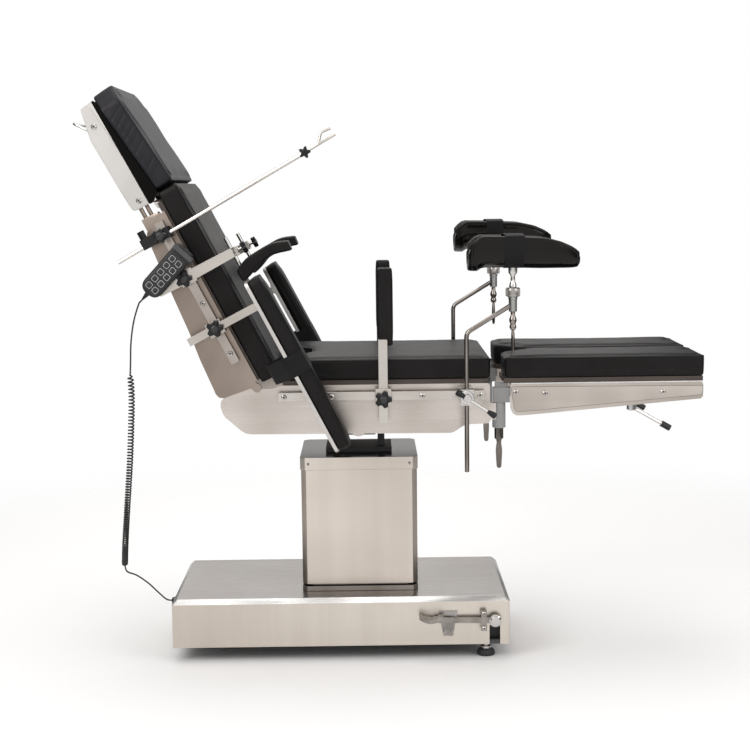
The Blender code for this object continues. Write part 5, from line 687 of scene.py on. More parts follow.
def head_tree():
    """Node tree that sets a domed, socketed head on each point, facing along its normal."""
    tree, start, sockets = grow_tree("screw_heads", (("Places", GEOMETRY), ("Radius", FLOAT), ("Height", FLOAT),
                                                     ("Metal", MATERIAL), ("Shade", MATERIAL)), "Heads")
    radius, height = start.outputs["Radius"], start.outputs["Height"]
    facing = put(tree, "GeometryNodeInputNamedAttribute", {"Name": "facing"}, data_type="FLOAT_VECTOR")
    aim = put(tree, "FunctionNodeAlignRotationToVector", {"Vector": facing.outputs["Attribute"]}, axis="Z")
    half = maths(tree, "MULTIPLY", height, 0.5)
    rim = put(tree, "GeometryNodeMeshCylinder", {"Vertices": HEAD_SIDES, "Radius": radius, "Depth": height})
    dome = put(tree, "GeometryNodeMeshCone", {
        "Vertices": HEAD_SIDES, "Radius Bottom": radius, "Radius Top": maths(tree, "MULTIPLY", radius, CROWN_SHARE),
        "Depth": half})
    metal = joined(tree, lifted(tree, rim, half), lifted(tree, dome, height))
    key = put(tree, "GeometryNodeMeshCylinder", {"Vertices": 6, "Radius": maths(tree, "MULTIPLY", radius, KEY_SHARE),
                                                 "Depth": height})
    key_up = lifted(tree, key, maths(tree, "MULTIPLY", height, KEY_RISE))
    whole = joined(tree, painted(tree, metal, start.outputs["Metal"]), painted(tree, key_up, start.outputs["Shade"]))
    heads = put(tree, "GeometryNodeInstanceOnPoints", {"Points": start.outputs["Places"], "Instance": whole,
                                                       "Rotation": aim.outputs[0]})
    real = put(tree, "GeometryNodeRealizeInstances", {"Geometry": heads.outputs[0]})
    put(tree, "NodeGroupOutput", {"Heads": real.outputs[0]})
    return tree, sockets


def repeat_tree():
    """Node tree that sets one drawn form on each point, turned by the point's spin."""
    tree, start, sockets = grow_tree("repeated_forms", (("Places", GEOMETRY), ("Form", "NodeSocketObject"),
                                                        ("Finish", MATERIAL)), "Forms")
    drawn = put(tree, "GeometryNodeObjectInfo", {"Object": start.outputs["Form"]})
    spin = put(tree, "GeometryNodeInputNamedAttribute", {"Name": "spin"}, data_type="FLOAT_VECTOR")
    turn = put(tree, "FunctionNodeEulerToRotation", {0: spin.outputs["Attribute"]})
    forms = put(tree, "GeometryNodeInstanceOnPoints", {
        "Points": start.outputs["Places"], "Instance": drawn.outputs["Geometry"], "Rotation": turn.outputs[0]})
    real = put(tree, "GeometryNodeRealizeInstances", {"Geometry": forms.outputs[0]})
    put(tree, "NodeGroupOutput", {"Forms": painted(tree, real.outputs[0], start.outputs["Finish"])})
    return tree, sockets


HEAD_TREE, HEAD_SOCKETS = head_tree()
REPEAT_TREE, REPEAT_SOCKETS = repeat_tree()
SCREW_SHADE = moulded("screw_socket_shade", (0.02, 0.02, 0.02), (0.05, 0.05, 0.05), (0.5, 0.6), size=500.0)


def grown(name, mark, places, tree, values):
    """What a node tree grows on (place, vector) pairs, as a plain mesh."""
    data = bpy.data.meshes.new(name)
    data.from_pydata([place for place, way in places], [], [])
    ways = data.attributes.new(mark, "FLOAT_VECTOR", "POINT")
    ways.data.foreach_set("vector", [value for place, way in places for value in way])
    piece = bpy.data.objects.new(name, data)
    scene.collection.objects.link(piece)
    grow = piece.modifiers.new("grown", "NODES")
    grow.node_group = tree
    for identifier, value in values.items():
        grow[identifier] = value
    settle(piece)
    return piece


def screws(name, places, radius, height, body, slot):
    """Screw heads at (place, facing) pairs on one body."""
    piece = grown(name, "facing", places, HEAD_TREE, {
        HEAD_SOCKETS["Radius"]: radius, HEAD_SOCKETS["Height"]: height, HEAD_SOCKETS["Metal"]: SCREW_STEEL,
        HEAD_SOCKETS["Shade"]: SCREW_SHADE})
    fitted(piece, body, slot)


def repeated(name, look, body, slot, shapes, places, world=None):
    """Drawn form set at each (place, spin), as one piece."""
    drawn = shaped(f"{name}_pattern", look, shapes)
    piece = grown(name, "spin", places, REPEAT_TREE, {REPEAT_SOCKETS["Form"]: drawn, REPEAT_SOCKETS["Finish"]: look})
    bpy.data.objects.remove(drawn, do_unlink=True)
    if world is not None:
        placed(piece, world)
    fitted(piece, body, slot)


def ridge(form, half_along, half_across, proud, axis):
    """Small ridge with sloped flanks: long on one axis, across another, standing up in X or Z."""
    loops = []
    for share, end in ((0.7, -1), (1.0, -0.8), (1.0, 0.8), (0.7, 1)):
        loop = []
        for across, up in ((-1, -0.6), (-0.45, 1), (0.45, 1), (1, -0.6)):
            if axis == "Z":
                loop.append(Vector((proud * up * share, half_across * across, half_along * end)))
            else:
                loop.append(Vector((half_across * across, half_along * end, proud * up * share)))
        loops.append(loop)
    skin(form, loops)


SIDES = (("near", -1), ("far", 1))
BACK_ANGLE, HEAD_ANGLE = 62.45, 57.9
BACK = Matrix.Translation((-0.365, 0.0, 0.782)) @ Matrix.Rotation(radians(BACK_ANGLE), 4, "Y")
HEAD = (BACK @ Matrix.Translation((-0.602, 0.0, -0.036))
        @ Matrix.Rotation(radians(HEAD_ANGLE - BACK_ANGLE), 4, "Y"))
PLATE_Y, RAIL_Y = 0.2540, 0.2800


def across(side, low, high):
    """Two distances from the middle as places on Y, in rising order."""
    return sorted((side * low, side * high))


def on_side(side, x, z, y):
    """A place and its outward facing on a side plate of the level sections."""
    return (x, side * y, z), (0.0, float(side), 0.0)


def leaning(world, side, along, up, y):
    """A place and its outward facing on a side plate of a leaning section."""
    return tuple(world @ Vector((-along, side * y, up))), (0.0, float(side), 0.0)


screws("bracket_screws", [on_side(-1, 0.1472, 0.0838, 0.2505), on_side(-1, 0.1688, 0.0838, 0.2505)],
       0.0046, 0.0032, "root", "brushed_steel")
seat_places, back_places, head_places = [], [], []
for label, side in SIDES:
    seat_places += [on_side(side, x, 0.758, RAIL_Y) for x in (-0.290, -0.160, 0.090, 0.248)]
    back_places += [leaning(BACK, side, along, -0.016, RAIL_Y) for along in (0.120, 0.275, 0.430)]
    head_places += [leaning(HEAD, side, along, up, PLATE_Y) for along, up in ((0.0, 0.0), (0.2309, 0.0080))]
screws("seat_rail_screws", seat_places, 0.0076, 0.0042, "seat", "polished_steel")
screws("back_rail_screws", back_places, 0.0076, 0.0042, "back", "polished_steel")
screws("head_plate_screws", head_places, 0.0078, 0.0042, "head", "brushed_steel")
for label, side in SIDES:
    screws(f"leg_plate_screws_{label}",
           [on_side(side, 0.349, 0.761, PLATE_Y), on_side(side, 0.4301, 0.757, PLATE_Y),
            on_side(side, 0.7559, 0.757, PLATE_Y)], 0.0072, 0.0040, f"leg_{label}", "brushed_steel")


# Brake pedal: a steel lever bar on a cross shaft, with a bolted cross arm, a turned hub
# and a cast grip whose top is ribbed against slipping. It is dull plated steel.

PEDAL_STEEL = stainless("pedal_plated", (0.17, 0.15, 0.135), (0.36, 0.335, 0.31), (40.0, 400.0, 400.0),
                        roughness=(0.25, 0.42), band_size=26.0)
PEDAL_FACE = -0.2645
HUB_SHAPE = ((0.0172, 0.002), (0.0178, -0.0012), (0.0174, -0.0044), (0.0140, -0.0060), (0.0135, -0.0092),
             (0.0122, -0.0104), (0.0040, -0.0106))
GRIP_RIBS = 7
GRIP_START, GRIP_RUN, GRIP_Y, GRIP_TOP, GRIP_DISH = 0.0800, 0.0580, -0.2735, 0.1262, 0.012
dressed("pedal_lever", PEDAL_STEEL, 0.0008, "pedal_lever_form")
part("pedal_hub", CHROME, "pedal", "painted_grey", [(turned, moved(HUB_SHAPE, PEDAL_FACE), (0.290, 0.116), "Y", 48)])
rib_places = []
for number in range(GRIP_RIBS):
    share = number / (GRIP_RIBS - 1)
    dish = GRIP_DISH * (2 * share - 1) ** 2
    rib_places.append(((GRIP_START + GRIP_RUN * share, GRIP_Y, GRIP_TOP + dish * 0.62),
                       (0.0, -(2 * share - 1) * 0.5, 0.0)))
repeated("pedal_grip_ribs", PEDAL_STEEL, "pedal", "painted_grey", [(ridge, 0.0148, 0.0030, 0.0011, "Y")], rib_places)
screws("pedal_screws", [on_side(-1, 0.258, 0.116 + rise, -PEDAL_FACE) for rise in (-0.021, 0.021)],
       0.0062, 0.0040, "pedal", "painted_grey")


# Lifting column: a fixed inner skirt on a flange, and an outer cover that rises with the
# ram. Both are folded from stainless sheet with bevelled corners and close-brushed
# upright. The collar on top is a separate frame held by four small screws.

# Painted shade: the inner skirt and its flange under the cover take a darker copy of the column's stainless.
COLUMN_SKIRT_SHADED = stainless("column_skirt_shaded_steel", (0.20, 0.18, 0.16), (0.40, 0.36, 0.33), (900.0, 900.0, 6.0),
                        band_size=3.0)
dressed("column_skirt", COLUMN_SKIRT_SHADED, 0.0012, "column_skirt_sheet")
# Painted shade: the bevelled corner faces of the cover are a darker copy of its stainless.
COLUMN_CORNER_SHADED = stainless("column_corner_shaded_steel", (0.24, 0.21, 0.185), (0.42, 0.375, 0.335), (900.0, 900.0, 6.0),
                          band_size=2.4)
# Painted shade: the stainless top face of the cover is coloured nearly black.
COLUMN_TOP_SHADED = stainless("column_top_shaded_steel", (0.022, 0.020, 0.018), (0.055, 0.050, 0.046), (7.0, 500.0, 900.0),
                       roughness=(0.16, 0.26))
column_form = dressed("column_cover", STEEL_COLUMN, 0.0012, "column_cover_sheet")
split_look(column_form, COLUMN_CORNER_SHADED,
           lambda centre, normal: centre.z < 0.532 and 0.3 < abs(normal.x) < 0.95 and abs(normal.z) < 0.1)
split_look(column_form, COLUMN_TOP_SHADED, lambda centre, normal: centre.z > 0.566 and normal.z > 0.9)
collar_places = [on_side(side, -0.088 + end * 0.144, 0.550, 0.1625) for label, side in SIDES for end in (-1, 1)]
screws("collar_screws", collar_places, 0.0040, 0.0026, "lift", "brushed_steel")


# Tilt head: the ram's head plate carries two lugs for the sideways tilt, and a bored
# cross block on crossed pins carries the seat's lugs. All are machined from cast steel.

dressed("lift_ram", CAST_DARK, 0.0010, "ram_head_casting")
dressed("tilt_cradle", CAST_DARK, 0.0010, "tilt_cross_block")


# Seat section: folded side plates of brushed stainless under a dark laminate board, tied
# by cross bars and a bridge for the tilt pins. Its accessory rails are polished flat bar
# held off on spacers by bolts. The leg sockets are steel blocks welded to the plates.

PLATE_STEEL = stainless("plate_stainless", (0.38, 0.335, 0.295), (0.68, 0.625, 0.575), (7.0, 400.0, 900.0),
                        roughness=(0.22, 0.36), band_size=3.2)
RAIL_STEEL = stainless("rail_polished", (0.46, 0.42, 0.38), (0.62, 0.58, 0.54), (5.0, 300.0, 500.0),
                       roughness=(0.2, 0.3), band_size=5.0, relief=0.00001)
BOARD_BROWN = moulded("board_laminate", (0.035, 0.024, 0.018), (0.070, 0.050, 0.040), (0.35, 0.5), size=300.0)


def level_board(centre, normal):
    """Test for the faces of a level section's board."""
    return 0.7868 < centre.z and abs(centre.y) < 0.2535


SEAT_PLATE_END = 0.2785
SOCKET_GREY = moulded("socket_paint", (0.26, 0.26, 0.26), (0.34, 0.34, 0.34), (0.3, 0.4), size=300.0)
seat_form = dressed("seat_frame", PLATE_STEEL, 0.0008, "seat_frame_plates")
split_look(seat_form, BOARD_BROWN, level_board)
split_look(seat_form, SOCKET_GREY,
           lambda centre, normal: centre.x > SEAT_PLATE_END and abs(centre.y) > 0.205 and centre.z < 0.7325)
for point in seat_form.data.vertices:
    if SEAT_PLATE_END < point.co.x and abs(point.co.y) > 0.2497 and point.co.z < 0.775:
        point.co.x = SEAT_PLATE_END
for label, side in SIDES:
    dressed(f"seat_rail_{label}", RAIL_STEEL, 0.0010, f"seat_rail_bar_{label}")


# Leg sections: two plates that fold down and spread apart on knuckles. Each side plate is
# folded from stainless sheet, with a raised panel ringed by a thin dark bar of painted
# shadow for its pressed crease, and a bar along its top fold coloured bright as a painted
# highlight. The lock screw has a wire lever, and the knuckle a dark wing lever.

KNUCKLE_GREY = moulded("knuckle_paint", (0.22, 0.22, 0.22), (0.29, 0.29, 0.29), (0.28, 0.4), size=300.0)
PANEL_STEEL = stainless("panel_stainless", (0.36, 0.315, 0.28), (0.62, 0.565, 0.515), (7.0, 400.0, 900.0),
                        roughness=(0.24, 0.38), band_size=4.0)
# Painted highlight: the bar along each plate's top fold is coloured bright.
FOLD_HIGHLIGHT_STEEL = moulded("fold_painted_highlight", (0.66, 0.64, 0.62), (0.78, 0.76, 0.74), (0.16, 0.24), size=200.0,
                     relief=0.00001, metallic=1.0)
# Painted shadow: a thin dark bar rings each raised panel where its pressed crease is shaded.
CREASE_SHADOW_STEEL = moulded("crease_painted_shadow", (0.16, 0.14, 0.125), (0.24, 0.215, 0.195), (0.3, 0.4), size=200.0,
                       relief=0.00001, metallic=1.0)
KNUCKLE_X, WING_WAIST = 0.304, 0.7
LEG_PLATE = ((0.0, 0.193), (0.022, 0.0), (0.079, 0.011), (0.998, 0.455), (1.0, 0.966), (0.0, 1.0))
WING_STEEL = moulded("wing_dark_chrome", (0.10, 0.085, 0.075), (0.24, 0.215, 0.195), (0.08, 0.16), size=60.0,
                     relief=0.00001, metallic=1.0)
GRIP_BLACK = moulded("grip_sleeve", (0.005, 0.005, 0.006), (0.012, 0.012, 0.013), (0.3, 0.42), size=700.0,
                     gloss=0.35)
for label, side in SIDES:
    body = f"leg_{label}"
    leg_form = dressed(f"leg_frame_{label}", PLATE_STEEL, 0.0008, f"leg_frame_plates_{label}")
    split_look(leg_form, BOARD_BROWN, level_board)
    panel = rounded(inward([(0.334 + 0.534 * a, 0.695 + 0.092 * b) for a, b in LEG_PLATE], 0.011), 0.008, 4)
    part(f"leg_plate_panel_{label}", PANEL_STEEL, body, "brushed_steel",
         [(slab, panel, "Y", *across(side, 0.2536, 0.2547))], edge=0.0004)
    # Fold bar, coloured bright as a painted highlight.
    fold = [(x, side * 0.2538, 0.7850) for x in (0.3360, 0.8660)]
    part(f"leg_plate_fold_{label}", FOLD_HIGHLIGHT_STEEL, body, "brushed_steel", [(bar, fold, 0.0022, 12)])
    # Dark bar round the panel: painted shadow of the crease.
    crease_shadow_path = [Vector((a, side * 0.2546, b)) for a, b in panel]
    part(f"leg_plate_crease_{label}", CREASE_SHADOW_STEEL, body, "brushed_steel", [(bar, crease_shadow_path + crease_shadow_path[:2], 0.0006, 8)])
    knuckle = dressed(f"leg_knuckle_{label}", KNUCKLE_GREY, 0.0010, f"leg_knuckle_casting_{label}")
    split_look(knuckle, WING_STEEL, lambda centre, normal: centre.z < 0.6595)
    for point in knuckle.data.vertices:
        if point.co.z < 0.6190:
            point.co.x = KNUCKLE_X + (point.co.x - KNUCKLE_X) * WING_WAIST
    lever = dressed(f"leg_lock_handle_{label}", CHROME, 0.0004, f"leg_lock_lever_{label}")
    split_look(lever, GRIP_BLACK, lambda centre, normal: centre.x > 0.7625)


# Back section: side plates with rounded ends, a dark laminate board, ties and its own
# accessory rails. Blocks near its top carry the two rods of the head section.

# Painted reflection: the back's plates take a browner, darker copy of the seat's stainless, standing in for dim, warm
# reflections.
BACK_STEEL_DIM_REFLECTION = stainless("back_dim_reflection_stainless", (0.22, 0.175, 0.145), (0.38, 0.315, 0.27), (7.0, 400.0, 900.0),
                       turn=radians(BACK_ANGLE), roughness=(0.24, 0.38), band_size=3.0)
BACK_IN = BACK.inverted()
HEAD_IN = HEAD.inverted()


def board_of(inverse, low, half):
    """Test for the faces of a leaning section's board."""
    return lambda centre, normal: (inverse @ centre).z > low and abs(centre.y) < half


back_form = dressed("back_frame", BACK_STEEL_DIM_REFLECTION, 0.0008, "back_frame_plates")
split_look(back_form, BOARD_BROWN, board_of(BACK_IN, 0.0052, 0.2565))
# Painted reflection: the back's rails take a darker copy of the rail steel.
BACK_RAIL_DIM_REFLECTION = stainless("back_rail_dim_reflection_steel", (0.31, 0.275, 0.24), (0.45, 0.405, 0.365), (5.0, 300.0, 500.0),
                            turn=radians(BACK_ANGLE), roughness=(0.2, 0.3), band_size=5.0, relief=0.00001)
for label, side in SIDES:
    dressed(f"back_rail_{label}", BACK_RAIL_DIM_REFLECTION, 0.0010, f"back_rail_bar_{label}")


# Head section: a short plate with turned-down sides, and the wire bail on a cross shaft
# that frees its lock when it is lifted.

HEAD_STEEL = stainless("head_stainless", (0.50, 0.475, 0.45), (0.64, 0.615, 0.59), (7.0, 400.0, 900.0),
                       turn=radians(HEAD_ANGLE), roughness=(0.28, 0.34), band_size=3.0, relief=0.000008)
HEAD_PLATE = ((0.006, 0.80), (0.018, 0.04), (0.047, 0.0), (0.184, 0.007), (0.725, 0.15), (1.0, 0.56), (1.0, 1.0),
              (0.0, 1.0))
head_form = dressed("head_frame", HEAD_STEEL, 0.0008, "head_frame_plates")
split_look(head_form, BOARD_BROWN, board_of(HEAD_IN, 0.0291, 0.2495))
for label, side in SIDES:
    rim = [(0.0234 - 0.314 * a, -0.0298 + 0.059 * b) for a, b in HEAD_PLATE]
    part(f"head_plate_face_{label}", HEAD_STEEL, "head", "brushed_steel",
         [(slab, rounded(inward(rim, 0.0012), 0.005, 4), "Y", *across(side, 0.2530, 0.2547))], world=HEAD,
         edge=0.0005)
dressed("head_release_handle", CHROME, 0, "head_release_bail")


# Leg holders: rail clamps with a sliding cross-bar screw, bent chromed rods, and
# a coupling under each knee pad with a knurled nut and a wing lever.

RAISED = {"near": 0.0, "far": 0.026}
HOLDER_Y, HOLDER_X, HOLDER_TOP_X = 0.320, 0.209, 0.335
ROD_BEND = 0.014
KNURLS = 40
TBAR_HEAD = ((0.0150, 0.3353), (0.0184, 0.3358), (0.0190, 0.3368), (0.0190, 0.3420), (0.0178, 0.3436),
             (0.0120, 0.3450), (0.0110, 0.3470), (0.0110, 0.3650), (0.0100, 0.3668), (0.0060, 0.3674))
GRIP_SHAPE = ((0.0, 0.70), (0.0012, 0.94), (0.0040, 1.0), (0.0090, 1.0), (0.0220, 0.72), (0.0262, 0.60),
              (0.0270, 0.52))
BALL_SHAPE = ((0.0040, 0.9390), (0.0070, 0.9415), (0.0092, 0.9455), (0.0094, 0.9500), (0.0072, 0.9550),
              (0.0078, 0.9580), (0.0102, 0.9640), (0.0100, 0.9700), (0.0078, 0.9750), (0.0062, 0.9790),
              (0.0062, 0.9890), (0.0090, 0.9905))
WING_SHAPE = ((0.9430, 0.0040, 0.0040), (0.9370, 0.0038, 0.0046), (0.9280, 0.0046, 0.0076), (0.9120, 0.0052, 0.0098),
              (0.8950, 0.0050, 0.0104), (0.8800, 0.0042, 0.0096), (0.8750, 0.0030, 0.0072), (0.8730, 0.0012, 0.0030))
# Painted reflection: the bent rods take a darker, browner copy of the chrome, standing in for dark reflections along
# them.
ROD_CHROME_DARK_REFLECTION = moulded("rod_chrome_dark_reflection", (0.19, 0.165, 0.145), (0.36, 0.325, 0.30), (0.10, 0.18), size=30.0,
                     relief=0.00001, metallic=1.0)
COUPLER_GREY = stainless("coupler_zinc", (0.26, 0.26, 0.26), (0.42, 0.42, 0.41), (300.0, 300.0, 20.0),
                         roughness=(0.25, 0.35))
COUPLER_SHAPE = ((0.0094, 0.9893), (0.0112, 0.9910), (0.0112, 1.0215), (0.0124, 1.0230), (0.0124, 1.0292),
                 (0.0100, 1.0296))
NUT_SHAPE = ((0.0130, 1.0290), (0.0180, 1.0312), (0.0190, 1.0330), (0.0190, 1.0518), (0.0178, 1.0538),
             (0.0150, 1.0550), (0.0084, 1.0551))
TBAR_RADIUS, GRIP_RADIUS, ROD_RADIUS, KNURL_REACH = 0.0042, 0.0086, 0.0063, 0.0191
BEND_STEPS = 8
for label, side in SIDES:
    dressed(f"holder_clamp_{label}", CHROME, 0.0008, f"holder_clamp_block_{label}")
    body, y, rise = f"holder_tbar_{label}", side * HOLDER_Y, RAISED[label]
    ends = [Vector((0.179, side * 0.360, 0.7775)), Vector((0.285, side * 0.360, 0.709))]
    cross_bar = [ends[0].lerp(ends[1], share) for share in (0.06, 0.94)]
    part(f"holder_tbar_screw_{label}", CHROME, body, "polished_steel",
         [(turned, [(radius, side * out_y) for radius, out_y in TBAR_HEAD], (HOLDER_X, 0.758), "Y", 48),
          (bar, cross_bar, TBAR_RADIUS, 20)], nodes=(body,))
    grips = []
    for end, other in (ends, ends[::-1]):
        run = (other - end).normalized()
        grips.append((bar, [end + run * along for along, share in GRIP_SHAPE], GRIP_RADIUS, 24,
                      [share for along, share in GRIP_SHAPE]))
    part(f"holder_tbar_grips_{label}", GRIP_BLACK, body, "black_plastic", grips)

    body, top = f"holder_rod_{label}", (HOLDER_TOP_X, y)
    corner = Vector((HOLDER_X, y, 0.933 + rise))
    low, high = Vector((HOLDER_X, y, 0.551 + rise)), Vector((HOLDER_TOP_X, y, 1.010 + rise))
    start, end = corner + (low - corner).normalized() * ROD_BEND, corner + (high - corner).normalized() * ROD_BEND
    path = [low, low + Vector((0, 0, 0.0012))]
    path += [bend(start, corner, end, step / BEND_STEPS) for step in range(BEND_STEPS + 1)]
    path.append(high)
    part(f"holder_rod_bar_{label}", ROD_CHROME_DARK_REFLECTION, body, "polished_steel",
         [(bar, path, ROD_RADIUS, 28, [0.82] + [1.0] * (len(path) - 1)),
          (turned, moved(BALL_SHAPE, rise), top, "Z", 40)], nodes=(body,))
    part(f"holder_coupler_{label}", COUPLER_GREY, body, "polished_steel",
         [(turned, moved(COUPLER_SHAPE, rise), top, "Z", 40)])
    part(f"holder_nut_{label}", SCREW_STEEL, body, "polished_steel", [(turned, moved(NUT_SHAPE, rise), top, "Z", 48)])
    teeth = [((HOLDER_TOP_X + KNURL_REACH * cos(turn), y + KNURL_REACH * sin(turn), 1.0424 + rise), (0.0, 0.0, turn))
             for turn in circle(KNURLS)]
    repeated(f"holder_nut_knurl_{label}", SCREW_STEEL, body, "polished_steel",
             [(ridge, 0.0090, 0.0012, 0.0008, "Z")], teeth)
    wing = [[Vector((HOLDER_TOP_X + half_x * cos(turn), y + half_y * sin(turn), height + rise))
             for turn in circle(28)] for height, half_x, half_y in WING_SHAPE]
    part(f"holder_wing_{label}", WING_STEEL, body, "polished_steel", [(skin, wing)])


# Hip supports, arm boards and shoulder supports: flat polished bars in rail clamps, each
# tightened by a black star knob moulded over a steel screw.

KNOB_BLACK = moulded("knob_phenolic", (0.005, 0.005, 0.006), (0.012, 0.012, 0.013), (0.2, 0.32), size=500.0,
                     gloss=0.32)
KNOB_CAP = moulded("knob_cap", (0.016, 0.016, 0.017), (0.030, 0.030, 0.032), (0.28, 0.4), size=500.0)
SHOULDER_Y = 0.205
BLOCK_SCREW = ((0.0042, 0.1300), (0.0042, 0.1445))
BLOCK_NUT = ((0.0075, 0.1308), (0.0080, 0.1314), (0.0080, 0.1338), (0.0072, 0.1346))
LOBE_START, LOBE_GROWTH, LOBE_END = 0.0128, 1.18, 0.026
HIP_KNOB, ARM_KNOB, SHOULDER_KNOB = (-0.0175, 0.752), (-0.200, -0.016), (-0.358, -0.024)
CAP_SHAPE = ((0.0100, -0.0006), (0.0100, 0.0004), (0.0088, 0.0016), (0.0050, 0.0023), (0.0008, 0.0025))
KNOB_EDGE, KNOB_POINTS, KNOB_LOBES = 0.0022, 90, 5


def shoulder_knob_part(centre, normal):
    """Test for the shoulder bracket's star knob."""
    local = BACK_IN @ centre
    from_axis = Vector((local.x - SHOULDER_KNOB[0], local.z - SHOULDER_KNOB[1])).length
    return abs(local.y) > 0.3111 and from_axis < LOBE_END or 0.3102 < abs(local.y) < 0.3109 and from_axis > 0.0125


def widened(piece, world, axis, start):
    """Star lobes a little wider than the solid's, about the knob's own axis."""
    inverse = world.inverted()
    for point in piece.data.vertices:
        local = inverse @ point.co
        arm = Vector((local.x - axis[0], 0.0, local.z - axis[1]))
        if abs(local.y) > start and LOBE_START < arm.length < LOBE_END:
            point.co = world @ (local + arm * (LOBE_GROWTH - 1.0))


def knob_cap(form, centre, face, side):
    """Low dome moulded in the middle of a star knob."""
    turned(form, [(radius, side * (face + proud)) for radius, proud in CAP_SHAPE], centre, "Y", 32)


def star_knob(form, centre, start, side, radius, lobe, thick, axis="Y"):
    """Five-lobed hand knob on an axis, with a low dome."""
    def reach(turn, pull):
        if pull > KNOB_EDGE:
            return radius - pull
        return radius - lobe + lobe * cos(KNOB_LOBES * turn) - pull

    steps = ((KNOB_EDGE, 0.0), (KNOB_EDGE * 0.3, KNOB_EDGE * 0.3), (0.0, KNOB_EDGE), (0.0, thick - KNOB_EDGE),
             (KNOB_EDGE * 0.3, thick - KNOB_EDGE * 0.3), (KNOB_EDGE, thick), (radius * 0.55, thick + 0.0005),
             (radius * 0.75, thick + 0.0016))
    skin(form, [[on_axis((centre[0] + reach(turn, pull) * cos(turn), centre[1] + reach(turn, pull) * sin(turn)),
                         side * (start + along), axis) for turn in circle(KNOB_POINTS)] for pull, along in steps])


for label, side in SIDES:
    block = (-0.358, side * SHOULDER_Y)
    part(f"shoulder_block_knob_{label}", KNOB_BLACK, "back", "black_plastic",
         [(star_knob, block, 0.1440, 1, 0.0175, 0.0036, 0.0130, "Z")], world=BACK)
    part(f"shoulder_block_screw_{label}", SCREW_STEEL, "back", "polished_steel",
         [(turned, BLOCK_SCREW, block, "Z", 24), (turned, BLOCK_NUT, block, "Z", 6)], world=BACK)
    dressed(f"hip_clamp_{label}", RAIL_STEEL, 0.0010, f"hip_clamp_block_{label}")
    dressed(f"arm_bar_{label}", RAIL_STEEL, 0.0010, f"arm_bar_bracket_{label}")
    dressed(f"arm_board_{label}", HEAD_STEEL, 0.0010, f"arm_board_tray_{label}")
    shoulder = dressed(f"shoulder_bar_{label}", RAIL_STEEL, 0.0010, f"shoulder_bar_bracket_{label}")
    split_look(shoulder, KNOB_BLACK, shoulder_knob_part)
    widened(shoulder, BACK, SHOULDER_KNOB, 0.3108)
    hip_knob = dressed(f"hip_knob_{label}", KNOB_BLACK, 0.0008, f"hip_star_knob_{label}")
    widened(hip_knob, Matrix.Identity(4), HIP_KNOB, 0.3000)
    arm_knob = dressed(f"arm_knob_{label}", KNOB_BLACK, 0.0008, f"arm_star_knob_{label}")
    widened(arm_knob, BACK, ARM_KNOB, 0.3110)
    for kind, centre, face, body, world in (("hip", HIP_KNOB, 0.3155, f"hip_knob_{label}", None),
                                            ("arm", ARM_KNOB, 0.3265, f"arm_knob_{label}", BACK),
                                            ("shoulder", SHOULDER_KNOB, 0.3263, "back", BACK)):
        part(f"{kind}_knob_cap_{label}", KNOB_CAP, body, "black_plastic", [(knob_cap, centre, face, side)],
             world=world)


# Screen support: a moulded rail clamp, a sliding rod with an eye, and the hooked arm.

ROD_STEEL = stainless("rod_satin", (0.52, 0.48, 0.44), (0.66, 0.62, 0.58), (300.0, 300.0, 9.0),
                      roughness=(0.24, 0.34), band_size=6.0, relief=0.00001)
dressed("screen_clamp", KNOB_BLACK, 0.0008, "screen_clamp_body")
dressed("screen_rod", ROD_STEEL, 0.0003, "screen_rod_bar")
dressed("screen_arm", ROD_STEEL, 0.0003, "screen_arm_hook")
part("screen_joint_knob", KNOB_BLACK, "screen_arm", "black_plastic",
     [(star_knob, (-0.4995, 0.425), 0.3446, -1, 0.0165, 0.0034, 0.0105)], world=BACK)
part("screen_knob_cap", KNOB_CAP, "back", "black_plastic", [(knob_cap, (-0.488, -0.0205), 0.3573, -1)], world=BACK)


# Hand control: black moulded case with a dark grey end band, a hook for the rail and a
# keypad of framed silicone keys.

CASE_BLACK = moulded("handset_case", (0.005, 0.005, 0.006), (0.011, 0.011, 0.012), (0.3, 0.42), size=1200.0,
                     relief=0.0001, gloss=0.4)
BAND_GREY = moulded("handset_band", (0.045, 0.045, 0.047), (0.075, 0.075, 0.078), (0.4, 0.5), size=900.0)
KEY_BLACK = moulded("key_silicone", (0.008, 0.008, 0.009), (0.016, 0.016, 0.017), (0.45, 0.55), size=800.0)
KEY_FRAME = moulded("key_frame_paint", (0.42, 0.42, 0.43), (0.56, 0.56, 0.57), (0.5, 0.6), size=800.0)
HANDSET_FRONT = -(HANDSET_BACK + HANDSET_THICK)
KEYPAD_CENTRE, KEYPAD_HALF_LENGTH, KEYPAD_HALF_WIDTH = -0.010, 0.062, 0.022
KEY_COLUMNS, KEY_ROWS, COLUMN_PITCH, ROW_PITCH, KEY_HALF = 5, 2, 0.0235, 0.0215, 0.0086
CASE_STEPS = ((0.0050, 0.0), (0.0015, 0.0015), (0.0, 0.0050), (0.0, 0.0200), (0.0008, 0.0245), (0.0030, 0.0272),
              (0.0048, 0.0280))
CORD_SLEEVE = ((0.0066, -0.0775), (0.0064, -0.0830), (0.0056, -0.0860), (0.0056, -0.0880), (0.0046, -0.0900),
               (0.0046, -0.0920), (0.0036, -0.0945), (0.0036, -0.0965), (0.0025, -0.0998))
RAIL_HOOK = ((-0.2803, -0.034), (-0.2803, -0.0037), (-0.2717, -0.0037), (-0.2717, -0.010), (-0.2687, -0.010),
             (-0.2687, -0.001), (-0.313, -0.001), (-0.326, -0.016), (-0.326, -0.034))


def box(low, high, half):
    """Corners of a flat box between two places on its first axis."""
    return [(low, -half), (high, -half), (high, half), (low, half)]


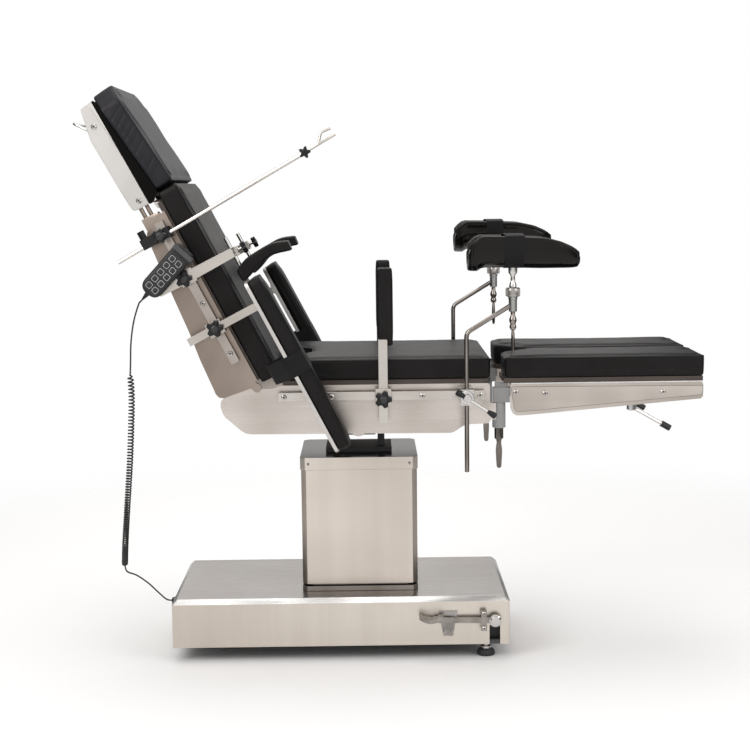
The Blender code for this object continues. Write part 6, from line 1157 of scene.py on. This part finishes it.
case_plan = rounded(box(-0.080, 0.080, 0.0305), [0.030, 0.016, 0.016, 0.030], 9)
case = [[Vector((x, -(HANDSET_BACK + depth), z)) for x, z in inward(case_plan, pull)] for pull, depth in CASE_STEPS]
part("handset_case_body", CASE_BLACK, "back", "black_plastic",
     [(skin, case), (turned, CORD_SLEEVE, (-(HANDSET_BACK + HANDSET_THICK / 2), 0.0), "X", 24)],
     nodes=("handset",), world=HANDSET)
part("handset_end_band", BAND_GREY, "back", "black_plastic",
     [(slab, rounded(box(0.0600, 0.0735, 0.0316), 0.0035, 3), "Y", HANDSET_FRONT - 0.0013, -(HANDSET_BACK + 0.0040))],
     world=HANDSET, edge=0.0014, segments=3)
part("handset_rail_hook", CASE_BLACK, "back", "black_plastic", [(slab, RAIL_HOOK, "X", -0.412, -0.388)], world=BACK,
     edge=0.0008)
keypad = box(KEYPAD_CENTRE - KEYPAD_HALF_LENGTH, KEYPAD_CENTRE + KEYPAD_HALF_LENGTH, KEYPAD_HALF_WIDTH)
part("handset_keypad_mat", KEY_BLACK, "back", "keypad_grey",
     [(slab, rounded(keypad, 0.007, 5), "Y", HANDSET_FRONT - 0.0006, HANDSET_FRONT + 0.0006)],
     nodes=("handset_keypad",), world=HANDSET, edge=0.0004)
key_places = [((KEYPAD_CENTRE + (column - 2) * COLUMN_PITCH, HANDSET_FRONT, (row - 0.5) * ROW_PITCH), (0.0, 0.0, 0.0))
              for column in range(KEY_COLUMNS) for row in range(KEY_ROWS)]


def key_loops(steps):
    """Rounded squares of a key at (half width, rise) steps."""
    return [[Vector((x, -rise, z)) for x, z in rounded(box(-half, half, half), half * 0.55, 4)]
            for half, rise in steps]


key = key_loops(((KEY_HALF, 0.0), (KEY_HALF, 0.0014), (KEY_HALF - 0.0005, 0.0018)))
key_frame = key_loops(((KEY_HALF - 0.0006, 0.0016), (KEY_HALF - 0.0006, 0.0021), (KEY_HALF - 0.0017, 0.0021),
                       (KEY_HALF - 0.0017, 0.0016)))
repeated("handset_keys", KEY_BLACK, "back", "keypad_grey", [(skin, key)], key_places, world=HANDSET)
repeated("handset_key_frames", KEY_FRAME, "back", "keypad_grey", [(skin, key_frame, True)], key_places, world=HANDSET)


# Mattress and pads: foam under stretched black leather, piped along the edges. Each is
# remeshed, let swell for a moment as cloth, and then piped and creased.

leather, leather_in, leather_out = effect_group("leather_grain", [("Size", FLOAT, 420.0)],
                                                [("Tone", FLOAT), ("Height", FLOAT)])
spot = put(leather, "ShaderNodeTexCoord")
cells = put(leather, "ShaderNodeTexVoronoi", {"Vector": spot.outputs["Object"], "Scale": leather_in.outputs["Size"]},
            feature="DISTANCE_TO_EDGE")
veins = put(leather, "ShaderNodeTexNoise", {"Vector": spot.outputs["Object"], "Scale": 14.0, "Detail": 5.0})
feed(leather, leather_out, {"Tone": veins.outputs["Fac"],
                            "Height": maths(leather, "MULTIPLY", cells.outputs["Distance"], 3.0, use_clamp=True)})
WARM_SHEEN = (1.0, 0.94, 0.89, 1.0)


def upholstery(name, dark, light, roughness, size=420.0, relief=0.00012, gloss=0.32):
    """Leather or coated fabric: fine cells with a soft change of tone."""
    look, tree, shader, grain = grained(name, leather, {"Size": size})
    tone = grain.outputs["Tone"]
    surfaced(tree, shader, mixed(tree, ranged(tree, tone, -0.4, 1.4), (*dark, 1.0), (*light, 1.0)),
             ranged(tree, tone, *roughness), grain.outputs["Height"], relief, 0.5, Specular_IOR_Level=gloss,
             Specular_Tint=WARM_SHEEN)
    return look


LEATHER = upholstery("black_leather_cover", (0.0045, 0.0044, 0.0047), (0.0095, 0.0092, 0.0097), (0.40, 0.50),
                     gloss=0.17)
LEATHER_BLUE = upholstery("blue_black_leather_cover", (0.0120, 0.0120, 0.0155), (0.0200, 0.0200, 0.0250),
                          (0.40, 0.50), gloss=0.2)
GLOSS_PAD = upholstery("gloss_pad_cover", (0.002, 0.002, 0.002), (0.004, 0.004, 0.004), (0.13, 0.18), size=300.0,
                       relief=0.00003, gloss=0.24)
FABRIC = upholstery("strap_webbing", (0.004, 0.004, 0.005), (0.011, 0.011, 0.013), (0.6, 0.75), size=900.0,
                    gloss=0.2)
# Painted shade: near-black for the wedge and skirts that fill the shaded gap under the head cushion.
GAP_SHADE_BLACK = upholstery("gap_painted_shade_black", (0.0015, 0.0015, 0.0015), (0.003, 0.003, 0.003), (0.7, 0.85),
                        gloss=0.1)
SKIRT_FACE = 0.2558
PIPING_RADIUS, PIPING_SIDES = 0.0013, 8
CLOTH_FRAMES = 20
CLOTH_CAP = 0.0035
CLOTH = {"quality": 4, "mass": 0.3, "tension_stiffness": 40.0, "compression_stiffness": 40.0,
         "shear_stiffness": 20.0, "bending_stiffness": 2.0, "use_pressure": True, "vertex_group_mass": "held"}
COVER_HALF, COVER_LOW, COVER_HIGH = 0.2575, 0.8003, 0.860


def layers(outline, steps, place):
    """Loops of an outline drawn in by each step's pull and set by its height."""
    return [[Vector(place(a, b, height)) for a, b in inward(outline, pull)] for pull, height in steps]


def upright(x, y, height):
    """Place of a plan's point at a height."""
    return x, y, height


def cushion_loops(outline, low, high, edge, crown):
    """Loops of a pad with a soft top edge and a slightly crowned top."""
    return layers(outline, ((edge * 0.9, low), (edge * 0.2, low + edge * 0.6), (0.0, (low + high) / 2),
                            (0.0, high - crown - edge * 0.7), (edge * 0.3, high - crown - edge * 0.2),
                            (edge, high - crown), (0.03, high)), upright)


def swell(piece, voxel, held, pressure, cap):
    """Even mesh let swell as cloth under pressure; held picks the points that stay."""
    firm = BVHTree.FromPolygons([vertex.co for vertex in piece.data.vertices],
                                [tuple(face.vertices) for face in piece.data.polygons])
    even = piece.modifiers.new("even_mesh", "REMESH")
    even.mode = "VOXEL"
    even.voxel_size = voxel
    even.use_smooth_shade = True
    settle(piece)
    start = [vertex.co.copy() for vertex in piece.data.vertices]
    group = piece.vertex_groups.new(name="held")
    group.add([index for index, place in enumerate(start) if held(place)], 1.0, "REPLACE")
    cloth = piece.modifiers.new("cover", "CLOTH")
    for key, value in CLOTH.items():
        setattr(cloth.settings, key, value)
    cloth.settings.uniform_pressure_force = pressure
    cloth.settings.effector_weights.gravity = 0.0
    cloth.point_cache.frame_start = 1
    cloth.point_cache.frame_end = CLOTH_FRAMES
    for number in range(1, CLOTH_FRAMES + 1):
        scene.frame_set(number)
    settle(piece)
    scene.frame_set(1)
    for vertex, place in zip(piece.data.vertices, start):
        move = vertex.co - place
        if move.length > cap:
            vertex.co = place + move * (cap / move.length)
    piece.vertex_groups.clear()
    fine = piece.modifiers.new("finer", "SUBSURF")
    fine.levels = 1
    fine.render_levels = 1
    settle(piece)
    for vertex in piece.data.vertices:
        near, normal = firm.find_nearest(vertex.co)[:2]
        if (vertex.co - near).dot(normal) < 0.0:
            vertex.co = near
    piece.data.polygons.foreach_set("use_smooth", [True] * len(piece.data.polygons))
    return piece


def creased(piece, creases):
    """Creases pressed along lines: start, end, width and depth of each."""
    lines = [(Vector(start), Vector(end), width, depth) for start, end, width, depth in creases]
    normals = [vertex.normal.copy() for vertex in piece.data.vertices]
    for vertex, normal in zip(piece.data.vertices, normals):
        push = 0.0
        for start, end, width, depth in lines:
            run = end - start
            share = (vertex.co - start).dot(run) / run.length_squared
            if not -0.1 < share < 1.1:
                continue
            gap = (vertex.co - start - run * share).length
            if gap > 3 * width:
                continue
            fade = max(0.0, min(1.0, (share + 0.1) * 5, (1.1 - share) * 5))
            push += depth * fade * (1.4 * 2.718 ** (-(gap / width) ** 2) - 0.5 * 2.718 ** (-(gap / width / 2) ** 2))
        vertex.co -= normal * push


def piped(piece, outline, high):
    """Bead laid on the cover along an outline's upper edge, joined into the same mesh."""
    form = bmesh.new()
    form.from_mesh(piece.data)
    form.faces.ensure_lookup_table()
    surface = BVHTree.FromBMesh(form)
    path = []
    for point, way in zip(outline, outward_of(outline)):
        out_way = Vector((way.x, way.y, 1.0)).normalized()
        start = Vector((point[0], point[1], high)) + out_way * 0.03
        hit = surface.ray_cast(start, -out_way)[0]
        if hit is not None:
            path.append(hit + out_way * PIPING_RADIUS * 0.25)
    loops = []
    for index, point in enumerate(path):
        heading = (path[(index + 1) % len(path)] - path[index - 1]).normalized()
        side = (Vector((0, 0, 1)) - heading * heading.z).normalized()
        other = heading.cross(side)
        loops.append([point + (side * cos(turn) + other * sin(turn)) * PIPING_RADIUS
                      for turn in circle(PIPING_SIDES)])
    skin(form, loops, closed=True)
    for face in form.faces:
        face.smooth = True
    form.to_mesh(piece.data)
    form.free()


def evenly(outline, step):
    """Closed outline with its points at an even step."""
    path = even_route([Vector((x, y, 0)) for x, y in [*outline, outline[0]]], step)
    return [(point.x, point.y) for point in path[:-1]]


def mattress(name, outline, low, high, body, node, world=None, edge=0.005, crown=0.0025, voxel=0.006, creases=(),
             look=LEATHER, lean=None):
    """Foam section of the mattress in its cover, piped at its upper edge."""
    loops = cushion_loops(inward(outline, 0.002), low + 0.0004, high - 0.001, edge, crown)
    piece = shaped(name, look, [(skin, loops)])
    swell(piece, voxel, lambda place: place.z < low + edge * 0.5, 4.0, CLOTH_CAP)
    creased(piece, creases)
    piped(piece, evenly(outline, 0.006), high - crown)
    if lean:
        for vertex in piece.data.vertices:
            share = (vertex.co.x - lean[0]) / (lean[1] - lean[0])
            vertex.co.z += max(0.0, (high - vertex.co.z) / (high - low)) * (lean[2] + (lean[3] - lean[2]) * share)
    if world is not None:
        placed(piece, world)
    fitted(piece, body, "black_leather", node)


seat_plan = rounded([(-0.292, -COVER_HALF), (0.2815, -COVER_HALF), (0.2815, COVER_HALF), (-0.292, COVER_HALF),
                     (-0.292, 0.092), (-0.222, 0.062), (-0.222, -0.062), (-0.292, -0.092)],
                    [0.012, 0.012, 0.012, 0.012, 0.02, 0.03, 0.03, 0.02])
mattress("seat_mattress", evenly(seat_plan, 0.012), COVER_LOW, COVER_HIGH, "seat", "seat_cushion")
for label, side in SIDES:
    leg_plan = rounded([(0.3165, side * COVER_HALF), (0.3165, side * 0.100), (0.390, side * 0.0205),
                        (0.873, side * 0.0205), (0.873, side * COVER_HALF)], [0.012, 0.03, 0.03, 0.014, 0.014])
    mattress(f"leg_mattress_{label}", evenly(leg_plan, 0.012), COVER_LOW, COVER_HIGH, f"leg_{label}",
             f"leg_cushion_{label}")
back_plan = rounded([(-0.600, -COVER_HALF), (-0.002, -COVER_HALF), (-0.002, COVER_HALF), (-0.600, COVER_HALF)],
                    0.014)
back_creases = []
for side in (-1, 1):
    for number in range(9):
        x = -0.030 - 0.0210 * number + 0.004 * sin(5.0 * number)
        back_creases.append(((x, side * COVER_HALF, 0.024),
                             (x - 0.016, side * COVER_HALF, 0.056 + 0.006 * sin(4.0 * number)),
                             0.0032, 0.0012 + 0.0004 * sin(3.0 * number)))
mattress("back_mattress", evenly(back_plan, 0.012), 0.018, 0.078, "back", "back_cushion", world=BACK,
         creases=back_creases)
head_plan = rounded([(-0.3075, -0.2095), (-0.2595, -COVER_HALF), (0.003, -COVER_HALF), (0.003, COVER_HALF),
                     (-0.2595, COVER_HALF), (-0.3075, 0.2095)], 0.010)
head_creases = []
for side in (-1, 1):
    for number in range(11):
        x = -0.268 + 0.0235 * number + 0.004 * sin(7.0 * number)
        head_creases.append(((x, side * COVER_HALF, 0.055 + 0.004 * sin(5.0 * number)),
                             (x - 0.024, side * COVER_HALF, 0.101), 0.0034, 0.0013 + 0.0005 * sin(3.0 * number)))
mattress("head_mattress", evenly(head_plan, 0.012), 0.0465, 0.1095, "head", "head_cushion", world=HEAD,
         creases=head_creases, look=LEATHER_BLUE, lean=(-0.3075, 0.003, -0.0030, 0.0100))
# The wedge fills the gap under the tilted head cushion; its near-black, and that of the skirts on the plate's sides,
# is painted shade of that gap.
wedge_plan = rounded([(-0.2935, -0.205), (-0.2510, -0.2475), (-0.0050, -0.2475), (-0.0050, 0.2475),
                      (-0.2510, 0.2475), (-0.2935, 0.205)], 0.008)
WEDGE_LOW, WEDGE_HIGH = 0.0424, 0.0490
wedge = layers(wedge_plan, ((0.001, WEDGE_LOW), (0.0, WEDGE_LOW + 0.001), (0.0, WEDGE_HIGH - 0.001),
                            (0.002, WEDGE_HIGH)), upright)
for point in (point for loop in wedge[2:] for point in loop):
    point.z += 0.0125 * (point.x + 0.2935) / 0.2885 - 0.0035
head_wedge = part("head_wedge_foam", GAP_SHADE_BLACK, "head", "black_leather", [(skin, wedge)], world=HEAD)
SKIRT = rounded([(-0.2900, 0.0385), (0.0215, 0.0185), (0.0242, 0.0215), (0.0242, 0.0320), (0.0040, 0.0560),
                 (-0.2900, 0.0452)], 0.002, 3)
for label, side in SIDES:
    part(f"head_wedge_skirt_{label}", GAP_SHADE_BLACK, "head", "black_leather",
         [(slab, SKIRT, "Y", *across(side, 0.2490, SKIRT_FACE))], world=HEAD, edge=0.0006)


# Straps: flat woven webbing sewn into closed loops round the arm boards and the knee pads.

STRAP_THICK = 0.0022
STRAP_CORNERS = ((-0.5, -0.5), (0.5, -0.5), (0.5, 0.5), (-0.5, 0.5))


def webbing(form, path, width):
    """Closed flat band round a path, its width along X."""
    along = Vector((1, 0, 0))
    loops = []
    for index, point in enumerate(path):
        heading = (path[(index + 1) % len(path)] - path[index - 1]).normalized()
        out_way = heading.cross(along).normalized()
        loops.append([point + along * (width * a) + out_way * (STRAP_THICK * b) for a, b in STRAP_CORNERS])
    skin(form, loops, closed=True)


def strap(name, path, width, body, world=None):
    """Webbing loop as a piece of its own on a body."""
    piece = part(name, FABRIC, body, "black_leather", [(webbing, path, width)], world=world, edge=0.0004)


# Arm board pads and their loops: the pad is piped all round; the loop hangs slack below.

ARM_LOW, ARM_HIGH = 0.1313, 0.169
ARM_INNER, ARM_OUTER = 0.3150, 0.4300
ARM_ENDS = (0.244, -0.276)
STRAP_DROP = 0.061
ARM_LOOP = rounded([(ARM_INNER - 0.0015, ARM_HIGH + 0.0004), (ARM_INNER - 0.0015, STRAP_DROP),
                    (ARM_INNER + 0.050, STRAP_DROP), (ARM_OUTER + 0.0015, 0.118),
                    (ARM_OUTER + 0.0015, ARM_HIGH + 0.0004)], [0.008, 0.022, 0.03, 0.012, 0.008], 6)
for label, side in SIDES:
    plan = rounded([(ARM_ENDS[0], side * ARM_INNER), (ARM_ENDS[0], side * ARM_OUTER),
                    (ARM_ENDS[1], side * ARM_OUTER), (ARM_ENDS[1], side * ARM_INNER)], 0.024, 7)
    mattress(f"arm_pad_{label}", evenly(plan, 0.008), ARM_LOW, ARM_HIGH, f"arm_{label}", f"arm_cushion_{label}",
             world=BACK, edge=0.007, voxel=0.005)
    path = [Vector((-0.020, side * y, up)) for y, up in evenly(ARM_LOOP, 0.005)]
    strap(f"arm_strap_{label}", path, 0.058, f"arm_{label}", world=BACK)


# Knee pads of the leg holders: a moulded trough with a rolled rim on a steel pan, a stem
# that drops into the coupling, and a wide strap over the open top.

PAD_X, PAD_LENGTH = 0.213, 0.300
PAD_LOW, PAD_TALL, PAD_HALF, PAD_WALL = 1.100, 0.094, 0.070, 0.015
RIM_RADIUS = 0.0058
ROLL_STEPS = 30
PAD_SHAPE = ((0.0, 0.02, 0.52, 0.80), (0.035, 0.0, 0.82, 0.92), (0.090, 0.0, 0.96, 0.98), (0.120, 0.10, 1.0, 1.0),
             (0.30, 0.10, 0.99, 1.0), (0.65, 0.06, 0.94, 0.96), (0.80, 0.06, 0.84, 0.90), (0.90, 0.06, 0.70, 0.80),
             (0.96, 0.07, 0.58, 0.68), (0.99, 0.10, 0.48, 0.54), (1.0, 0.16, 0.38, 0.40))
TROUGH_STEPS = 36
PAD_BELLY = 0.7
STRAP_GAP = 0.0014
STEM_SHAPE = ((0.0073, 1.0411), (0.0073, 1.0550), (0.0100, 1.0556), (0.0098, 1.0630), (0.0062, 1.0700),
              (0.0060, 1.0860), (0.0120, 1.0950), (0.0125, 1.1080))


def half_circle(count):
    """Even turns of a half circle, with both ends."""
    return [pi * index / count for index in range(count + 1)]


def pad_levels(along):
    """Low, high and half-width shares of the knee pad at a share of its length."""
    for before, after in zip(PAD_SHAPE, PAD_SHAPE[1:]):
        if along <= after[0]:
            share = (along - before[0]) / (after[0] - before[0])
            return [a + (b - a) * share for a, b in zip(before[1:], after[1:])]
    return PAD_SHAPE[-1][1:]


def trough(y, rise):
    """Loops of the knee pad's trough along its length."""
    loops = []
    for step in range(TROUGH_STEPS + 1):
        along = step / TROUGH_STEPS
        low, high, half = pad_levels(along)
        bottom, top = PAD_LOW + PAD_TALL * low + rise, PAD_LOW + PAD_TALL * high + rise
        depth = min(PAD_WALL, (top - bottom) * 0.6, half * PAD_HALF * 0.6)
        loop = []
        for pull, order in ((0.0, 1), (depth, -1)):
            arc = [Vector((PAD_X + PAD_LENGTH * along, y + (half * PAD_HALF - pull) * cos(turn),
                           top - (top - bottom - pull) * sin(turn) ** PAD_BELLY)) for turn in half_circle(24)]
            loop.extend(arc[::order])
        loops.append(loop)
    return loops


def rolled_rim(form, y, rise):
    """Round roll along both long edges of the trough and round its two ends."""
    path = []
    for start, end, turns in ((0.03, 0.97, 0.0), (0.97, 0.97, None), (0.97, 0.03, pi), (0.03, 0.03, None)):
        for step in range(ROLL_STEPS):
            share = step / ROLL_STEPS
            along = start + (end - start) * share
            turn = turns if turns is not None else pi * share if start > 0.5 else pi * (1 - share)
            low, high, half = pad_levels(along)
            bottom, top = PAD_LOW + PAD_TALL * low + RIM_RADIUS, PAD_LOW + PAD_TALL * high - RIM_RADIUS * 0.7
            path.append(Vector((PAD_X + PAD_LENGTH * along, y + (half * PAD_HALF - RIM_RADIUS * 0.6) * cos(turn),
                                top - (top - bottom) * sin(turn) ** PAD_BELLY + rise)))
    bar(form, path + path[:2], RIM_RADIUS, 16)


def stuffed(name, look, body, loops, voxel, cap, nodes=(), pressure=1.5, held=lambda place: False, world=None):
    """Moulded pad let swell a little, set in place and fitted to its body."""
    piece = swell(shaped(name, look, [(skin, loops)]), voxel, held, pressure, cap)
    if world is not None:
        placed(piece, world)
    fitted(piece, body, "black_leather", *nodes)


for label, side in SIDES:
    y, rise = side * HOLDER_Y, RAISED[label]
    body = f"holder_pad_{label}"
    stuffed(f"knee_pad_{label}", GLOSS_PAD, body, trough(y, rise), 0.0045, 0.0012, nodes=(body,))
    part(f"knee_pad_roll_{label}", GLOSS_PAD, body, "black_leather", [(rolled_rim, y, rise)])
    part(f"knee_pad_stem_{label}", CHROME, body, "polished_steel",
         [(turned, moved(STEM_SHAPE, rise), (HOLDER_TOP_X, y), "Z", 40)])
    low, rim = PAD_LOW + PAD_TALL * 0.10 - 0.0012 + rise, PAD_LOW + PAD_TALL + rise
    reach = PAD_HALF + STRAP_GAP
    loop = [(y + reach * cos(turn), rim - (rim - low) * sin(turn) ** PAD_BELLY) for turn in half_circle(32)]
    loop += [(y - reach * cos(turn), rim + 0.005 * sin(turn)) for turn in half_circle(24)[1:-1]]
    strap(f"knee_strap_{label}", [Vector((0.3345, a, b)) for a, b in evenly(loop, 0.004)], 0.051, body)


# Hip supports: an upright pad on a flat bar that slides in the rail clamp.

HIP_X, HIP_PAD_X = -0.0175, -0.010
HIP_PAD_STEPS = ((0.004, 0.2550), (0.0, 0.2520), (0.0, 0.2110), (0.006, 0.2070), (0.012, 0.2055))
HIP_BAR = rounded([(HIP_X - 0.0125, 0.684), (HIP_X + 0.0125, 0.684), (HIP_X + 0.0125, 0.9145),
                   (HIP_X - 0.0125, 0.9145)], 0.004, 3)
HIP_ARM = ((HIP_X - 0.012, 0.896), (HIP_X + 0.012, 0.896), (HIP_X + 0.012, 0.914), (HIP_X - 0.012, 0.914))
HIP_PAD = rounded([(HIP_PAD_X - 0.0205, 0.894), (HIP_PAD_X + 0.0205, 0.894), (HIP_PAD_X + 0.0205, 1.107),
                   (HIP_PAD_X - 0.0205, 1.107)], 0.007, 5)
for label, side in SIDES:
    body = f"hip_support_{label}"
    part(f"hip_bar_{label}", RAIL_STEEL, body, "polished_steel",
         [(slab, HIP_BAR, "Y", *across(side, 0.2865, 0.2915)), (slab, HIP_ARM, "Y", *across(side, 0.2450, 0.2868))],
         nodes=(body,), edge=0.0005)
    stuffed(f"hip_pad_{label}", LEATHER, body,
            layers(HIP_PAD, HIP_PAD_STEPS, lambda x, z, out_y: (x, side * out_y, z)), 0.004, 0.0015, pressure=4.0,
            held=lambda place: abs(place.y) > 0.253)


# Shoulder supports: curved moulded pads on cross rods.

SHOULDER_SHAPE = ((0.0, 0.02), (0.58, 0.0), (0.80, 0.14), (0.92, 0.27), (1.0, 0.73), (0.70, 1.0), (0.23, 0.98),
                  (0.47, 0.72), (0.42, 0.41), (0.13, 0.19))
SHOULDER_ROUND = [0.008, 0.008, 0.03, 0.03, 0.04, 0.0045, 0.0045, 0.03, 0.03, 0.03]
SHOULDER_STEPS = ((0.004, -0.038), (0.001, -0.0355), (0.0, -0.032), (0.0, 0.032), (0.001, 0.0355), (0.004, 0.038))
SHOULDER_PLAN = rounded([(-(0.273 + 0.060 * a), 0.102 + 0.165 * b) for a, b in SHOULDER_SHAPE], SHOULDER_ROUND, 5)
for label, side in SIDES:
    body, y = f"shoulder_pad_{label}", side * SHOULDER_Y
    stuffed(f"shoulder_cushion_{label}", LEATHER, body,
            layers(SHOULDER_PLAN, SHOULDER_STEPS, lambda x, z, out_y: (x, y + out_y, z)), 0.004, 0.001,
            nodes=(body,), world=BACK)
    part(f"shoulder_rod_{label}", CHROME, body, "polished_steel",
         [(bar, [(-0.300, y, 0.117), (-0.404, y, 0.117)], 0.0055, 24)], world=BACK)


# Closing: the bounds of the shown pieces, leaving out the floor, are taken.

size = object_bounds()
